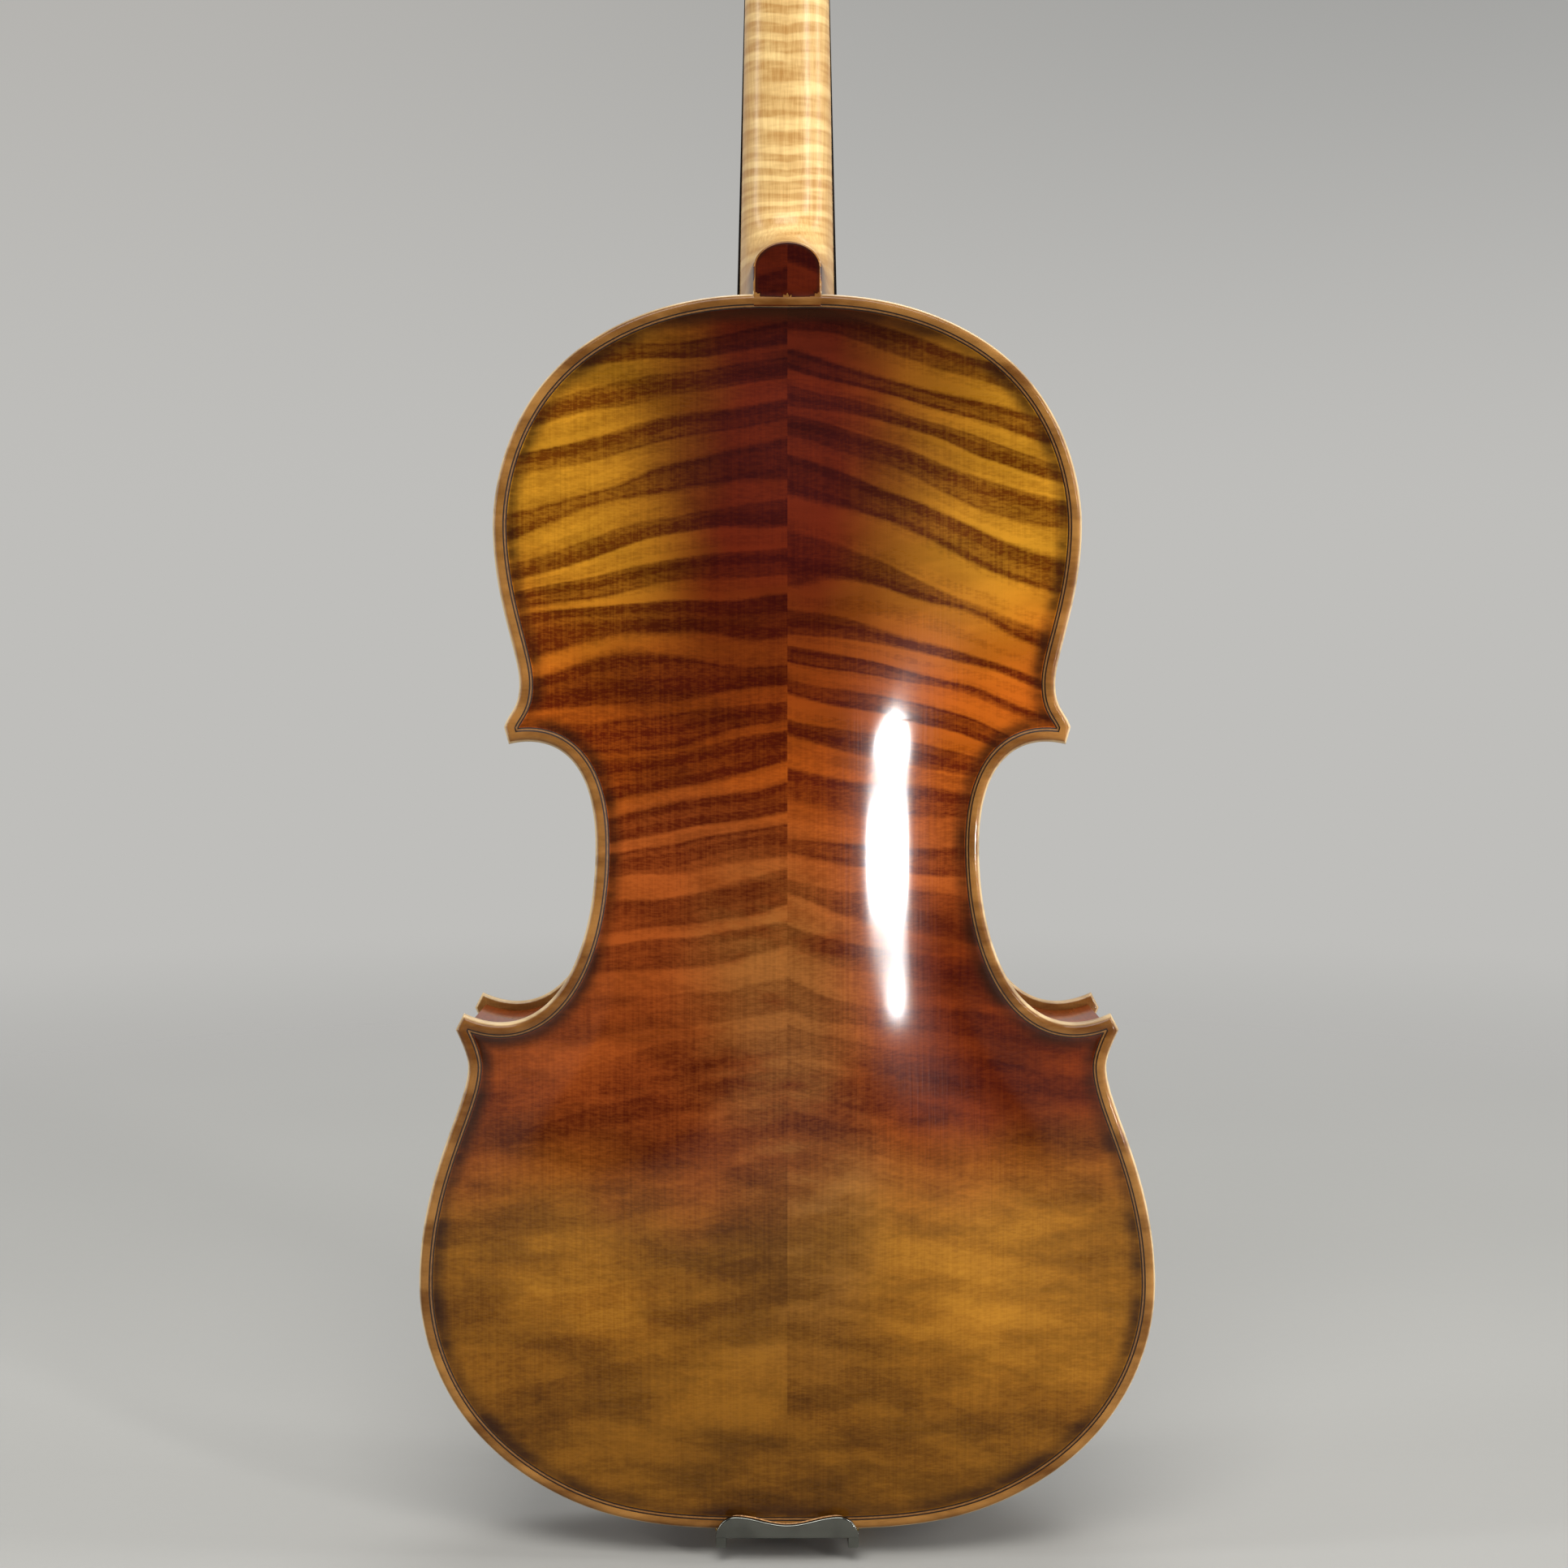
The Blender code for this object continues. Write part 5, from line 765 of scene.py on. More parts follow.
def cut(bm, *cutters, operation="DIFFERENCE", overlaps=False):
    """The shape with other shapes cut from it, or joined to it, as a new bmesh."""
    bmesh.ops.recalc_face_normals(bm, faces=bm.faces)
    item = plain_object(bm, "being_cut")
    others = []
    for cutter in cutters:
        bmesh.ops.recalc_face_normals(cutter, faces=cutter.faces)
        other = plain_object(cutter, "cutter")
        step = item.modifiers.new("cut", "BOOLEAN")
        step.operation = operation
        step.solver = "EXACT"
        step.use_self = overlaps
        step.object = other
        others.append(other)
    graph = bpy.context.evaluated_depsgraph_get()
    result = bmesh.new()
    result.from_mesh(item.evaluated_get(graph).to_mesh())
    for other in [item] + others:
        bpy.data.objects.remove(other)
    return result


OUTLINE = np.vstack(half_ring(0))


def mark_inset(item):
    """Stores how far each point lies inside the plate's or the button's edge."""
    places = np.empty(3 * len(item.data.vertices))
    item.data.vertices.foreach_get("co", places)
    places = abs(places.reshape(-1, 3)[:, ::2] - (0, BODY_BOTTOM))
    least = np.ones(len(places))
    for start, end in zip(OUTLINE, OUTLINE[1:]):
        run = end - start
        share = np.clip((places - start) @ run / max(run @ run, 1e-12), 0, 1)
        least = np.minimum(least, np.linalg.norm(places - start - share[:, None] * run, axis=1))
    under = (places[:, 0] < BUTTON_WIDTH / 2 - 0.0002) & (places[:, 1] > BODY_LENGTH - 0.003)
    least[under] = np.maximum(least[under], 0.0014)
    beyond = under & (places[:, 1] > BODY_LENGTH + 0.0002)
    rise = np.maximum(0, places[:, 1] - BODY_LENGTH - BUTTON_STRAIGHT)
    reach = np.hypot(places[:, 0] / (BUTTON_WIDTH / 2), rise / (BUTTON_HEIGHT - BUTTON_STRAIGHT))
    least[beyond] = (1 - reach[beyond]) * BUTTON_WIDTH / 2 * 5 + 0.0003
    item.data.attributes.new("inset", "FLOAT", "POINT").data.foreach_set("value", least)


def piece(bm, name, material, nodes=(), body=INSTRUMENT, sharp=38, merge=2e-6, edged=False):
    """A finished piece: closed, smooth but for its sharp edges, riding on its body."""
    bmesh.ops.remove_doubles(bm, verts=bm.verts, dist=merge)
    bmesh.ops.dissolve_degenerate(bm, edges=bm.edges, dist=1e-7)
    bmesh.ops.recalc_face_normals(bm, faces=bm.faces)
    limit = math.radians(sharp)
    for face in bm.faces:
        face.smooth = True
    for edge in bm.edges:
        edge.smooth = len(edge.link_faces) != 2 or edge.calc_face_angle(0) < limit
    item = plain_object(bm, name)
    item.data.materials.append(material)
    if edged:
        mark_inset(item)
    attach(item, body)
    if nodes:
        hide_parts(*nodes)
    return item


# Plates

EDGE_PROFILE = ([(1.9 * (1 - math.cos(a)), 1.9 + 2.6 * math.sin(a)) for a in np.linspace(0, 1.5708, 9)]
                + [(1.9 + 4.1 * t, 4.5 - 0.8 * (0.5 - 0.5 * math.cos(math.pi * t)))
                   for t in np.linspace(0, 1, 12)[1:]])
EDGE_PROFILE = np.array(EDGE_PROFILE) / 1000


def edge_height(distance):
    """Height of a plate's face near its edge, over its inner plane."""
    return float(np.interp(distance, EDGE_PROFILE[:, 0], EDGE_PROFILE[:, 1]))


SPINE_SPREAD = 0.02


def rows_to_spine(ring, fractions):
    """Lines of points from a ring to the centre line, fanned at both ends of the body."""
    x, s = ring.T
    run = lengths(ring)
    fan = [SPINE_SPREAD * (1 - np.exp(-away / SPINE_SPREAD)) for away in (run, run[-1] - run)]
    ends = s - fan[0] * np.clip((s - 0.30) / 0.098, 0, 1) + fan[1] * np.clip((0.12 - s) / 0.11, 0, 1)
    for k in range(len(ring) // 2, len(ring)):
        dip = (x[:k] < x[k] - 1e-5) & (s[:k] < s[k] - 1e-6)
        if dip.any():
            past = s[:k][dip] - (s[k] - s[:k][dip]) * x[:k][dip] / (x[k] - x[:k][dip])
            ends[k] = past.min() - 0.0002
    spine = np.column_stack((np.zeros(len(ring)), np.minimum.accumulate(ends)))
    return [ring * (1 - share) + spine * share for share in fractions]


def plate_half(arch, thickness, face, side):
    """Half a plate, from the joint over the arch, round the edge and back inside."""
    lines = []
    channel = np.vstack(half_ring(CHANNEL_INSET))
    land = np.vstack(half_ring(LAND_WIDTH))
    shares = (np.linspace(1, 0, 30) ** 1.5)[:-1]
    for row in rows_to_spine(channel, shares):
        lines.append([(x, arch_height(arch, x, s), s) for x, s in row])
    for distance, height in [(CHANNEL_INSET, EDGE_PROFILE[-1][1])] + list(EDGE_PROFILE[::-1]):
        lines.append([(x, height, s) for x, s in np.vstack(half_ring(distance))])
    for distance, height in ((0, 0.0010), (0.0003, 0.0003), (0.0010, 0), (LAND_WIDTH, 0)):
        lines.append([(x, height, s) for x, s in np.vstack(half_ring(distance))])
    for row in rows_to_spine(land, np.linspace(0, 1, 9)[1:]):
        lines.append([(x, max(0, arch_height(arch, x, s) - thickness), s) for x, s in row])
    points = [[(side * x, face * (RIB_TOP + height), BODY_BOTTOM + s) for x, height, s in line]
              for line in lines]
    bm = sheet(points)
    bmesh.ops.remove_doubles(bm, verts=bm.verts, dist=2e-6)
    bmesh.ops.dissolve_degenerate(bm, edges=bm.edges, dist=1e-7)
    close_holes(bm)
    return bm


BUTTON_STRAIGHT = BUTTON_HEIGHT * 0.48


def button_half(side):
    """Half of the back's round-topped tab, with a chamfered rim, over the heel."""
    half, straight = BUTTON_WIDTH / 2, BODY_LENGTH + BUTTON_STRAIGHT
    foot, top = BODY_LENGTH - 0.004, BODY_LENGTH + BUTTON_HEIGHT
    outline = [(half * share, foot) for share in np.linspace(0, 1, 6)[:-1]]
    outline += [(half, foot + (straight - foot) * share) for share in np.linspace(0, 1, 9)[:-1]]
    outline += [(half * math.cos(angle), straight + (top - straight) * math.sin(angle))
                for angle in np.linspace(0, math.pi / 2, 22)[:-1]]
    outline += [(0, top + (foot - top) * share) for share in np.linspace(0, 1, 16)[:-1]]
    middle = np.array((half * 0.45, BODY_LENGTH + BUTTON_HEIGHT * 0.35))
    sections = []
    for draw, height, share in ((0, 0.0003, 1), (0, 0.0038, 1), (0.0002, 0.0042, 1), (0.0006, 0.0044, 1),
                                (0.0006, 0.0044, 0.92), (0.0006, 0.0044, 0.75), (0.0006, 0.0044, 0.5)):
        ring = []
        for place in outline:
            away = np.array((place[0], max(0, place[1] - straight)))
            drawn = np.array(place) - away / max(1e-9, np.linalg.norm(away)) * draw
            x, s = middle + (drawn - middle) * share
            ring.append((side * x, -RIB_TOP - height, BODY_BOTTOM + s))
        sections.append(ring)
    return loft(sections)


HOLE_UPPER_EYE, HOLE_LOWER_EYE, HOLE_STEM = 0.0080, 0.0110, 0.0066
HOLE_TOP = np.array((0.030, 0.186 + 0.066 * 0.53))
HOLE_FOOT = np.array((0.052, 0.186 - 0.066 * 0.47))


def sound_hole_cutters(side):
    """The stem, with its two nicks, and the two eyes of one sound hole."""
    reach = 0.066 * 0.24
    path = bezier(HOLE_TOP + (0, HOLE_UPPER_EYE * 0.42), HOLE_TOP + (reach, HOLE_UPPER_EYE * 1.1),
                  HOLE_FOOT - (reach, HOLE_LOWER_EYE), HOLE_FOOT - (0, HOLE_LOWER_EYE * 0.40), 61)
    along = np.gradient(path, axis=0)
    along /= np.linalg.norm(along, axis=1)[:, None]
    across = np.column_stack((along[:, 1], -along[:, 0]))
    share = np.linspace(0, 1, len(path))
    width = 0.0007 + (HOLE_STEM / 2 - 0.0007) * np.sin(math.pi * share) ** 0.8
    width = (width + 0.0011 * np.exp(-((share - 0.5) / 0.012) ** 2))[:, None]
    outline = np.vstack((path + across * width, (path - across * width)[::-1]))
    rings = [[(side * x, y, BODY_BOTTOM + s) for x, s in outline]
             for y in (RIB_TOP - 0.004, EDGE_PLANE + 0.03)]
    made = [loft(rings)]
    for eye, size in ((HOLE_TOP, HOLE_UPPER_EYE), (HOLE_FOOT, HOLE_LOWER_EYE)):
        bm = bmesh.new()
        place = Matrix.Translation((side * eye[0], EDGE_PLANE + 0.005, BODY_BOTTOM + eye[1]))
        bmesh.ops.create_cone(bm, cap_ends=True, segments=40, radius1=size / 2, radius2=size / 2,
                              depth=0.05, matrix=place @ Matrix.Rotation(math.pi / 2, 4, "X"))
        made.append(bm)
    return made


def box(low, high):
    bm = bmesh.new()
    bmesh.ops.create_cube(bm, size=1)
    middle = (Vector(low) + Vector(high)) / 2
    size = Vector(high) - Vector(low)
    return moved(bm, Matrix.Translation(middle) @ Matrix.Diagonal((*size, 1)))


MORTISE_HALF = 0.0168
SADDLE_HALF, SADDLE_LENGTH = 0.018, 0.0075


def make_plates():
    for name, side in SIDES:
        back = cut(plate_half(BACK_ARCH, BACK_THICKNESS, -1, side), button_half(side),
                   operation="UNION")
        piece(back, "back_" + name, BACK_VARNISH[name],
              ["back_%s_half" % name], edged=True)
        mortise = box((-MORTISE_HALF, RIB_TOP - 0.001, BODY_TOP - 0.0093),
                      (MORTISE_HALF, EDGE_PLANE + 0.005, BODY_TOP + 0.02))
        seat = box((-SADDLE_HALF - 0.0002, RIB_TOP - 0.001, BODY_BOTTOM - 0.01),
                   (SADDLE_HALF + 0.0002, EDGE_PLANE + 0.005, BODY_BOTTOM + SADDLE_LENGTH))
        belly = cut(plate_half(BELLY_ARCH, BELLY_THICKNESS, 1, side), *sound_hole_cutters(side),
                    mortise, seat)
        piece(belly, "belly_" + name, BELLY_VARNISH,
              ["belly_%s_half" % name], sharp=50, edged=True)


PROUD = 0.00004


def purfling_run(face, side):
    """Sections of the three inlaid strips together, round half a plate."""
    sections = []
    low = RIB_TOP + 0.0030
    distances = PURFLING_INSET + PURFLING_WIDTH * (np.linspace(0, 1, 9) - 0.5)
    rings = [np.vstack(half_ring(d)) for d in distances]
    for k in range(len(rings[0])):
        top = [(side * ring[k][0], face * (RIB_TOP + edge_height(d) + PROUD), BODY_BOTTOM + ring[k][1])
               for d, ring in zip(distances, rings)]
        sections.append([(top[0][0], face * low, top[0][2])] + top + [(top[-1][0], face * low, top[-1][2])])
    return sections


def make_purfling():
    right, left = purfling_run(-1, 1), purfling_run(-1, -1)
    whole = right + left[::-1][1:]
    bm = sheet(whole)
    piece(bm, "back_purfling", PURFLING, ["back_purfling"], merge=1e-5)
    for name, side in SIDES:
        bm = sheet(purfling_run(1, side)[12:-12])
        close_holes(bm)
        piece(bm, "belly_purfling_" + name, PURFLING, ["belly_purfling_" + name])


def make_ribs():
    outer, inner = half_ring(EDGE_OVERHANG), half_ring(EDGE_OVERHANG + RIB_THICKNESS)
    for name, side in SIDES:
        for k, bout in enumerate(("upper", "waist", "lower")):
            sections = []
            for (xo, so), (xi, si) in zip(outer[k], inner[k]):
                high = RIB_TOP - 0.00005
                zo, zi = BODY_BOTTOM + so, BODY_BOTTOM + si
                sections.append([(side * xo, y, zo) for y in np.linspace(-high, high, 5)]
                                + [(side * xi, high, zi), (side * xi, -high, zi)])
            if bout == "upper":
                sections = [ring for ring in sections if abs(ring[0][0]) > MORTISE_HALF - 0.003]
            piece(loft(sections), "%s_rib_%s" % (bout, name), RIB_VARNISH,
                  ["%s_rib_%s" % (bout, name)])


# Neck and head

NECK_STOP, NECK_SLOPE = 0.150, 0.128
OVERSTAND = 0.008
ROOT_Y = EDGE_PLANE + OVERSTAND
NECK_COS = 1 / math.hypot(1, NECK_SLOPE)
NECK_SIN = NECK_SLOPE * NECK_COS
NUT_Y, NUT_Z = ROOT_Y - NECK_STOP * NECK_SLOPE, BODY_TOP + NECK_STOP
NUT_HALF, ROOT_HALF = 0.0131, 0.0165
DEPTH_AT_NUT, DEPTH_AT_BODY = 0.0130, 0.0150
NUT_LENGTH, NUT_RISE = 0.0055, 0.0006
BOARD_LENGTH, BOARD_END_HALF = 0.305, 0.022
BOARD_EDGE, BOARD_RADIUS = 0.0055, 0.042
PEGBOX_LENGTH, CHEEK, PEGBOX_FLOOR = 0.070, 0.0048, 0.0058
SCROLL_RADIUS, SCROLL_HALF = 0.0245, 0.0215
GAP = 0.0003


def on_neck(x, q, p):
    """A place by x, height q over the fingerboard's glue plane and way p up past the nut."""
    return Vector((x, NUT_Y + q * NECK_COS - p * NECK_SIN, NUT_Z + q * NECK_SIN + p * NECK_COS))


def resampled(line, count):
    line = np.array(line, float)
    return piece_of(line, 0, lengths(line)[-1], count)


def round_section(count):
    """A neck's round back as shares of half width and depth, from edge to edge."""
    angles = np.linspace(0, math.pi, 60)
    return resampled([(math.copysign(abs(math.cos(a)) ** 0.85, math.cos(a)), math.sin(a) ** 0.95)
                      for a in angles], count)


def button_section(count):
    straight = (BUTTON_STRAIGHT + 0.0088) / (BUTTON_HEIGHT + 0.0088)
    curve = [(math.cos(a), straight + (1 - straight) * math.sin(a))
             for a in np.linspace(0, math.pi, 60)]
    return resampled([(1, 0)] + curve + [(-1, 0)], count)


def neck_mesh():
    """From the nut down the shaft and round the throat of the heel to the button."""
    count = 33
    rounded, button = round_section(count), button_section(count)
    rings = []
    for share in np.linspace(0, 0.66, 12)[:-1]:
        p = 0.002 - share * NECK_STOP / NECK_COS
        half = NUT_HALF + (ROOT_HALF - NUT_HALF) * share
        depth = DEPTH_AT_NUT + (DEPTH_AT_BODY - DEPTH_AT_NUT) * share
        rings.append([on_neck(x * half, -q * depth, p) for x, q in rounded])
    back = smooth_line([(0.0100, 0.0515), (0.0112, 0.038), (0.0100, 0.030), (0.0060, 0.0245),
                        (0.0030, 0.0228), (-0.0030, 0.0205), (-0.0100, 0.0183), (-0.0187, 0.0163)], 29)
    front = resampled([(0.0249, 0.0529), (0.0315, 0.0), (0.0315, -0.0088), (-0.0187, -0.0088)], 29)
    for k, (outer, inner) in enumerate(zip(back, front)):
        turn = k / 28
        ease = turn * turn * (3 - 2 * turn)
        ring = []
        for a, b in zip(rounded, button):
            share = a * (1 - ease) + b * ease
            y, h = inner + (np.array(outer[:]) - inner) * share[1]
            shaft = NUT_HALF + (ROOT_HALF - NUT_HALF) * (1 - h / NECK_STOP)
            root = 0.011 + 0.0055 * (y + RIB_TOP) / (ROOT_Y + RIB_TOP)
            blend = min(1, ease * 1.6)
            half = shaft * (1 - blend) + root * blend
            ring.append((share[0] * half, y, BODY_TOP + h))
        rings.append(ring)
    return loft(rings)


def head_half(p):
    return float(np.interp(p, (0, 0.0105, 0.070, 0.084, 0.098), (0.0131, 0.0131, 0.0115, 0.0081, 0.0066)))


def pegbox_front(p):
    share = p / PEGBOX_LENGTH
    return 0.0022 - 0.0005 * share - 0.0125 * share ** 1.7


def pegbox_back(p):
    return -DEPTH_AT_NUT - 0.006 - 0.0155 * (p / PEGBOX_LENGTH) ** 0.9


SCROLL_CENTRE = np.array((pegbox_back(PEGBOX_LENGTH) + SCROLL_RADIUS * 0.90,
                          PEGBOX_LENGTH + SCROLL_RADIUS * 0.94))
SCROLL_TURNS = 2.55


def scroll_radius(turns):
    return SCROLL_RADIUS * math.exp(-0.43 * turns - 0.075 * turns ** 2)


def scroll_half(turns):
    return float(np.interp(turns, (0, 0.10, 0.27, 0.50, 0.70, 0.95, 1.3, 1.7, 2.1, SCROLL_TURNS),
                           (0.0082, 0.0073, 0.0066, 0.0066, 0.0076, 0.0098, 0.0128, 0.0164, 0.0192,
                            SCROLL_HALF - 0.0004)))


def head_ring(outer, inner, wide, near, flute, chamfer=0.0009, hollow=0.0):
    """One section of the head, from its fluted back to its front, both sides."""
    outer, inner = np.array(outer, float), np.array(inner, float)
    run = np.linalg.norm(inner - outer)
    along = (inner - outer) / run
    half = [(0, 0), (0.10 * wide, 0.00005), (0.26 * wide, flute * 0.62), (0.50 * wide, flute),
            (0.72 * wide, flute * 0.72), (0.88 * wide, flute * 0.15), (wide - chamfer, 0),
            (wide - chamfer * 0.25, chamfer * 0.3), (wide, chamfer)]
    for share in (0.2, 0.45, 0.7, 0.9):
        width = wide + (near - wide) * share - hollow * math.sin(math.pi * share)
        half.append((width, chamfer + (run - 2 * chamfer) * share))
    half += [(near, run - chamfer), (near - chamfer, run), (0, run)]
    ring = []
    for side, points in ((1, half), (-1, half[-2:0:-1])):
        for x, deep in points:
            q, p = outer + along * deep
            ring.append(on_neck(side * x, q, p))
    return ring


def head_mesh():
    """The pegbox's block and the scroll's turns as one long run of sections."""
    backs = [(-0.0122, -0.0040), (-0.0131, -0.0012), (-0.0150, 0.0004), (-0.0174, 0.0022),
             (-0.0192, 0.0060)]
    backs += [(pegbox_back(PEGBOX_LENGTH * share), PEGBOX_LENGTH * share)
              for share in np.linspace(0.16, 1.0, 12)]
    rings = []
    for q, p in smooth_line(backs, 46):
        level = p if q > -0.015 else p + 0.0004
        front = 0.0 if p < NUT_LENGTH + 0.0004 else pegbox_front(min(p, PEGBOX_LENGTH))
        flute = 0.0013 * min(1, max(0, (p - 0.002) / 0.02))
        half = head_half(max(0, p))
        rings.append(head_ring((q, p), (front, level), half, half, flute))
    start = math.radians(188)
    centre = SCROLL_CENTRE
    join = np.array((pegbox_back(PEGBOX_LENGTH), PEGBOX_LENGTH))
    first = centre + scroll_radius(0) * np.array((math.cos(start), math.sin(start)))
    for share in (0.25, 0.5, 0.75):
        outer = join + (first - join) * share
        outer += np.array((-0.0012, -0.0004)) * math.sin(math.pi * share)
        inner = np.array((-0.0118, 0.0712)) * (1 - share) + (centre + (0.004, -0.006)) * share
        wide = head_half(outer[1])
        rings.append(head_ring(outer, inner, wide, wide - 0.0002, 0.0013))
    for turns in np.linspace(0, SCROLL_TURNS, 118):
        angle = start - 2 * math.pi * turns
        way = np.array((math.cos(angle), math.sin(angle)))
        wide = scroll_half(turns)
        inner = scroll_radius(turns + 1) * 0.85
        rings.append(head_ring(centre + scroll_radius(turns) * way, centre + inner * way, wide,
                               wide - 0.0014, 0.0012 * max(0.1, 1 - 0.55 * turns), 0.0008, 0.0006))
    return loft(rings)


def scroll_eyes():
    """The round eyes in the middle of the turns, with softened rims."""
    radius = scroll_radius(SCROLL_TURNS) + 0.0006
    profile = [(0, SCROLL_HALF - 0.0002), (radius * 0.6, SCROLL_HALF - 0.0003),
               (radius * 0.9, SCROLL_HALF - 0.0007), (radius, SCROLL_HALF - 0.0016)]
    profile += [(r, -h) for r, h in reversed(profile)]
    place = Matrix.Translation(on_neck(0, *SCROLL_CENTRE)) @ Matrix.Rotation(math.pi / 2, 4, "Y")
    return moved(turned(profile, 48), place)


def pegbox_hollow():
    rings = []
    start, end = NUT_LENGTH + 0.0022, PEGBOX_LENGTH * 0.955
    for share in np.linspace(0, 1, 15):
        p = start + (end - start) * share
        half = head_half(p) - CHEEK
        low = pegbox_back(p) + PEGBOX_FLOOR * (1 + max(0, 0.15 - share) / 0.15)
        low += 0.006 * max(0, share - 0.9) / 0.1
        shape = [(half, 0.02), (half, low + 0.0022), (half - 0.0007, low + 0.0007),
                 (half - 0.0022, low)]
        shape += [(-x, q) for x, q in reversed(shape)]
        rings.append([on_neck(x, q, p) for x, q in shape])
    return loft(rings)


PEGS = (("C", 1), ("A", -1), ("G", 1), ("D", -1))
PEG_RADIUS, PEG_TAPER = 0.00425, 0.033


def peg_place(index):
    p = 0.0165 + index * 0.0140
    return (pegbox_front(p) + pegbox_back(p) + PEGBOX_FLOOR) / 2, p


def peg_radius(reach):
    return PEG_RADIUS - (NUT_HALF - reach) * PEG_TAPER / 2


def peg_matrix(index, side):
    return (Matrix.Translation(on_neck(0, *peg_place(index)))
            @ Matrix.Rotation(side * math.pi / 2, 4, "Y"))


def peg_hole(index, side):
    bm = bmesh.new()
    reach = 0.026
    bmesh.ops.create_cone(bm, cap_ends=True, segments=40, radius1=peg_radius(-reach) + GAP,
                          radius2=peg_radius(reach) + GAP, depth=2 * reach)
    return moved(bm, peg_matrix(index, side))


def make_neck():
    head = cut(head_mesh(), scroll_eyes(), operation="UNION", overlaps=True)
    holes = [peg_hole(index, side) for index, (name, side) in enumerate(PEGS)]
    head = cut(head, pegbox_hollow(), *holes)
    whole = cut(neck_mesh(), head, operation="UNION")
    piece(whole, "neck", NECK_MAPLE, ["neck"], sharp=32)


def board_half(p):
    return NUT_HALF - (BOARD_END_HALF - NUT_HALF) * p / BOARD_LENGTH


def board_top(x, p):
    crown = BOARD_EDGE + BOARD_RADIUS - math.sqrt(BOARD_RADIUS ** 2 - board_half(p) ** 2)
    return crown - BOARD_RADIUS + math.sqrt(BOARD_RADIUS ** 2 - x ** 2)


def board_ring(p, rise=0.0, hollow=0.0, half=None, drop=0.0):
    half = half or board_half(p)
    ring = [(x, board_top(x, p) + rise - drop) for x in np.linspace(half - 0.0005, -half + 0.0005, 21)]
    edge = board_top(half, p) + rise - drop
    ring = [(half, edge - 0.0005)] + ring + [(-half, edge - 0.0005)]
    ring += [(half * share, GAP + hollow * lift + drop)
             for share, lift in ((-1, 0), (-0.8, 0), (-0.68, 0.85), (-0.35, 1), (0, 1.04), (0.35, 1),
                                 (0.68, 0.85), (0.8, 0), (1, 0))]
    return [on_neck(x, q, p) for x, q in ring]


def make_fingerboard():
    root = -(NECK_STOP + 0.004) / NECK_COS
    rings = [board_ring(p) for p in np.linspace(-GAP, root, 20)]
    hollow = BOARD_EDGE * 0.62
    for share in np.linspace(0, 1, 16):
        p = root - 0.002 + (-BOARD_LENGTH + 0.0006 - root + 0.002) * share
        rings.append(board_ring(p, hollow=hollow))
    rings.append(board_ring(-BOARD_LENGTH, hollow=hollow, drop=0.0004))
    piece(loft(rings), "fingerboard", POLISHED_EBONY, ["fingerboard"], sharp=25)


def make_nut():
    rings = [board_ring(p, NUT_RISE - fall, half=NUT_HALF - trim)
             for p, fall, trim in ((0, 0.0003, 0.0002), (0.0004, 0, 0), (0.0022, 0, 0), (0.0040, 0.0004, 0),
                                   (0.0050, 0.0009, 0), (NUT_LENGTH, 0.0016, 0.0002))]
    notches = []
    for name in STRING_NAMES:
        radius = STRING_RADII[name] + 0.00015
        x = string_x(name, SPREAD_AT_NUT)
        level = board_top(x, 0) + NUT_RISE + radius + GAP * 0.35
        notches.append(tube([on_neck(x, level, -0.004), on_neck(x, level, 0.003),
                             on_neck(x, level - 0.0016, 0.010)], radius, 12))
    piece(cut(loft(rings), *notches), "nut", EBONY, ["nut"], sharp=30)


def thumb_head(centre):
    """A heart-shaped turning head, hollowed on both faces."""
    bm = bmesh.new()
    bmesh.ops.create_uvsphere(bm, u_segments=56, v_segments=36, radius=1)
    for vert in bm.verts:
        x, y, z = vert.co
        out = (z + 1) / 2
        width = 0.0120 * (0.42 + 0.58 * math.sin(math.pi * min(1, out * 1.15) / 2) ** 1.2)
        waist = 1 - 0.52 * math.exp(-((abs(x) - 0.52) / 0.30) ** 2) * (0.35 + 0.65 * out)
        notch = 0.0012 * math.exp(-(x / 0.16) ** 2) * max(0, z)
        vert.co = (x * width, y * 0.0045 * waist * (1.12 - 0.30 * out), centre + z * 0.0085 - notch)
    return bm


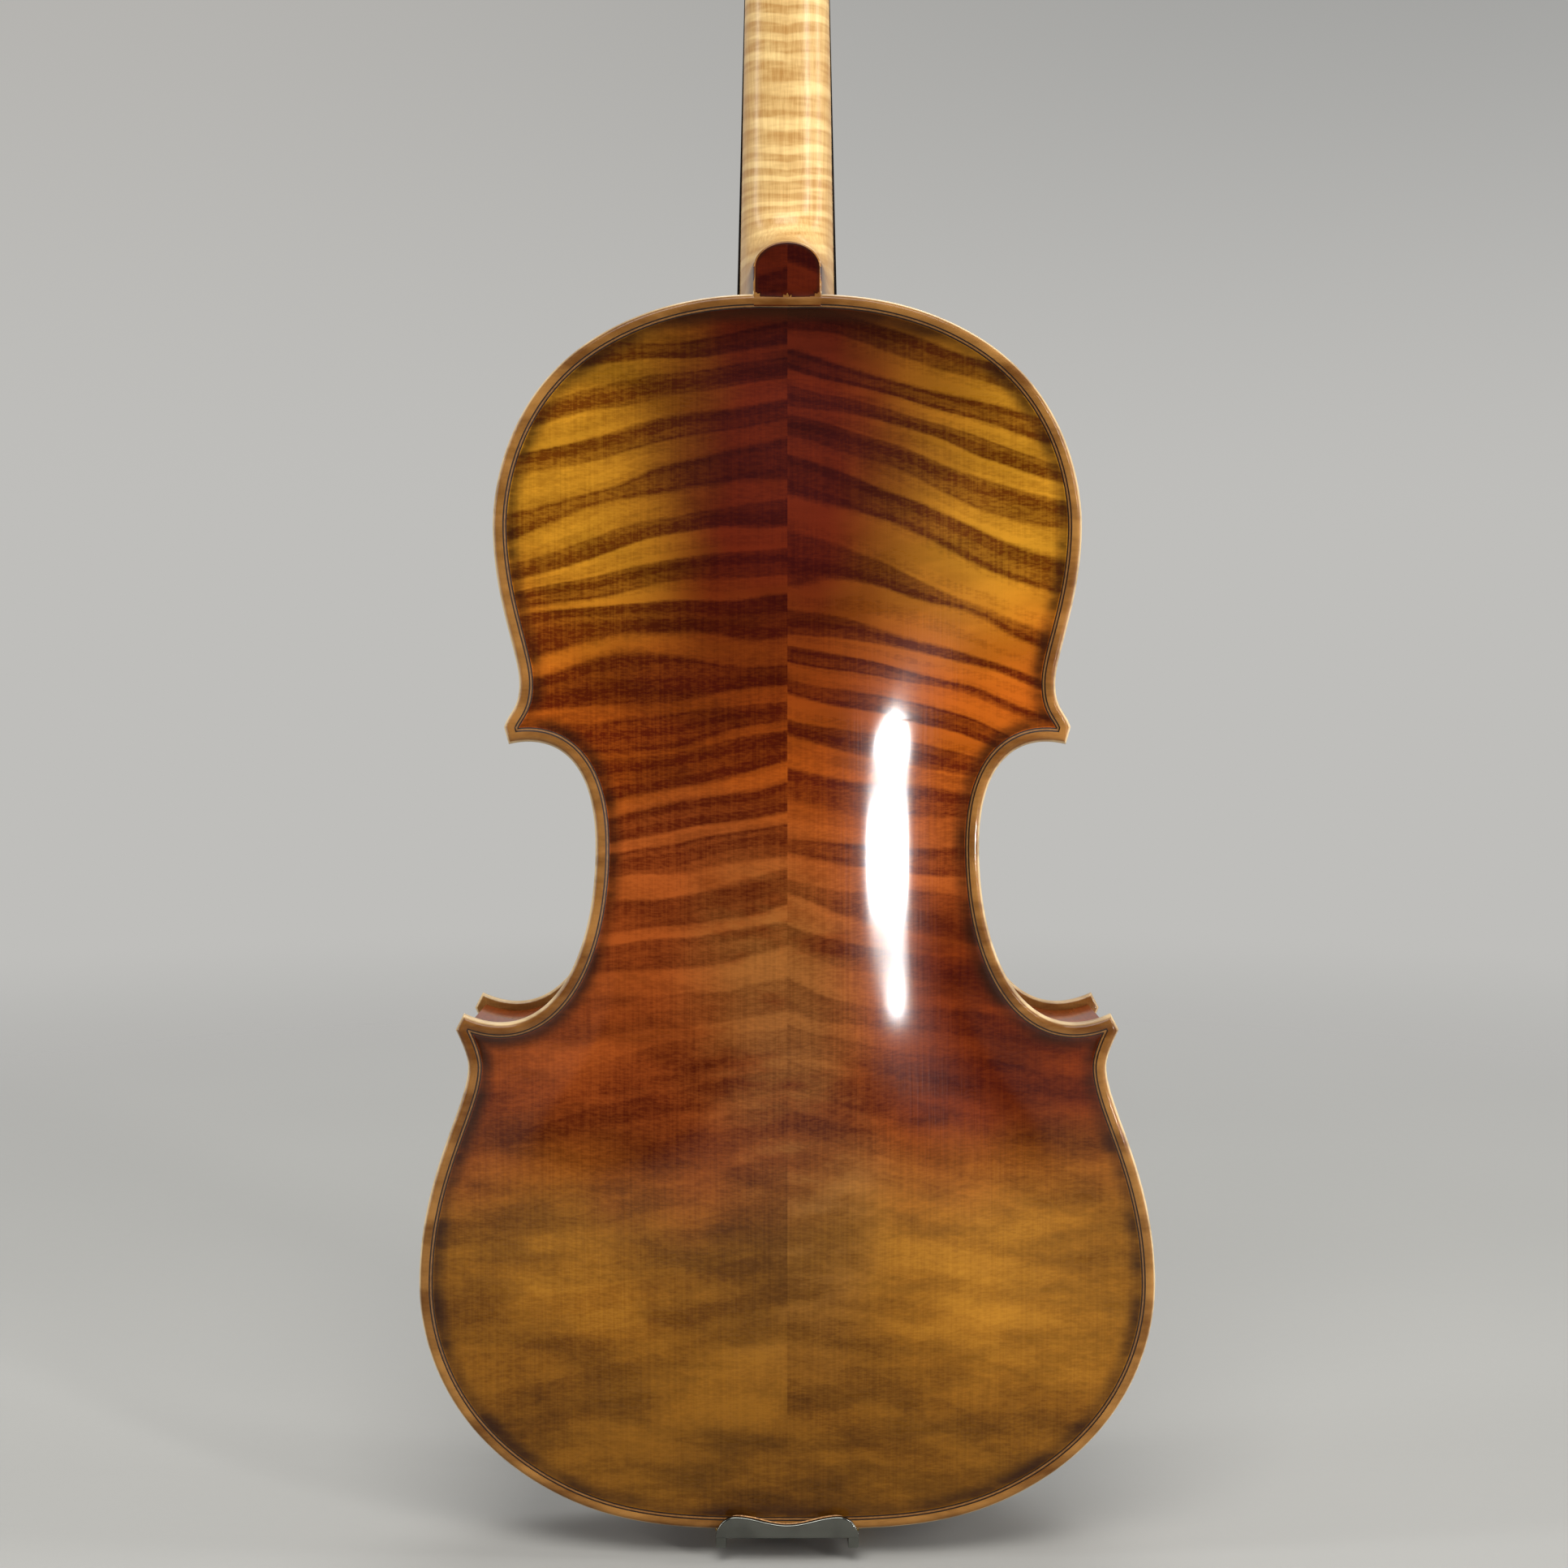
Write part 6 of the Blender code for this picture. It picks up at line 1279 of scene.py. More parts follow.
def make_pegs():
    for index, (name, side) in enumerate(PEGS):
        outer = head_half(peg_place(index)[1])
        tip, collar = -outer - 0.0012, outer + 0.0052
        centre = collar + 0.0022 + 0.0085
        profile = [(0, centre), (0.0024, centre - 0.0045), (0.0030, collar + 0.0034),
                   (0.0040, collar + 0.0030), (0.0044, collar + 0.0026), (0.0036, collar + 0.0022),
                   (0.0054, collar + 0.0018), (0.0060, collar + 0.0013),
                   (0.0060, collar + 0.0006), (0.0054, collar), (0.0046, collar - 0.0003),
                   (peg_radius(collar) + 0.0002, collar - 0.0008), (peg_radius(collar), collar - 0.0014),
                   (peg_radius(tip), tip + 0.0008), (peg_radius(tip) - 0.0003, tip + 0.0002),
                   (peg_radius(tip) - 0.0010, tip), (0, tip)]
        pip = [(0.0019 * math.sin(a), centre + 0.0079 + 0.0009 * math.cos(a))
               for a in np.linspace(0, math.pi, 9)]
        peg = cut(turned(profile, 48), thumb_head(centre), turned(pip, 24), operation="UNION")
        place = peg_matrix(index, side)
        piece(moved(peg, place), "peg_" + name, EBONY, ["peg_" + name], "peg_" + name, 34)
        radius = STRING_RADII[name]
        inner = outer - CHEEK - 0.0022
        coil = []
        for turn in np.linspace(0, 6, 6 * 24 + 1):
            angle = math.pi / 2 + 2 * math.pi * turn
            reach = inner - 2.15 * radius * turn
            lift = peg_radius(reach) + radius + 0.00005
            coil.append(place @ Vector((lift * math.cos(angle), lift * math.sin(angle), reach)))
        piece(tube(coil, radius, 10), "winding_" + name, SILK, (),
              "peg_" + name, 60)


# Bridge, strings and tailpiece

STRING_NAMES = ("C", "G", "D", "A")
STRING_RADII = {"C": 0.000575, "G": 0.00045, "D": 0.0004, "A": 0.00035}
SPREAD_AT_NUT, SPREAD_AT_BRIDGE = 0.0172, 0.0375
BRIDGE_AT = BODY_TOP - 0.220
BRIDGE_HEIGHT, BRIDGE_HALF = 0.0378, 0.024
BRIDGE_FOOT, BRIDGE_EDGE = 0.0050, 0.0017
TAIL_LENGTH, TAIL_TOP_HALF, TAIL_END_HALF, TAIL_THICK = 0.122, 0.023, 0.01175, 0.0050
SADDLE_RISE = 0.0075
GUT_RADIUS = 0.0009
BUTTON_REACH = 0.013


def string_x(name, spread):
    return spread * (0.5 - STRING_NAMES.index(name) / 3)


def belly_top(x, z):
    """Y of the belly's face."""
    return RIB_TOP + arch_height(BELLY_ARCH, x, z - BODY_BOTTOM)


def bridge_top(x):
    return (belly_top(0, BRIDGE_AT) + BRIDGE_HEIGHT + 0.065 * x
            + math.sqrt(BOARD_RADIUS ** 2 - x ** 2) - BOARD_RADIUS)


def outline_plate(loops, thickness, rounding):
    """A plate in X and Z with rounded edges, centred on y = 0, from its loops of points."""
    curve = bpy.data.curves.new("outline", "CURVE")
    curve.dimensions = "2D"
    curve.fill_mode = "BOTH"
    curve.extrude = thickness / 2 - rounding
    curve.bevel_depth = rounding
    curve.bevel_resolution = 2
    curve.offset = -rounding
    for points in loops:
        spline = curve.splines.new("POLY")
        spline.points.add(len(points) - 1)
        for point, (x, z) in zip(spline.points, points):
            point.co = (x, z, 0, 1)
        spline.use_cyclic_u = True
    item = bpy.data.objects.new("outline", curve)
    bpy.context.scene.collection.objects.link(item)
    graph = bpy.context.evaluated_depsgraph_get()
    bm = bmesh.new()
    bm.from_mesh(item.evaluated_get(graph).to_mesh())
    bpy.data.objects.remove(item)
    bmesh.ops.remove_doubles(bm, verts=bm.verts, dist=1e-6)
    return moved(bm, Matrix.Rotation(math.pi / 2, 4, "X"))


def make_bridge():
    base, high = belly_top(0, BRIDGE_AT), BRIDGE_HEIGHT
    half, inner = BRIDGE_HALF, BRIDGE_HALF - 0.0125
    flank = ((1.0, 0.055), (0.90, 0.115), (0.72, 0.165), (0.60, 0.225), (0.62, 0.275), (0.80, 0.335),
             (0.90, 0.400), (0.86, 0.455), (0.72, 0.450), (0.58, 0.430), (0.50, 0.480), (0.48, 0.560),
             (0.56, 0.625), (0.70, 0.620), (0.84, 0.590), (0.93, 0.640), (0.95, 0.720))
    sides = []
    for side in (1, -1):
        arch = smooth_line([(0, base + high * 0.32), (inner * 0.45, base + high * 0.295),
                            (inner * 0.85, base + high * 0.20), (inner, base + high * 0.09)], 18)
        foot = [(x, belly_top(x, BRIDGE_AT) + GAP) for x in np.linspace(inner, half, 12)]
        rise = smooth_line([(half * a, base + high * b) for a, b in flank], 90)
        top = [(half * share, bridge_top(side * half * share)) for share in np.linspace(0.93, 0.03, 24)]
        sides.append([(side * x, y) for x, y in [tuple(p) for p in arch] + foot
                      + [tuple(p) for p in rise] + top])
    loop = sides[0] + sides[1][::-1]
    heart = smooth_line([(0, 0.655), (0.0030, 0.70), (0.0052, 0.655), (0.0035, 0.585), (0.0012, 0.545),
                         (0.0004, 0.50), (-0.0004, 0.50), (-0.0012, 0.545), (-0.0035, 0.585),
                         (-0.0052, 0.655), (-0.0030, 0.70)], 60, closed=True)[:-1]
    heart = [(x, base + high * share) for x, share in heart]
    bm = outline_plate([loop, heart], 1.0, 0.0)
    moved(bm, Matrix.Rotation(-math.pi / 2, 4, "X"))
    for vert in bm.verts:
        share = (vert.co.y - base) / high
        bulge = 0.0003 * math.sin(math.pi * min(1, max(0, share)))
        front = BRIDGE_FOOT + (BRIDGE_EDGE - BRIDGE_FOOT) * share + bulge
        vert.co.z = BRIDGE_AT - BRIDGE_FOOT / 2 + (front if vert.co.z > 0 else 0)
    rims = [edge for edge in bm.edges if len(edge.link_faces) == 2 and edge.calc_face_angle(0) > 1.2
            and abs(edge.verts[0].co.z - edge.verts[1].co.z) < 0.0006]
    bmesh.ops.bevel(bm, geom=rims, offset=0.0003, segments=2, profile=0.5, material=-1, affect="EDGES",
                    clamp_overlap=True)
    piece(bm, "bridge", BRIDGE_WOOD, ["bridge"], sharp=45)


def tail_frame():
    start = Vector((0, EDGE_PLANE + SADDLE_RISE - 0.0005, BODY_BOTTOM + SADDLE_LENGTH + 0.003))
    goal = Vector((0, bridge_top(0) - TAIL_THICK - 0.0010, BRIDGE_AT))
    along = (goal - start).normalized()
    return start, along, Vector((0, along.z, -along.y))


TAIL_START, TAIL_ALONG, TAIL_NORMAL = tail_frame()


def on_tail(x, n, v):
    return TAIL_START + TAIL_ALONG * v + TAIL_NORMAL * n + Vector((x, 0, 0))


def tail_half(v):
    return TAIL_END_HALF + (TAIL_TOP_HALF - TAIL_END_HALF) * v / TAIL_LENGTH


def tail_top(x, v):
    return TAIL_THICK * (1 - 0.40 * (x / tail_half(v)) ** 2)


def string_tail_x(name):
    return string_x(name, SPREAD_AT_BRIDGE * 0.92)


def rod(start, end, radius, end_radius=None, sides=32):
    bm = bmesh.new()
    start, end = Vector(start), Vector(end)
    turn = (end - start).to_track_quat("Z", "X").to_matrix().to_4x4()
    bmesh.ops.create_cone(bm, cap_ends=True, segments=sides, radius1=radius,
                          radius2=radius if end_radius is None else end_radius,
                          depth=(end - start).length, matrix=Matrix.Translation((start + end) / 2) @ turn)
    return bm


def tail_box(x, half, low, high, start, end):
    return loft([[on_tail(x + a * half, n, v) for a, n in ((-1, low), (1, low), (1, high), (-1, high))]
                 for v in (start, end)])


FRET_AT = TAIL_LENGTH - 0.0035
TUNER_X = string_tail_x("A")
TUNER_AT = TAIL_LENGTH - 0.0190 + 0.0030


def make_tailpiece():
    rings = []
    fret = ((-0.0020, 0), (-0.0018, 0.0009), (-0.0013, 0.0012), (0.0005, 0.0012), (0.0010, 0.0009),
            (0.0012, 0))
    ways = [(0, 0.80, 0.0008, 0), (0.0005, 0.90, 0.0003, 0), (0.0016, 0.97, 0, 0), (0.0040, 1, 0, 0)]
    ways += [(v, 1, 0, 0) for v in np.linspace(0.012, FRET_AT - 0.006, 14)]
    ways += [(FRET_AT + way, 1, 0, rise) for way, rise in fret]
    ways += [(TAIL_LENGTH - 0.0012, 1, 0, 0), (TAIL_LENGTH - 0.0003, 0.985, 0.0003, 0),
             (TAIL_LENGTH, 0.96, 0.0008, 0)]
    for v, share, trim, rise in ways:
        half = tail_half(v) * share
        top = [(half * a, tail_top(half * a, v) + rise - trim - 0.0007 * abs(a) ** 14)
               for a in np.linspace(1, -1, 27)]
        low = [(half * a, trim + 0.0007 * abs(a) ** 10) for a in np.linspace(-1, 1, 9)]
        rings.append([on_tail(x, n, v) for x, n in top + low])
    cuts = []
    for name in STRING_NAMES:
        if name == "A":
            continue
        x = string_tail_x(name)
        cuts.append(tail_box(x, STRING_RADII[name] + GAP, -0.01, 0.02, FRET_AT - 0.011, FRET_AT - 0.003))
        cuts.append(rod(on_tail(x, -0.01, FRET_AT - 0.011), on_tail(x, 0.02, FRET_AT - 0.011), 0.0016))
    cuts.append(rod(on_tail(TUNER_X, -0.01, TUNER_AT), on_tail(TUNER_X, 0.02, TUNER_AT), 0.0019))
    for side in (1, -1):
        x = side * GUT_HALF
        cuts.append(rod(on_tail(x, 0.0022, -0.002), on_tail(x, 0.0022, 0.008), GUT_RADIUS + GAP))
    piece(cut(loft(rings), *cuts), "tailpiece", EBONY, ["tailpiece"], sharp=32)


GUT_HALF = TAIL_END_HALF * 0.54


def make_tail_gut():
    over = EDGE_PLANE + SADDLE_RISE + GUT_RADIUS + GAP
    low = BODY_BOTTOM - GUT_RADIUS - GAP
    neck = 0.0052 + GUT_RADIUS + GAP
    groove = BUTTON_REACH - 0.0026
    half = GUT_HALF
    points = [on_tail(half, 0.0022, 0.007), on_tail(half, 0.0022, -0.0012),
              (half, over, BODY_BOTTOM + SADDLE_LENGTH * 0.6), (half, over - 0.0004, BODY_BOTTOM + 0.0009),
              (half, over - 0.0020, low + 0.0002), (half, RIB_TOP + EDGE_THICKNESS * 0.5, low),
              (half * 0.97, RIB_TOP - 0.001, low + 0.0001), (neck, neck, groove), (neck, 0, groove)]
    for angle in np.linspace(0, -math.pi / 2, 7)[1:-1]:
        points.append((neck * math.cos(angle), neck * math.sin(angle), groove))
    points = [Vector(point) for point in points]
    whole = points + [Vector((0, -neck, groove))] + [Vector((-p.x, p.y, p.z)) for p in reversed(points)]
    piece(tube(smooth_line(whole, 170), GUT_RADIUS, 20), "tail_gut", CORD, ["tail_gut"],
          sharp=60)


def make_saddle():
    low, high = RIB_TOP + GAP, EDGE_PLANE + SADDLE_RISE
    front, back = BODY_BOTTOM, BODY_BOTTOM + SADDLE_LENGTH
    rings = []
    for share in np.linspace(-1, 1, 41):
        ramp = min(1, (1 - abs(share)) * SADDLE_HALF / 0.0065)
        rise = EDGE_PLANE + 0.0012 + (high - EDGE_PLANE - 0.0012) * (0.5 - 0.5 * math.cos(math.pi * ramp))
        curve = [(rise - 0.0026 + 0.0026 * math.sin(a), front + 0.0026 - 0.0026 * math.cos(a))
                 for a in np.linspace(0, math.pi / 2, 7)]
        curve += [(rise, back - 0.0005), (rise - 0.0005, back)]
        rings.append([(share * SADDLE_HALF, y, z) for y, z in [(low, back), (low, front)] + curve])
    piece(loft(rings), "saddle", EBONY, ["saddle"], sharp=40)


def make_end_button():
    r, wall = 0.0075, BUTTON_REACH - GAP
    rounding = [(r - 0.0026 + 0.0026 * math.sin(a), 0.0026 - 0.0026 * math.cos(a))
                for a in np.linspace(0, math.pi / 2, 9)]
    profile = [(0, BUTTON_REACH + 0.022), (0.0033, BUTTON_REACH + 0.022), (0.0035, BUTTON_REACH + 0.0215),
               (0.0040, wall), (0.0064, wall), (0.0064, wall - 0.0004), (0.0054, wall - 0.0010),
               (0.0052, wall - 0.0018), (0.0052, wall - 0.0036), (0.0056, wall - 0.0044),
               (0.0066, wall - 0.0054), (0.0073, wall - 0.0060), (0.0075, wall - 0.0068),
               (0.0072, wall - 0.0073), (0.0075, wall - 0.0078)] + rounding[::-1]
    profile += [(0.0032, 0), (0.0028, 0.0003), (0.0024, 0.0003), (0.0020, 0), (0, 0)]
    piece(turned(profile, 72), "end_button", EBONY, ["end_button"], sharp=40)


def make_strings():
    for index, (name, side) in enumerate(PEGS):
        radius = STRING_RADII[name]
        q, p = peg_place(index)
        reach = head_half(p) - CHEEK - 0.0022
        x_nut, x_bridge, x_tail = (string_x(name, SPREAD_AT_NUT), string_x(name, SPREAD_AT_BRIDGE),
                                   string_tail_x(name))
        nut_q = board_top(x_nut, 0) + NUT_RISE + radius + GAP
        lift = peg_radius(reach) + radius + 0.00005
        head = [on_neck(side * reach, q + lift, p), on_neck(x_nut, nut_q - 0.0006, NUT_LENGTH + 0.0004),
                on_neck(x_nut, nut_q - 0.0002, NUT_LENGTH * 0.7), on_neck(x_nut, nut_q, NUT_LENGTH * 0.4),
                on_neck(x_nut, nut_q, -0.0005)]
        top = bridge_top(x_bridge) + radius + GAP
        face = BRIDGE_AT - BRIDGE_FOOT / 2
        span = [Vector((x_bridge, top, face + BRIDGE_EDGE)), Vector((x_bridge, top, face))]
        if name == "A":
            tail = [on_tail(x_tail, TUNER_HOOK, TAIL_LENGTH + 0.0046)]
            ball = None
        else:
            over = tail_top(x_tail, FRET_AT) + 0.0012 + radius + GAP
            tail = [on_tail(x_tail, over, FRET_AT + 0.0006), on_tail(x_tail, over, FRET_AT - 0.0010),
                    on_tail(x_tail, over - 0.0015, FRET_AT - 0.0050),
                    on_tail(x_tail, -0.0004, FRET_AT - 0.0075),
                    on_tail(x_tail, -0.0026, FRET_AT - 0.0076)]
            ball = on_tail(x_tail, -0.0026, FRET_AT - 0.0076)
        line = head + span + tail
        wire = tube(line, radius, 12)
        if ball:
            barrel = turned([(0.0005, -0.0015), (0.0014, -0.0015), (0.0017, -0.0011), (0.0017, 0.0011),
                             (0.0014, 0.0015), (0.0005, 0.0015), (0.0005, -0.0015)], 28)
            moved(barrel, Matrix.Translation(ball) @ Matrix.Rotation(math.pi / 2, 4, "Y"))
            wire = cut(wire, barrel, operation="UNION")
        piece(wire, "string_" + name, WOUND[name], ["string_" + name], sharp=60)
        silks = (("head", head[:2], 0.0), ("tail", [span[1] * 0.30 + tail[0] * 0.70, tail[0]], 0.0))
        for end, (start, stop), trim in silks:
            way = (stop - start).normalized()
            cover = tube([start + way * 0.0006, start + way * 0.0010, stop - way * 0.0010,
                          stop - way * 0.0006], radius + 0.00012, 12, scales=[0.9, 1, 1, 0.9])
            piece(cover, "silk_%s_%s" % (end, name), SILK, (), sharp=60)


# Fine tuner

TUNER_BASE = tail_top(abs(TUNER_X) - 0.0025, TAIL_LENGTH) + 0.0012 + GAP
TUNER_TOP = TUNER_BASE + 0.0030
TUNER_HOOK = TUNER_TOP + 0.0012


def on_tuner(points, half, rounding):
    bm = loft([[on_tail(TUNER_X + side * half, n, v) for n, v in points] for side in (-1, 1)])
    return bevelled(bm, rounding, 3)


def make_fine_tuner():
    end, top = TAIL_LENGTH, TUNER_TOP
    bar = [(TUNER_BASE, end - 0.0190), (top, end - 0.0190), (top, end + 0.0046), (-0.0030, end + 0.0046),
           (-0.0030, end + GAP), (TUNER_BASE, end + GAP)]
    slot = tail_box(TUNER_X, 0.0013, -0.02, 0.03, end - 0.0016, end + 0.01)
    hole = rod(on_tail(TUNER_X, -0.005, TUNER_AT), on_tail(TUNER_X, 0.02, TUNER_AT), 0.0016)
    ends = [on_tail(TUNER_X + side * 0.0020, 0.0010, end + 0.0026) for side in (-1, 1)]
    collar = turned([(0.0016, top - 0.0004), (0.0026, top - 0.0004), (0.0026, top + 0.0010),
                     (0.0023, top + 0.0014), (0.0016, top + 0.0014), (0.0016, top - 0.0004)], 40)
    turn = Matrix.Translation(on_tail(TUNER_X, 0, TUNER_AT)) @ TAIL_NORMAL.to_track_quat(
        "Z", "X").to_matrix().to_4x4()
    body = cut(cut(on_tuner(bar, 0.0025, 0.0004), slot, hole), moved(collar, turn), rod(*ends, 0.0005),
               operation="UNION")
    piece(body, "fine_tuner_body", NICKEL, ["fine_tuner_body"], sharp=40)
    under = -0.0034
    lever = [(under - 0.0020, TUNER_AT - 0.0020), (under, TUNER_AT - 0.0020), (under, end + 0.0012),
             (top + 0.0026, end + 0.0012), (top + 0.0026, end + 0.0040), (under - 0.0020, end + 0.0040)]
    notch = rod(on_tail(TUNER_X, top + 0.0030, end), on_tail(TUNER_X, top + 0.0030, end + 0.006), 0.0005)
    lever = cut(on_tuner(lever, 0.0010, 0.00025), rod(*ends, 0.0008), notch)
    piece(lever, "fine_tuner_lever", NICKEL, ["fine_tuner_lever"],
          "fine_tuner_lever", 40)
    low, high = top + 0.0032, top + 0.0062
    profile = [(0, high), (0.0022, high), (0.0027, high - 0.0003), (0.0029, high - 0.0006),
               (0.0029, low + 0.0006), (0.0027, low + 0.0003), (0.0022, low), (0.0013, low - 0.0002)]
    for thread in np.arange(low - 0.0004, under + 3 * GAP, -0.0005):
        profile += [(0.0013, thread), (0.00112, thread - 0.00025)]
    profile += [(0.0011, under + 2 * GAP), (0, under + GAP)]
    screw = turned(profile, 48)
    for vert in screw.verts:
        radius = math.hypot(vert.co.x, vert.co.y)
        if radius > 0.0028:
            angle = math.atan2(vert.co.y, vert.co.x)
            vert.co.xy *= 1 + 0.035 * math.cos(24 * angle)
    piece(moved(screw, turn), "fine_tuner_screw", NICKEL, ["fine_tuner_screw"],
          "fine_tuner_screw", 40)


# Chin rest and clamp

CLAMP_HALF, CLAMP_THICK, LEG_WIDTH = 0.02365, 0.0016, 0.0035
BARREL_RADIUS, BARREL_LENGTH, STUD_RADIUS = 0.0026, 0.024, 0.0013
CORK_THICK = 0.0020
BARREL_Z = BODY_BOTTOM - BARREL_RADIUS - 0.0012
LEG_X = CLAMP_HALF - LEG_WIDTH / 2
CHIN_SEAT = EDGE_PLANE + GAP + CORK_THICK + GAP
CUP_LENGTH, CUP_REACH, CHIN_FOOT, CHIN_RISE = 0.066, 0.090, 0.0110, 0.0190
SADDLE_SIDE = SADDLE_HALF + GAP


def clamp_outline(grow=0.0):
    """The foot plate's outline: two humps, a dip between them, a nearly straight edge."""
    half = CLAMP_HALF + grow
    points = []
    for angle in np.linspace(0, math.pi, 97):
        share = abs(math.cos(angle))
        round_end = math.sqrt(max(0, 1 - max(0, (share - 0.72) / 0.28) ** 2))
        swell = 0.0034 + 0.0028 * math.sin(min(1, share / 0.74) * math.pi / 2) ** 2
        points.append((half * math.cos(angle), (swell + grow) * round_end - 0.0010 * (1 - round_end)))
    return points + [(-half, -0.0010 - grow), (half, -0.0010 - grow)]


def clamp_leg(x, outer, inner, end):
    """A strap bent from the plate round the body's edge, then along to its stud."""
    way = 1 if end > outer else -1
    low, high, top = BARREL_Z - 0.0013, BARREL_Z + 0.0013, BODY_BOTTOM + 0.0008
    bend = 0.0022
    points = [(outer, top)]
    points += [(outer + way * bend * (1 - math.cos(a)), low + bend * (1 - math.sin(a)))
               for a in np.linspace(0, math.pi / 2, 8)]
    points += [(end, low), (end, high), (inner + way * 0.0006, high), (inner, high + 0.0006), (inner, top)]
    half = LEG_WIDTH / 2
    return bevelled(loft([[(x + side * half, y, z) for y, z in points] for side in (-1, 1)]), 0.0004, 2)


def threaded(x, start, end):
    """A threaded stud along Y."""
    profile = [(0, 0), (STUD_RADIUS - 0.0003, 0)]
    length = abs(end - start)
    for z in np.arange(0.0003, length - 0.0003, 0.0006):
        profile += [(STUD_RADIUS, z), (STUD_RADIUS - 0.0002, z + 0.0003)]
    profile += [(STUD_RADIUS - 0.0003, length), (0, length)]
    way = math.copysign(1, end - start)
    return moved(turned(profile, 28), Matrix.Translation((x, start, BARREL_Z))
                 @ Matrix.Rotation(-way * math.pi / 2, 4, "X"))


def make_clamp():
    back = -EDGE_PLANE - 2 * GAP - CORK_THICK * 0.5
    plate = moved(outline_plate([clamp_outline()], CLAMP_THICK, 0.00045),
                  Matrix.Translation((0, back - CLAMP_THICK / 2, BODY_BOTTOM)))
    shaft = BARREL_LENGTH / 2
    legs, studs = [], []
    for name, side in SIDES:
        x = side * LEG_X
        legs.append(clamp_leg(x, back - CLAMP_THICK + 0.0001, back - 0.0001, -shaft - 0.0030))
        studs.append(threaded(x, -0.0015, -shaft - 0.0040))
    piece(cut(plate, *legs, *studs, operation="UNION"), "clamp_foot", CHROME_PAINTED_DARK,
          ["clamp_foot"], "clamp_foot", 40)
    strip = [(x * 0.97, max(s, GAP)) for x, s in clamp_outline(-0.0004)]
    piece(moved(outline_plate([strip], CORK_THICK * 0.5, 0.0001),
                Matrix.Translation((0, -EDGE_PLANE - GAP - CORK_THICK / 4, BODY_BOTTOM))),
          "clamp_foot_cork", CORK, ["clamp_foot_cork"], "clamp_foot", 40)
    bar_low = CHIN_SEAT + 0.0004
    bracket = bevelled(box((-CLAMP_HALF, bar_low, BARREL_Z - 0.0008),
                           (CLAMP_HALF, bar_low + 0.0080, BARREL_Z + 0.0008)), 0.0005, 3)
    arms = []
    for name, side in SIDES:
        x = side * LEG_X
        arms.append(bevelled(rod((x, bar_low + 0.0040, BARREL_Z), (x, shaft + 0.0030, BARREL_Z),
                                 LEG_WIDTH / 2), 0.0003, 2, 60))
        arms.append(threaded(x, 0.0015, shaft + 0.0040))
    piece(cut(bracket, *arms, operation="UNION"), "clamp_bracket", NICKEL,
          ["clamp_bracket"], sharp=40)
    for name, side in SIDES:
        r, bore = BARREL_RADIUS, STUD_RADIUS + GAP
        wall = [(bore, -shaft), (r - 0.0004, -shaft), (r, -shaft + 0.0004)]
        for ring in (-0.0085, 0.0085):
            wall += [(r, ring - 0.0006), (r - 0.0003, ring - 0.0002), (r - 0.0003, ring + 0.0002),
                     (r, ring + 0.0006)]
        wall += [(r, shaft - 0.0004), (r - 0.0004, shaft), (bore, shaft), (bore, -shaft)]
        place = (Matrix.Translation((side * LEG_X, 0, BARREL_Z)) @ Matrix.Rotation(-math.pi / 2, 4, "X"))
        keys = [rod((-0.004, 0, -0.0038), (0.004, 0, -0.0038), 0.00075),
                rod((0, -0.004, 0.0038), (0, 0.004, 0.0038), 0.00075)]
        barrel = moved(cut(turned(wall, 56), *keys), place)
        piece(barrel, "clamp_barrel_" + name, GILT, ["clamp_barrel_" + name],
              "clamp_barrel_" + name, 35)


def chin_outline(count):
    treble, far, deep = -SADDLE_HALF - CHIN_FOOT, CUP_REACH, CUP_LENGTH
    line = joined(
        bezier((treble, 0), (treble - 0.004, deep * 0.30), (treble + 0.012, deep * 0.50),
               (-0.004, deep * 0.66), 40),
        bezier((-0.004, deep * 0.66), (0.014, deep * 0.80), (far * 0.35, deep), (far * 0.58, deep), 40),
        bezier((far * 0.58, deep), (far * 0.95, deep), (far, deep * 0.70), (far * 0.97, deep * 0.50), 40),
        bezier((far * 0.97, deep * 0.50), (far * 0.93, deep * 0.24), (far * 0.72, 0.0),
               (far * 0.40, -0.0008), 40), np.array([(far * 0.40, -0.0008), (treble, 0)]))
    return resampled(line, count + 1)[:-1]


def chin_top(x, z):
    """Height of the chin rest's face: a rim round a hollow cup."""
    away = math.hypot((x - CUP_REACH * 0.56) / (CUP_REACH * 0.42), (z - CUP_LENGTH * 0.52) / (CUP_LENGTH * 0.46))
    dish = 0.0065 * (0.5 + 0.5 * math.cos(math.pi * min(1, away))) * 1.15
    return CHIN_SEAT + CHIN_RISE + 0.006 * z / CUP_LENGTH - dish


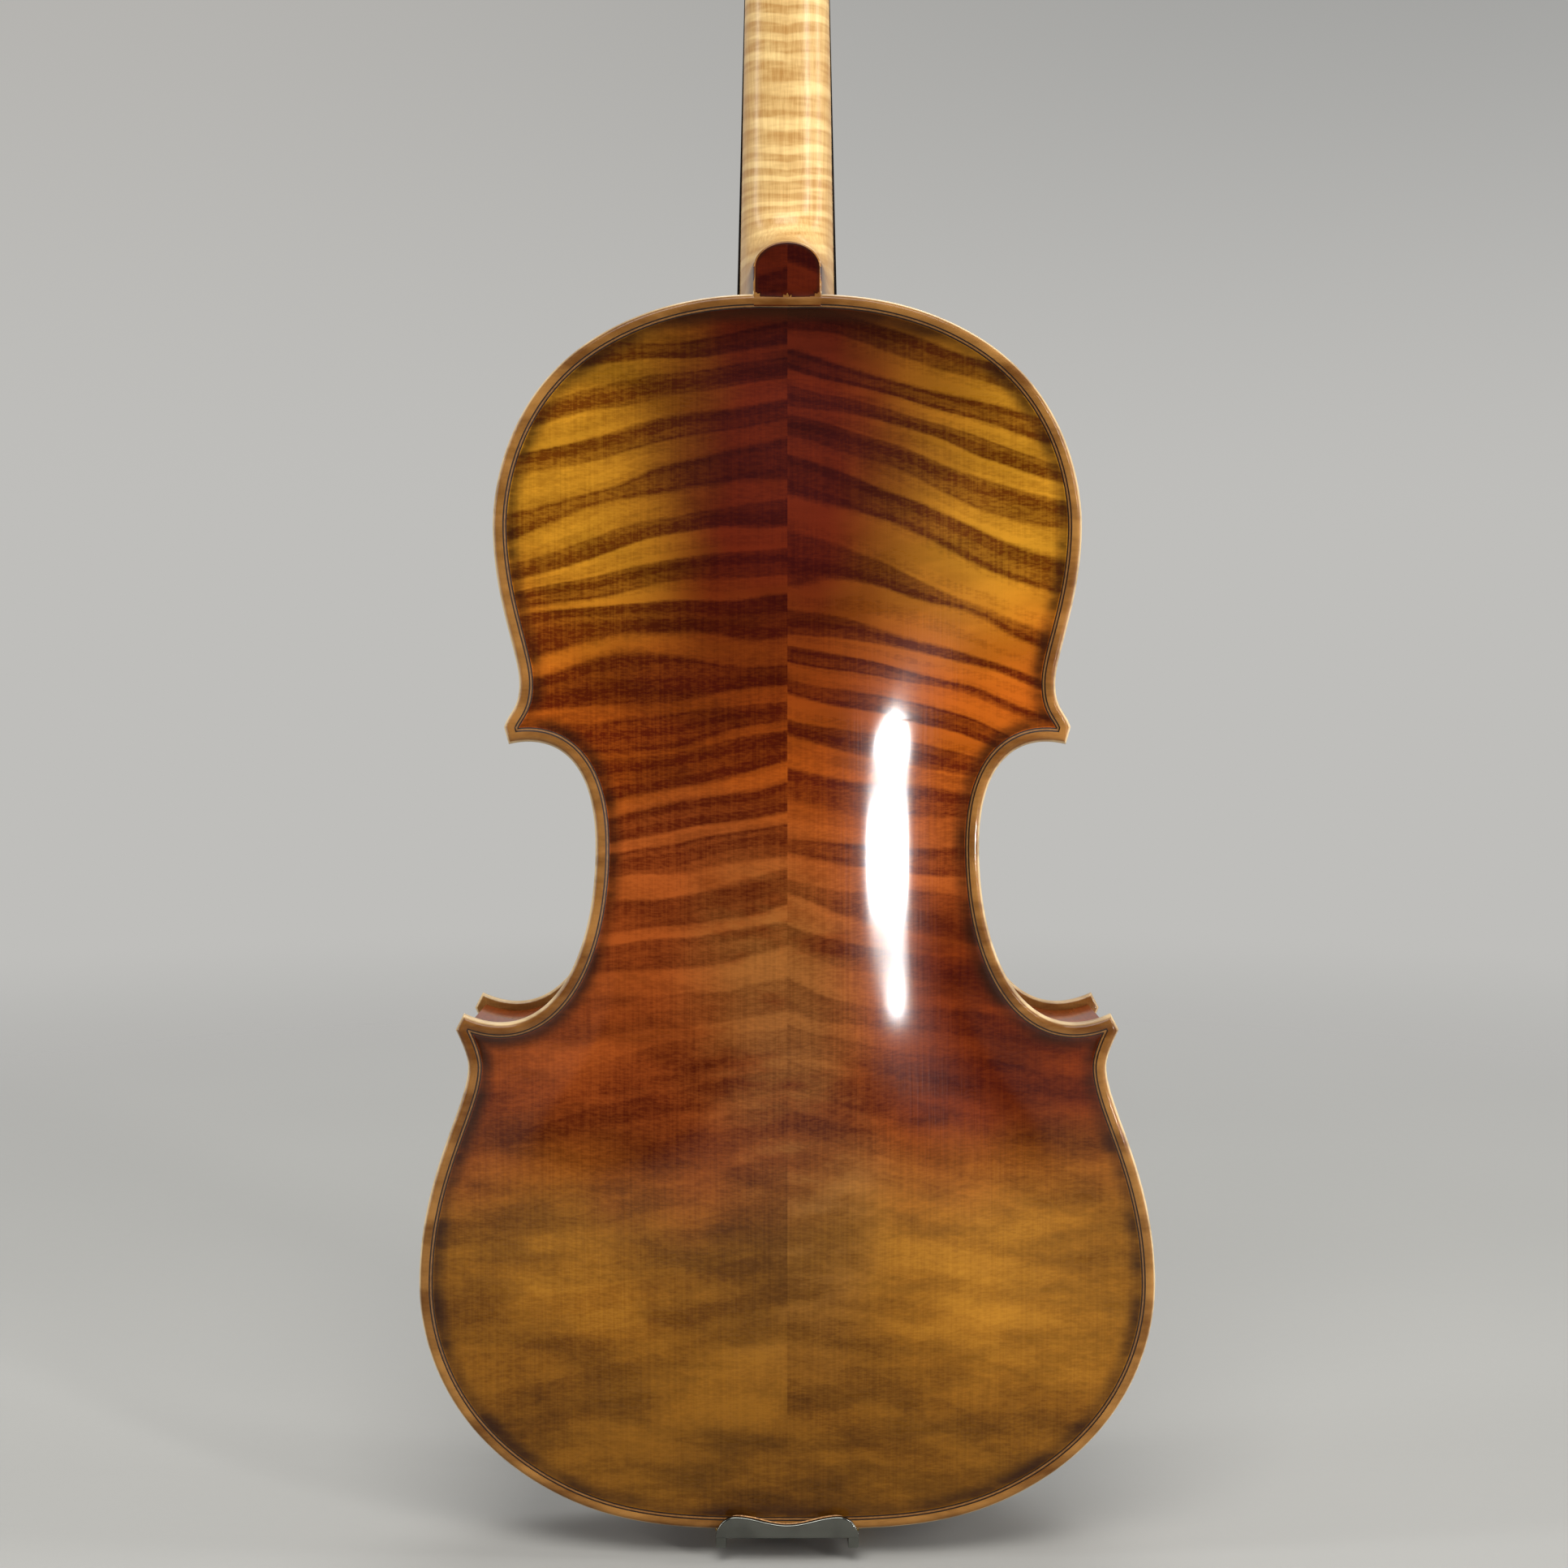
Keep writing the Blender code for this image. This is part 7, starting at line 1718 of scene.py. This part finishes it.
def make_chin_rest():
    outline = chin_outline(180)
    centre = np.array((CUP_REACH * 0.42, CUP_LENGTH * 0.40))
    rings = []
    for drop in (None, 0.0030, 0.0016, 0.0008):
        rings.append([(x, CHIN_SEAT if drop is None else chin_top(x, z) - drop, BODY_BOTTOM + z)
                      for x, z in outline])
    for shrink, drop in ((0.993, 0.0003), (0.982, 0.00006), (0.965, 0), (0.93, 0), (0.88, 0), (0.80, 0),
                         (0.70, 0), (0.58, 0), (0.44, 0), (0.30, 0), (0.15, 0), (0.02, 0)):
        rings.append([(x, chin_top(x, z) - drop, BODY_BOTTOM + z)
                      for x, z in centre + (outline - centre) * shrink])
    half = TAIL_END_HALF + 0.0068
    tunnel = []
    for v in (-0.02, TAIL_LENGTH * 0.7):
        wide, lift = half + (v + 0.02) * 0.10, TAIL_THICK + 0.0022
        arch = [(math.cos(a), -0.03 if a in (0, math.pi) else lift * max(0.3, math.sin(a)) ** 0.6)
                for a in np.linspace(0, math.pi, 21)]
        tunnel.append([on_tail(a * wide, n, v) for a, n in arch])
    foot = 0.0125
    slope = [(CHIN_SEAT - 0.01, foot), (CHIN_SEAT + 0.0050, foot), (CHIN_SEAT + 0.0118, CUP_LENGTH + 0.02),
             (CHIN_SEAT - 0.01, CUP_LENGTH + 0.02)]
    under = loft([[(x, y, BODY_BOTTOM + z) for y, z in slope] for x in (-0.08, 0.14)])
    past = SADDLE_SIDE + CHIN_FOOT
    lip = box((past, CHIN_SEAT - 0.01, BODY_BOTTOM - 0.02), (0.14, CHIN_SEAT + 0.0050, BODY_BOTTOM + foot + GAP))
    rest = cut(loft(rings), loft(tunnel), under, lip)
    piece(rest, "chin_rest", EBONY, ["chin_rest"], sharp=38)
    for name, way in SIDES:
        low, high = sorted((way * (SADDLE_SIDE + 0.001), way * (past - 0.001)))
        pad = bevelled(box((low, EDGE_PLANE + GAP, BODY_BOTTOM + 0.0015),
                           (high, CHIN_SEAT - GAP, BODY_BOTTOM + foot - 0.001)), 0.0003, 2)
        piece(pad, "chin_rest_cork_" + name, CORK, ["chin_rest_cork_" + name], sharp=60)


HIDDEN_WOOD = (("lining", "inner willow"), ("block", "inner willow"), ("bass_bar", "inner spruce"),
               ("sound_post", "inner spruce"))


def dress_inside():
    """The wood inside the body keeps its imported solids."""
    for name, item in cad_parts.items():
        for word, wood in HIDDEN_WOOD:
            if word in name:
                item.data.materials.clear()
                item.data.materials.append(bpy.data.materials[wood])


# Camera, lights, floor and backdrop

def floor_paper():
    """Pale grey paper, a little uneven, that fades into the backdrop's colour far away."""
    made, tree, shader, place = finish("grey paper", Roughness=0.9)
    cloud = noise(tree, place, (1.7, 1.7, 1.7), 2.0, 3.0)
    fibre = noise(tree, place, (180, 180, 180), 3.0)
    colour = mix(tree, cloud, tone(156, 155, 151), tone(170, 169, 165))
    lay(tree, shader, colour, calc(tree, "MULTIPLY_ADD", fibre, 0.1, 0.85), fibre, 0.0001)
    away = node(tree, "VectorMath", {0: place}, operation="LENGTH").outputs["Value"]
    tree.links.new(step(tree, away, 0.35, 1.6, 1.0, 0.0), shader.inputs["Alpha"])
    return made


def make_stage():
    bm = bmesh.new()
    bmesh.ops.create_circle(bm, cap_ends=True, segments=96, radius=1.7,
                            matrix=Matrix.Translation((0, 0, -FLOOR_GAP)))
    floor = plain_object(bm, "floor")
    floor.data.materials.append(floor_paper())


FLOOR_GAP = 0.0002
PHOTO_SIDE = 1932
FOCAL_PIXELS = 2441
CAMERA_PLACE = (-0.0016, -0.6651, 0.2985)
CAMERA_DOWN = math.radians(3.54)


def make_camera():
    data = bpy.data.cameras.new("camera")
    data.sensor_width = 36
    data.lens = 36 * FOCAL_PIXELS / PHOTO_SIDE
    data.clip_start = 0.01
    camera = bpy.data.objects.new("camera", data)
    camera.location = CAMERA_PLACE
    camera.rotation_euler = (math.pi / 2 - CAMERA_DOWN, 0, math.radians(-0.047))
    bpy.context.scene.collection.objects.link(camera)
    bpy.context.scene.camera = camera


def lamp(name, place, target, size, power, colour=(1, 1, 1), spread=180):
    data = bpy.data.lights.new(name, "AREA")
    data.shape = "RECTANGLE"
    data.size, data.size_y = size
    data.energy = power
    data.spread = math.radians(spread)
    data.color = colour
    item = bpy.data.objects.new(name, data)
    item.location = place
    item.rotation_euler = (Vector(target) - Vector(place)).to_track_quat("-Z", "Y").to_euler()
    bpy.context.scene.collection.objects.link(item)


def make_room():
    """Grey all round for the camera, with painted shade towards the top, most on the +X side; a dim room with a
    pale far side for the rest.
    """
    world = bpy.data.worlds.new("room")
    bpy.context.scene.world = world
    world.use_nodes = True
    tree = world.node_tree
    way = node(tree, "SeparateXYZ", {0: node(tree, "TexCoord").outputs["Generated"]}).outputs
    far = step(tree, way["Y"], -0.5, 0.6)
    room = mix(tree, far, (0.05, 0.05, 0.055, 1), (0.45, 0.46, 0.47, 1))
    room = mix(tree, step(tree, way["Z"], 0.1, 0.9), room, (0.32, 0.33, 0.34, 1))
    # Painted shade on the backdrop: darker towards the top, most on the +X side.
    high = step(tree, way["Z"], 0.05, 0.45)
    top_with_painted_shade = mix(tree, step(tree, way["X"], -0.35, 0.35), tone(176, 174, 170), tone(150, 150, 148))
    seen = mix(tree, high, tone(191, 190, 187), top_with_painted_shade)
    ray = node(tree, "LightPath").outputs
    mirrored = calc(tree, "MAXIMUM", ray["Is Glossy Ray"], ray["Is Transmission Ray"])
    shown = calc(tree, "MAXIMUM", ray["Is Camera Ray"], calc(tree, "MULTIPLY", mirrored, far))
    colour = mix(tree, shown, room, seen)
    tree.links.new(colour, tree.nodes["Background"].inputs["Color"])


def make_lights():
    lamp("window", (0.878, -0.924, 0.114), (0.030, -0.029, 0.2306), (0.09, 0.052), 0.36, (1.0, 0.99, 0.97), 40)
    lamp("tall window", (0.88, -0.90, 0.74), (0, 0, 0.50), (0.09, 0.5), 1.7, (1.0, 0.99, 0.97), 90)
    lamp("ceiling", (-0.1, -1.3, 2.1), (0, 0, 0.25), (1.8, 1.0), 42, (1.0, 0.985, 0.96))
    lamp("left strip", (-1.4, -0.25, 0.55), (0, 0, 0.25), (0.16, 1.3), 9)
    lamp("right strip", (1.4, -0.15, 0.55), (0, 0, 0.25), (0.16, 1.3), 9)
    lamp("far side", (0.3, 1.3, 2.2), (0, 0, 0.25), (1.6, 1.2), 20)


make_camera()
make_stage()
make_room()
make_lights()
bpy.context.scene.view_settings.view_transform = "Standard"
make_plates()
make_purfling()
make_ribs()
make_neck()
make_fingerboard()
make_nut()
make_pegs()
make_bridge()
make_tailpiece()
make_tail_gut()
make_saddle()
make_end_button()
make_strings()
make_fine_tuner()
make_clamp()
make_chin_rest()
dress_inside()
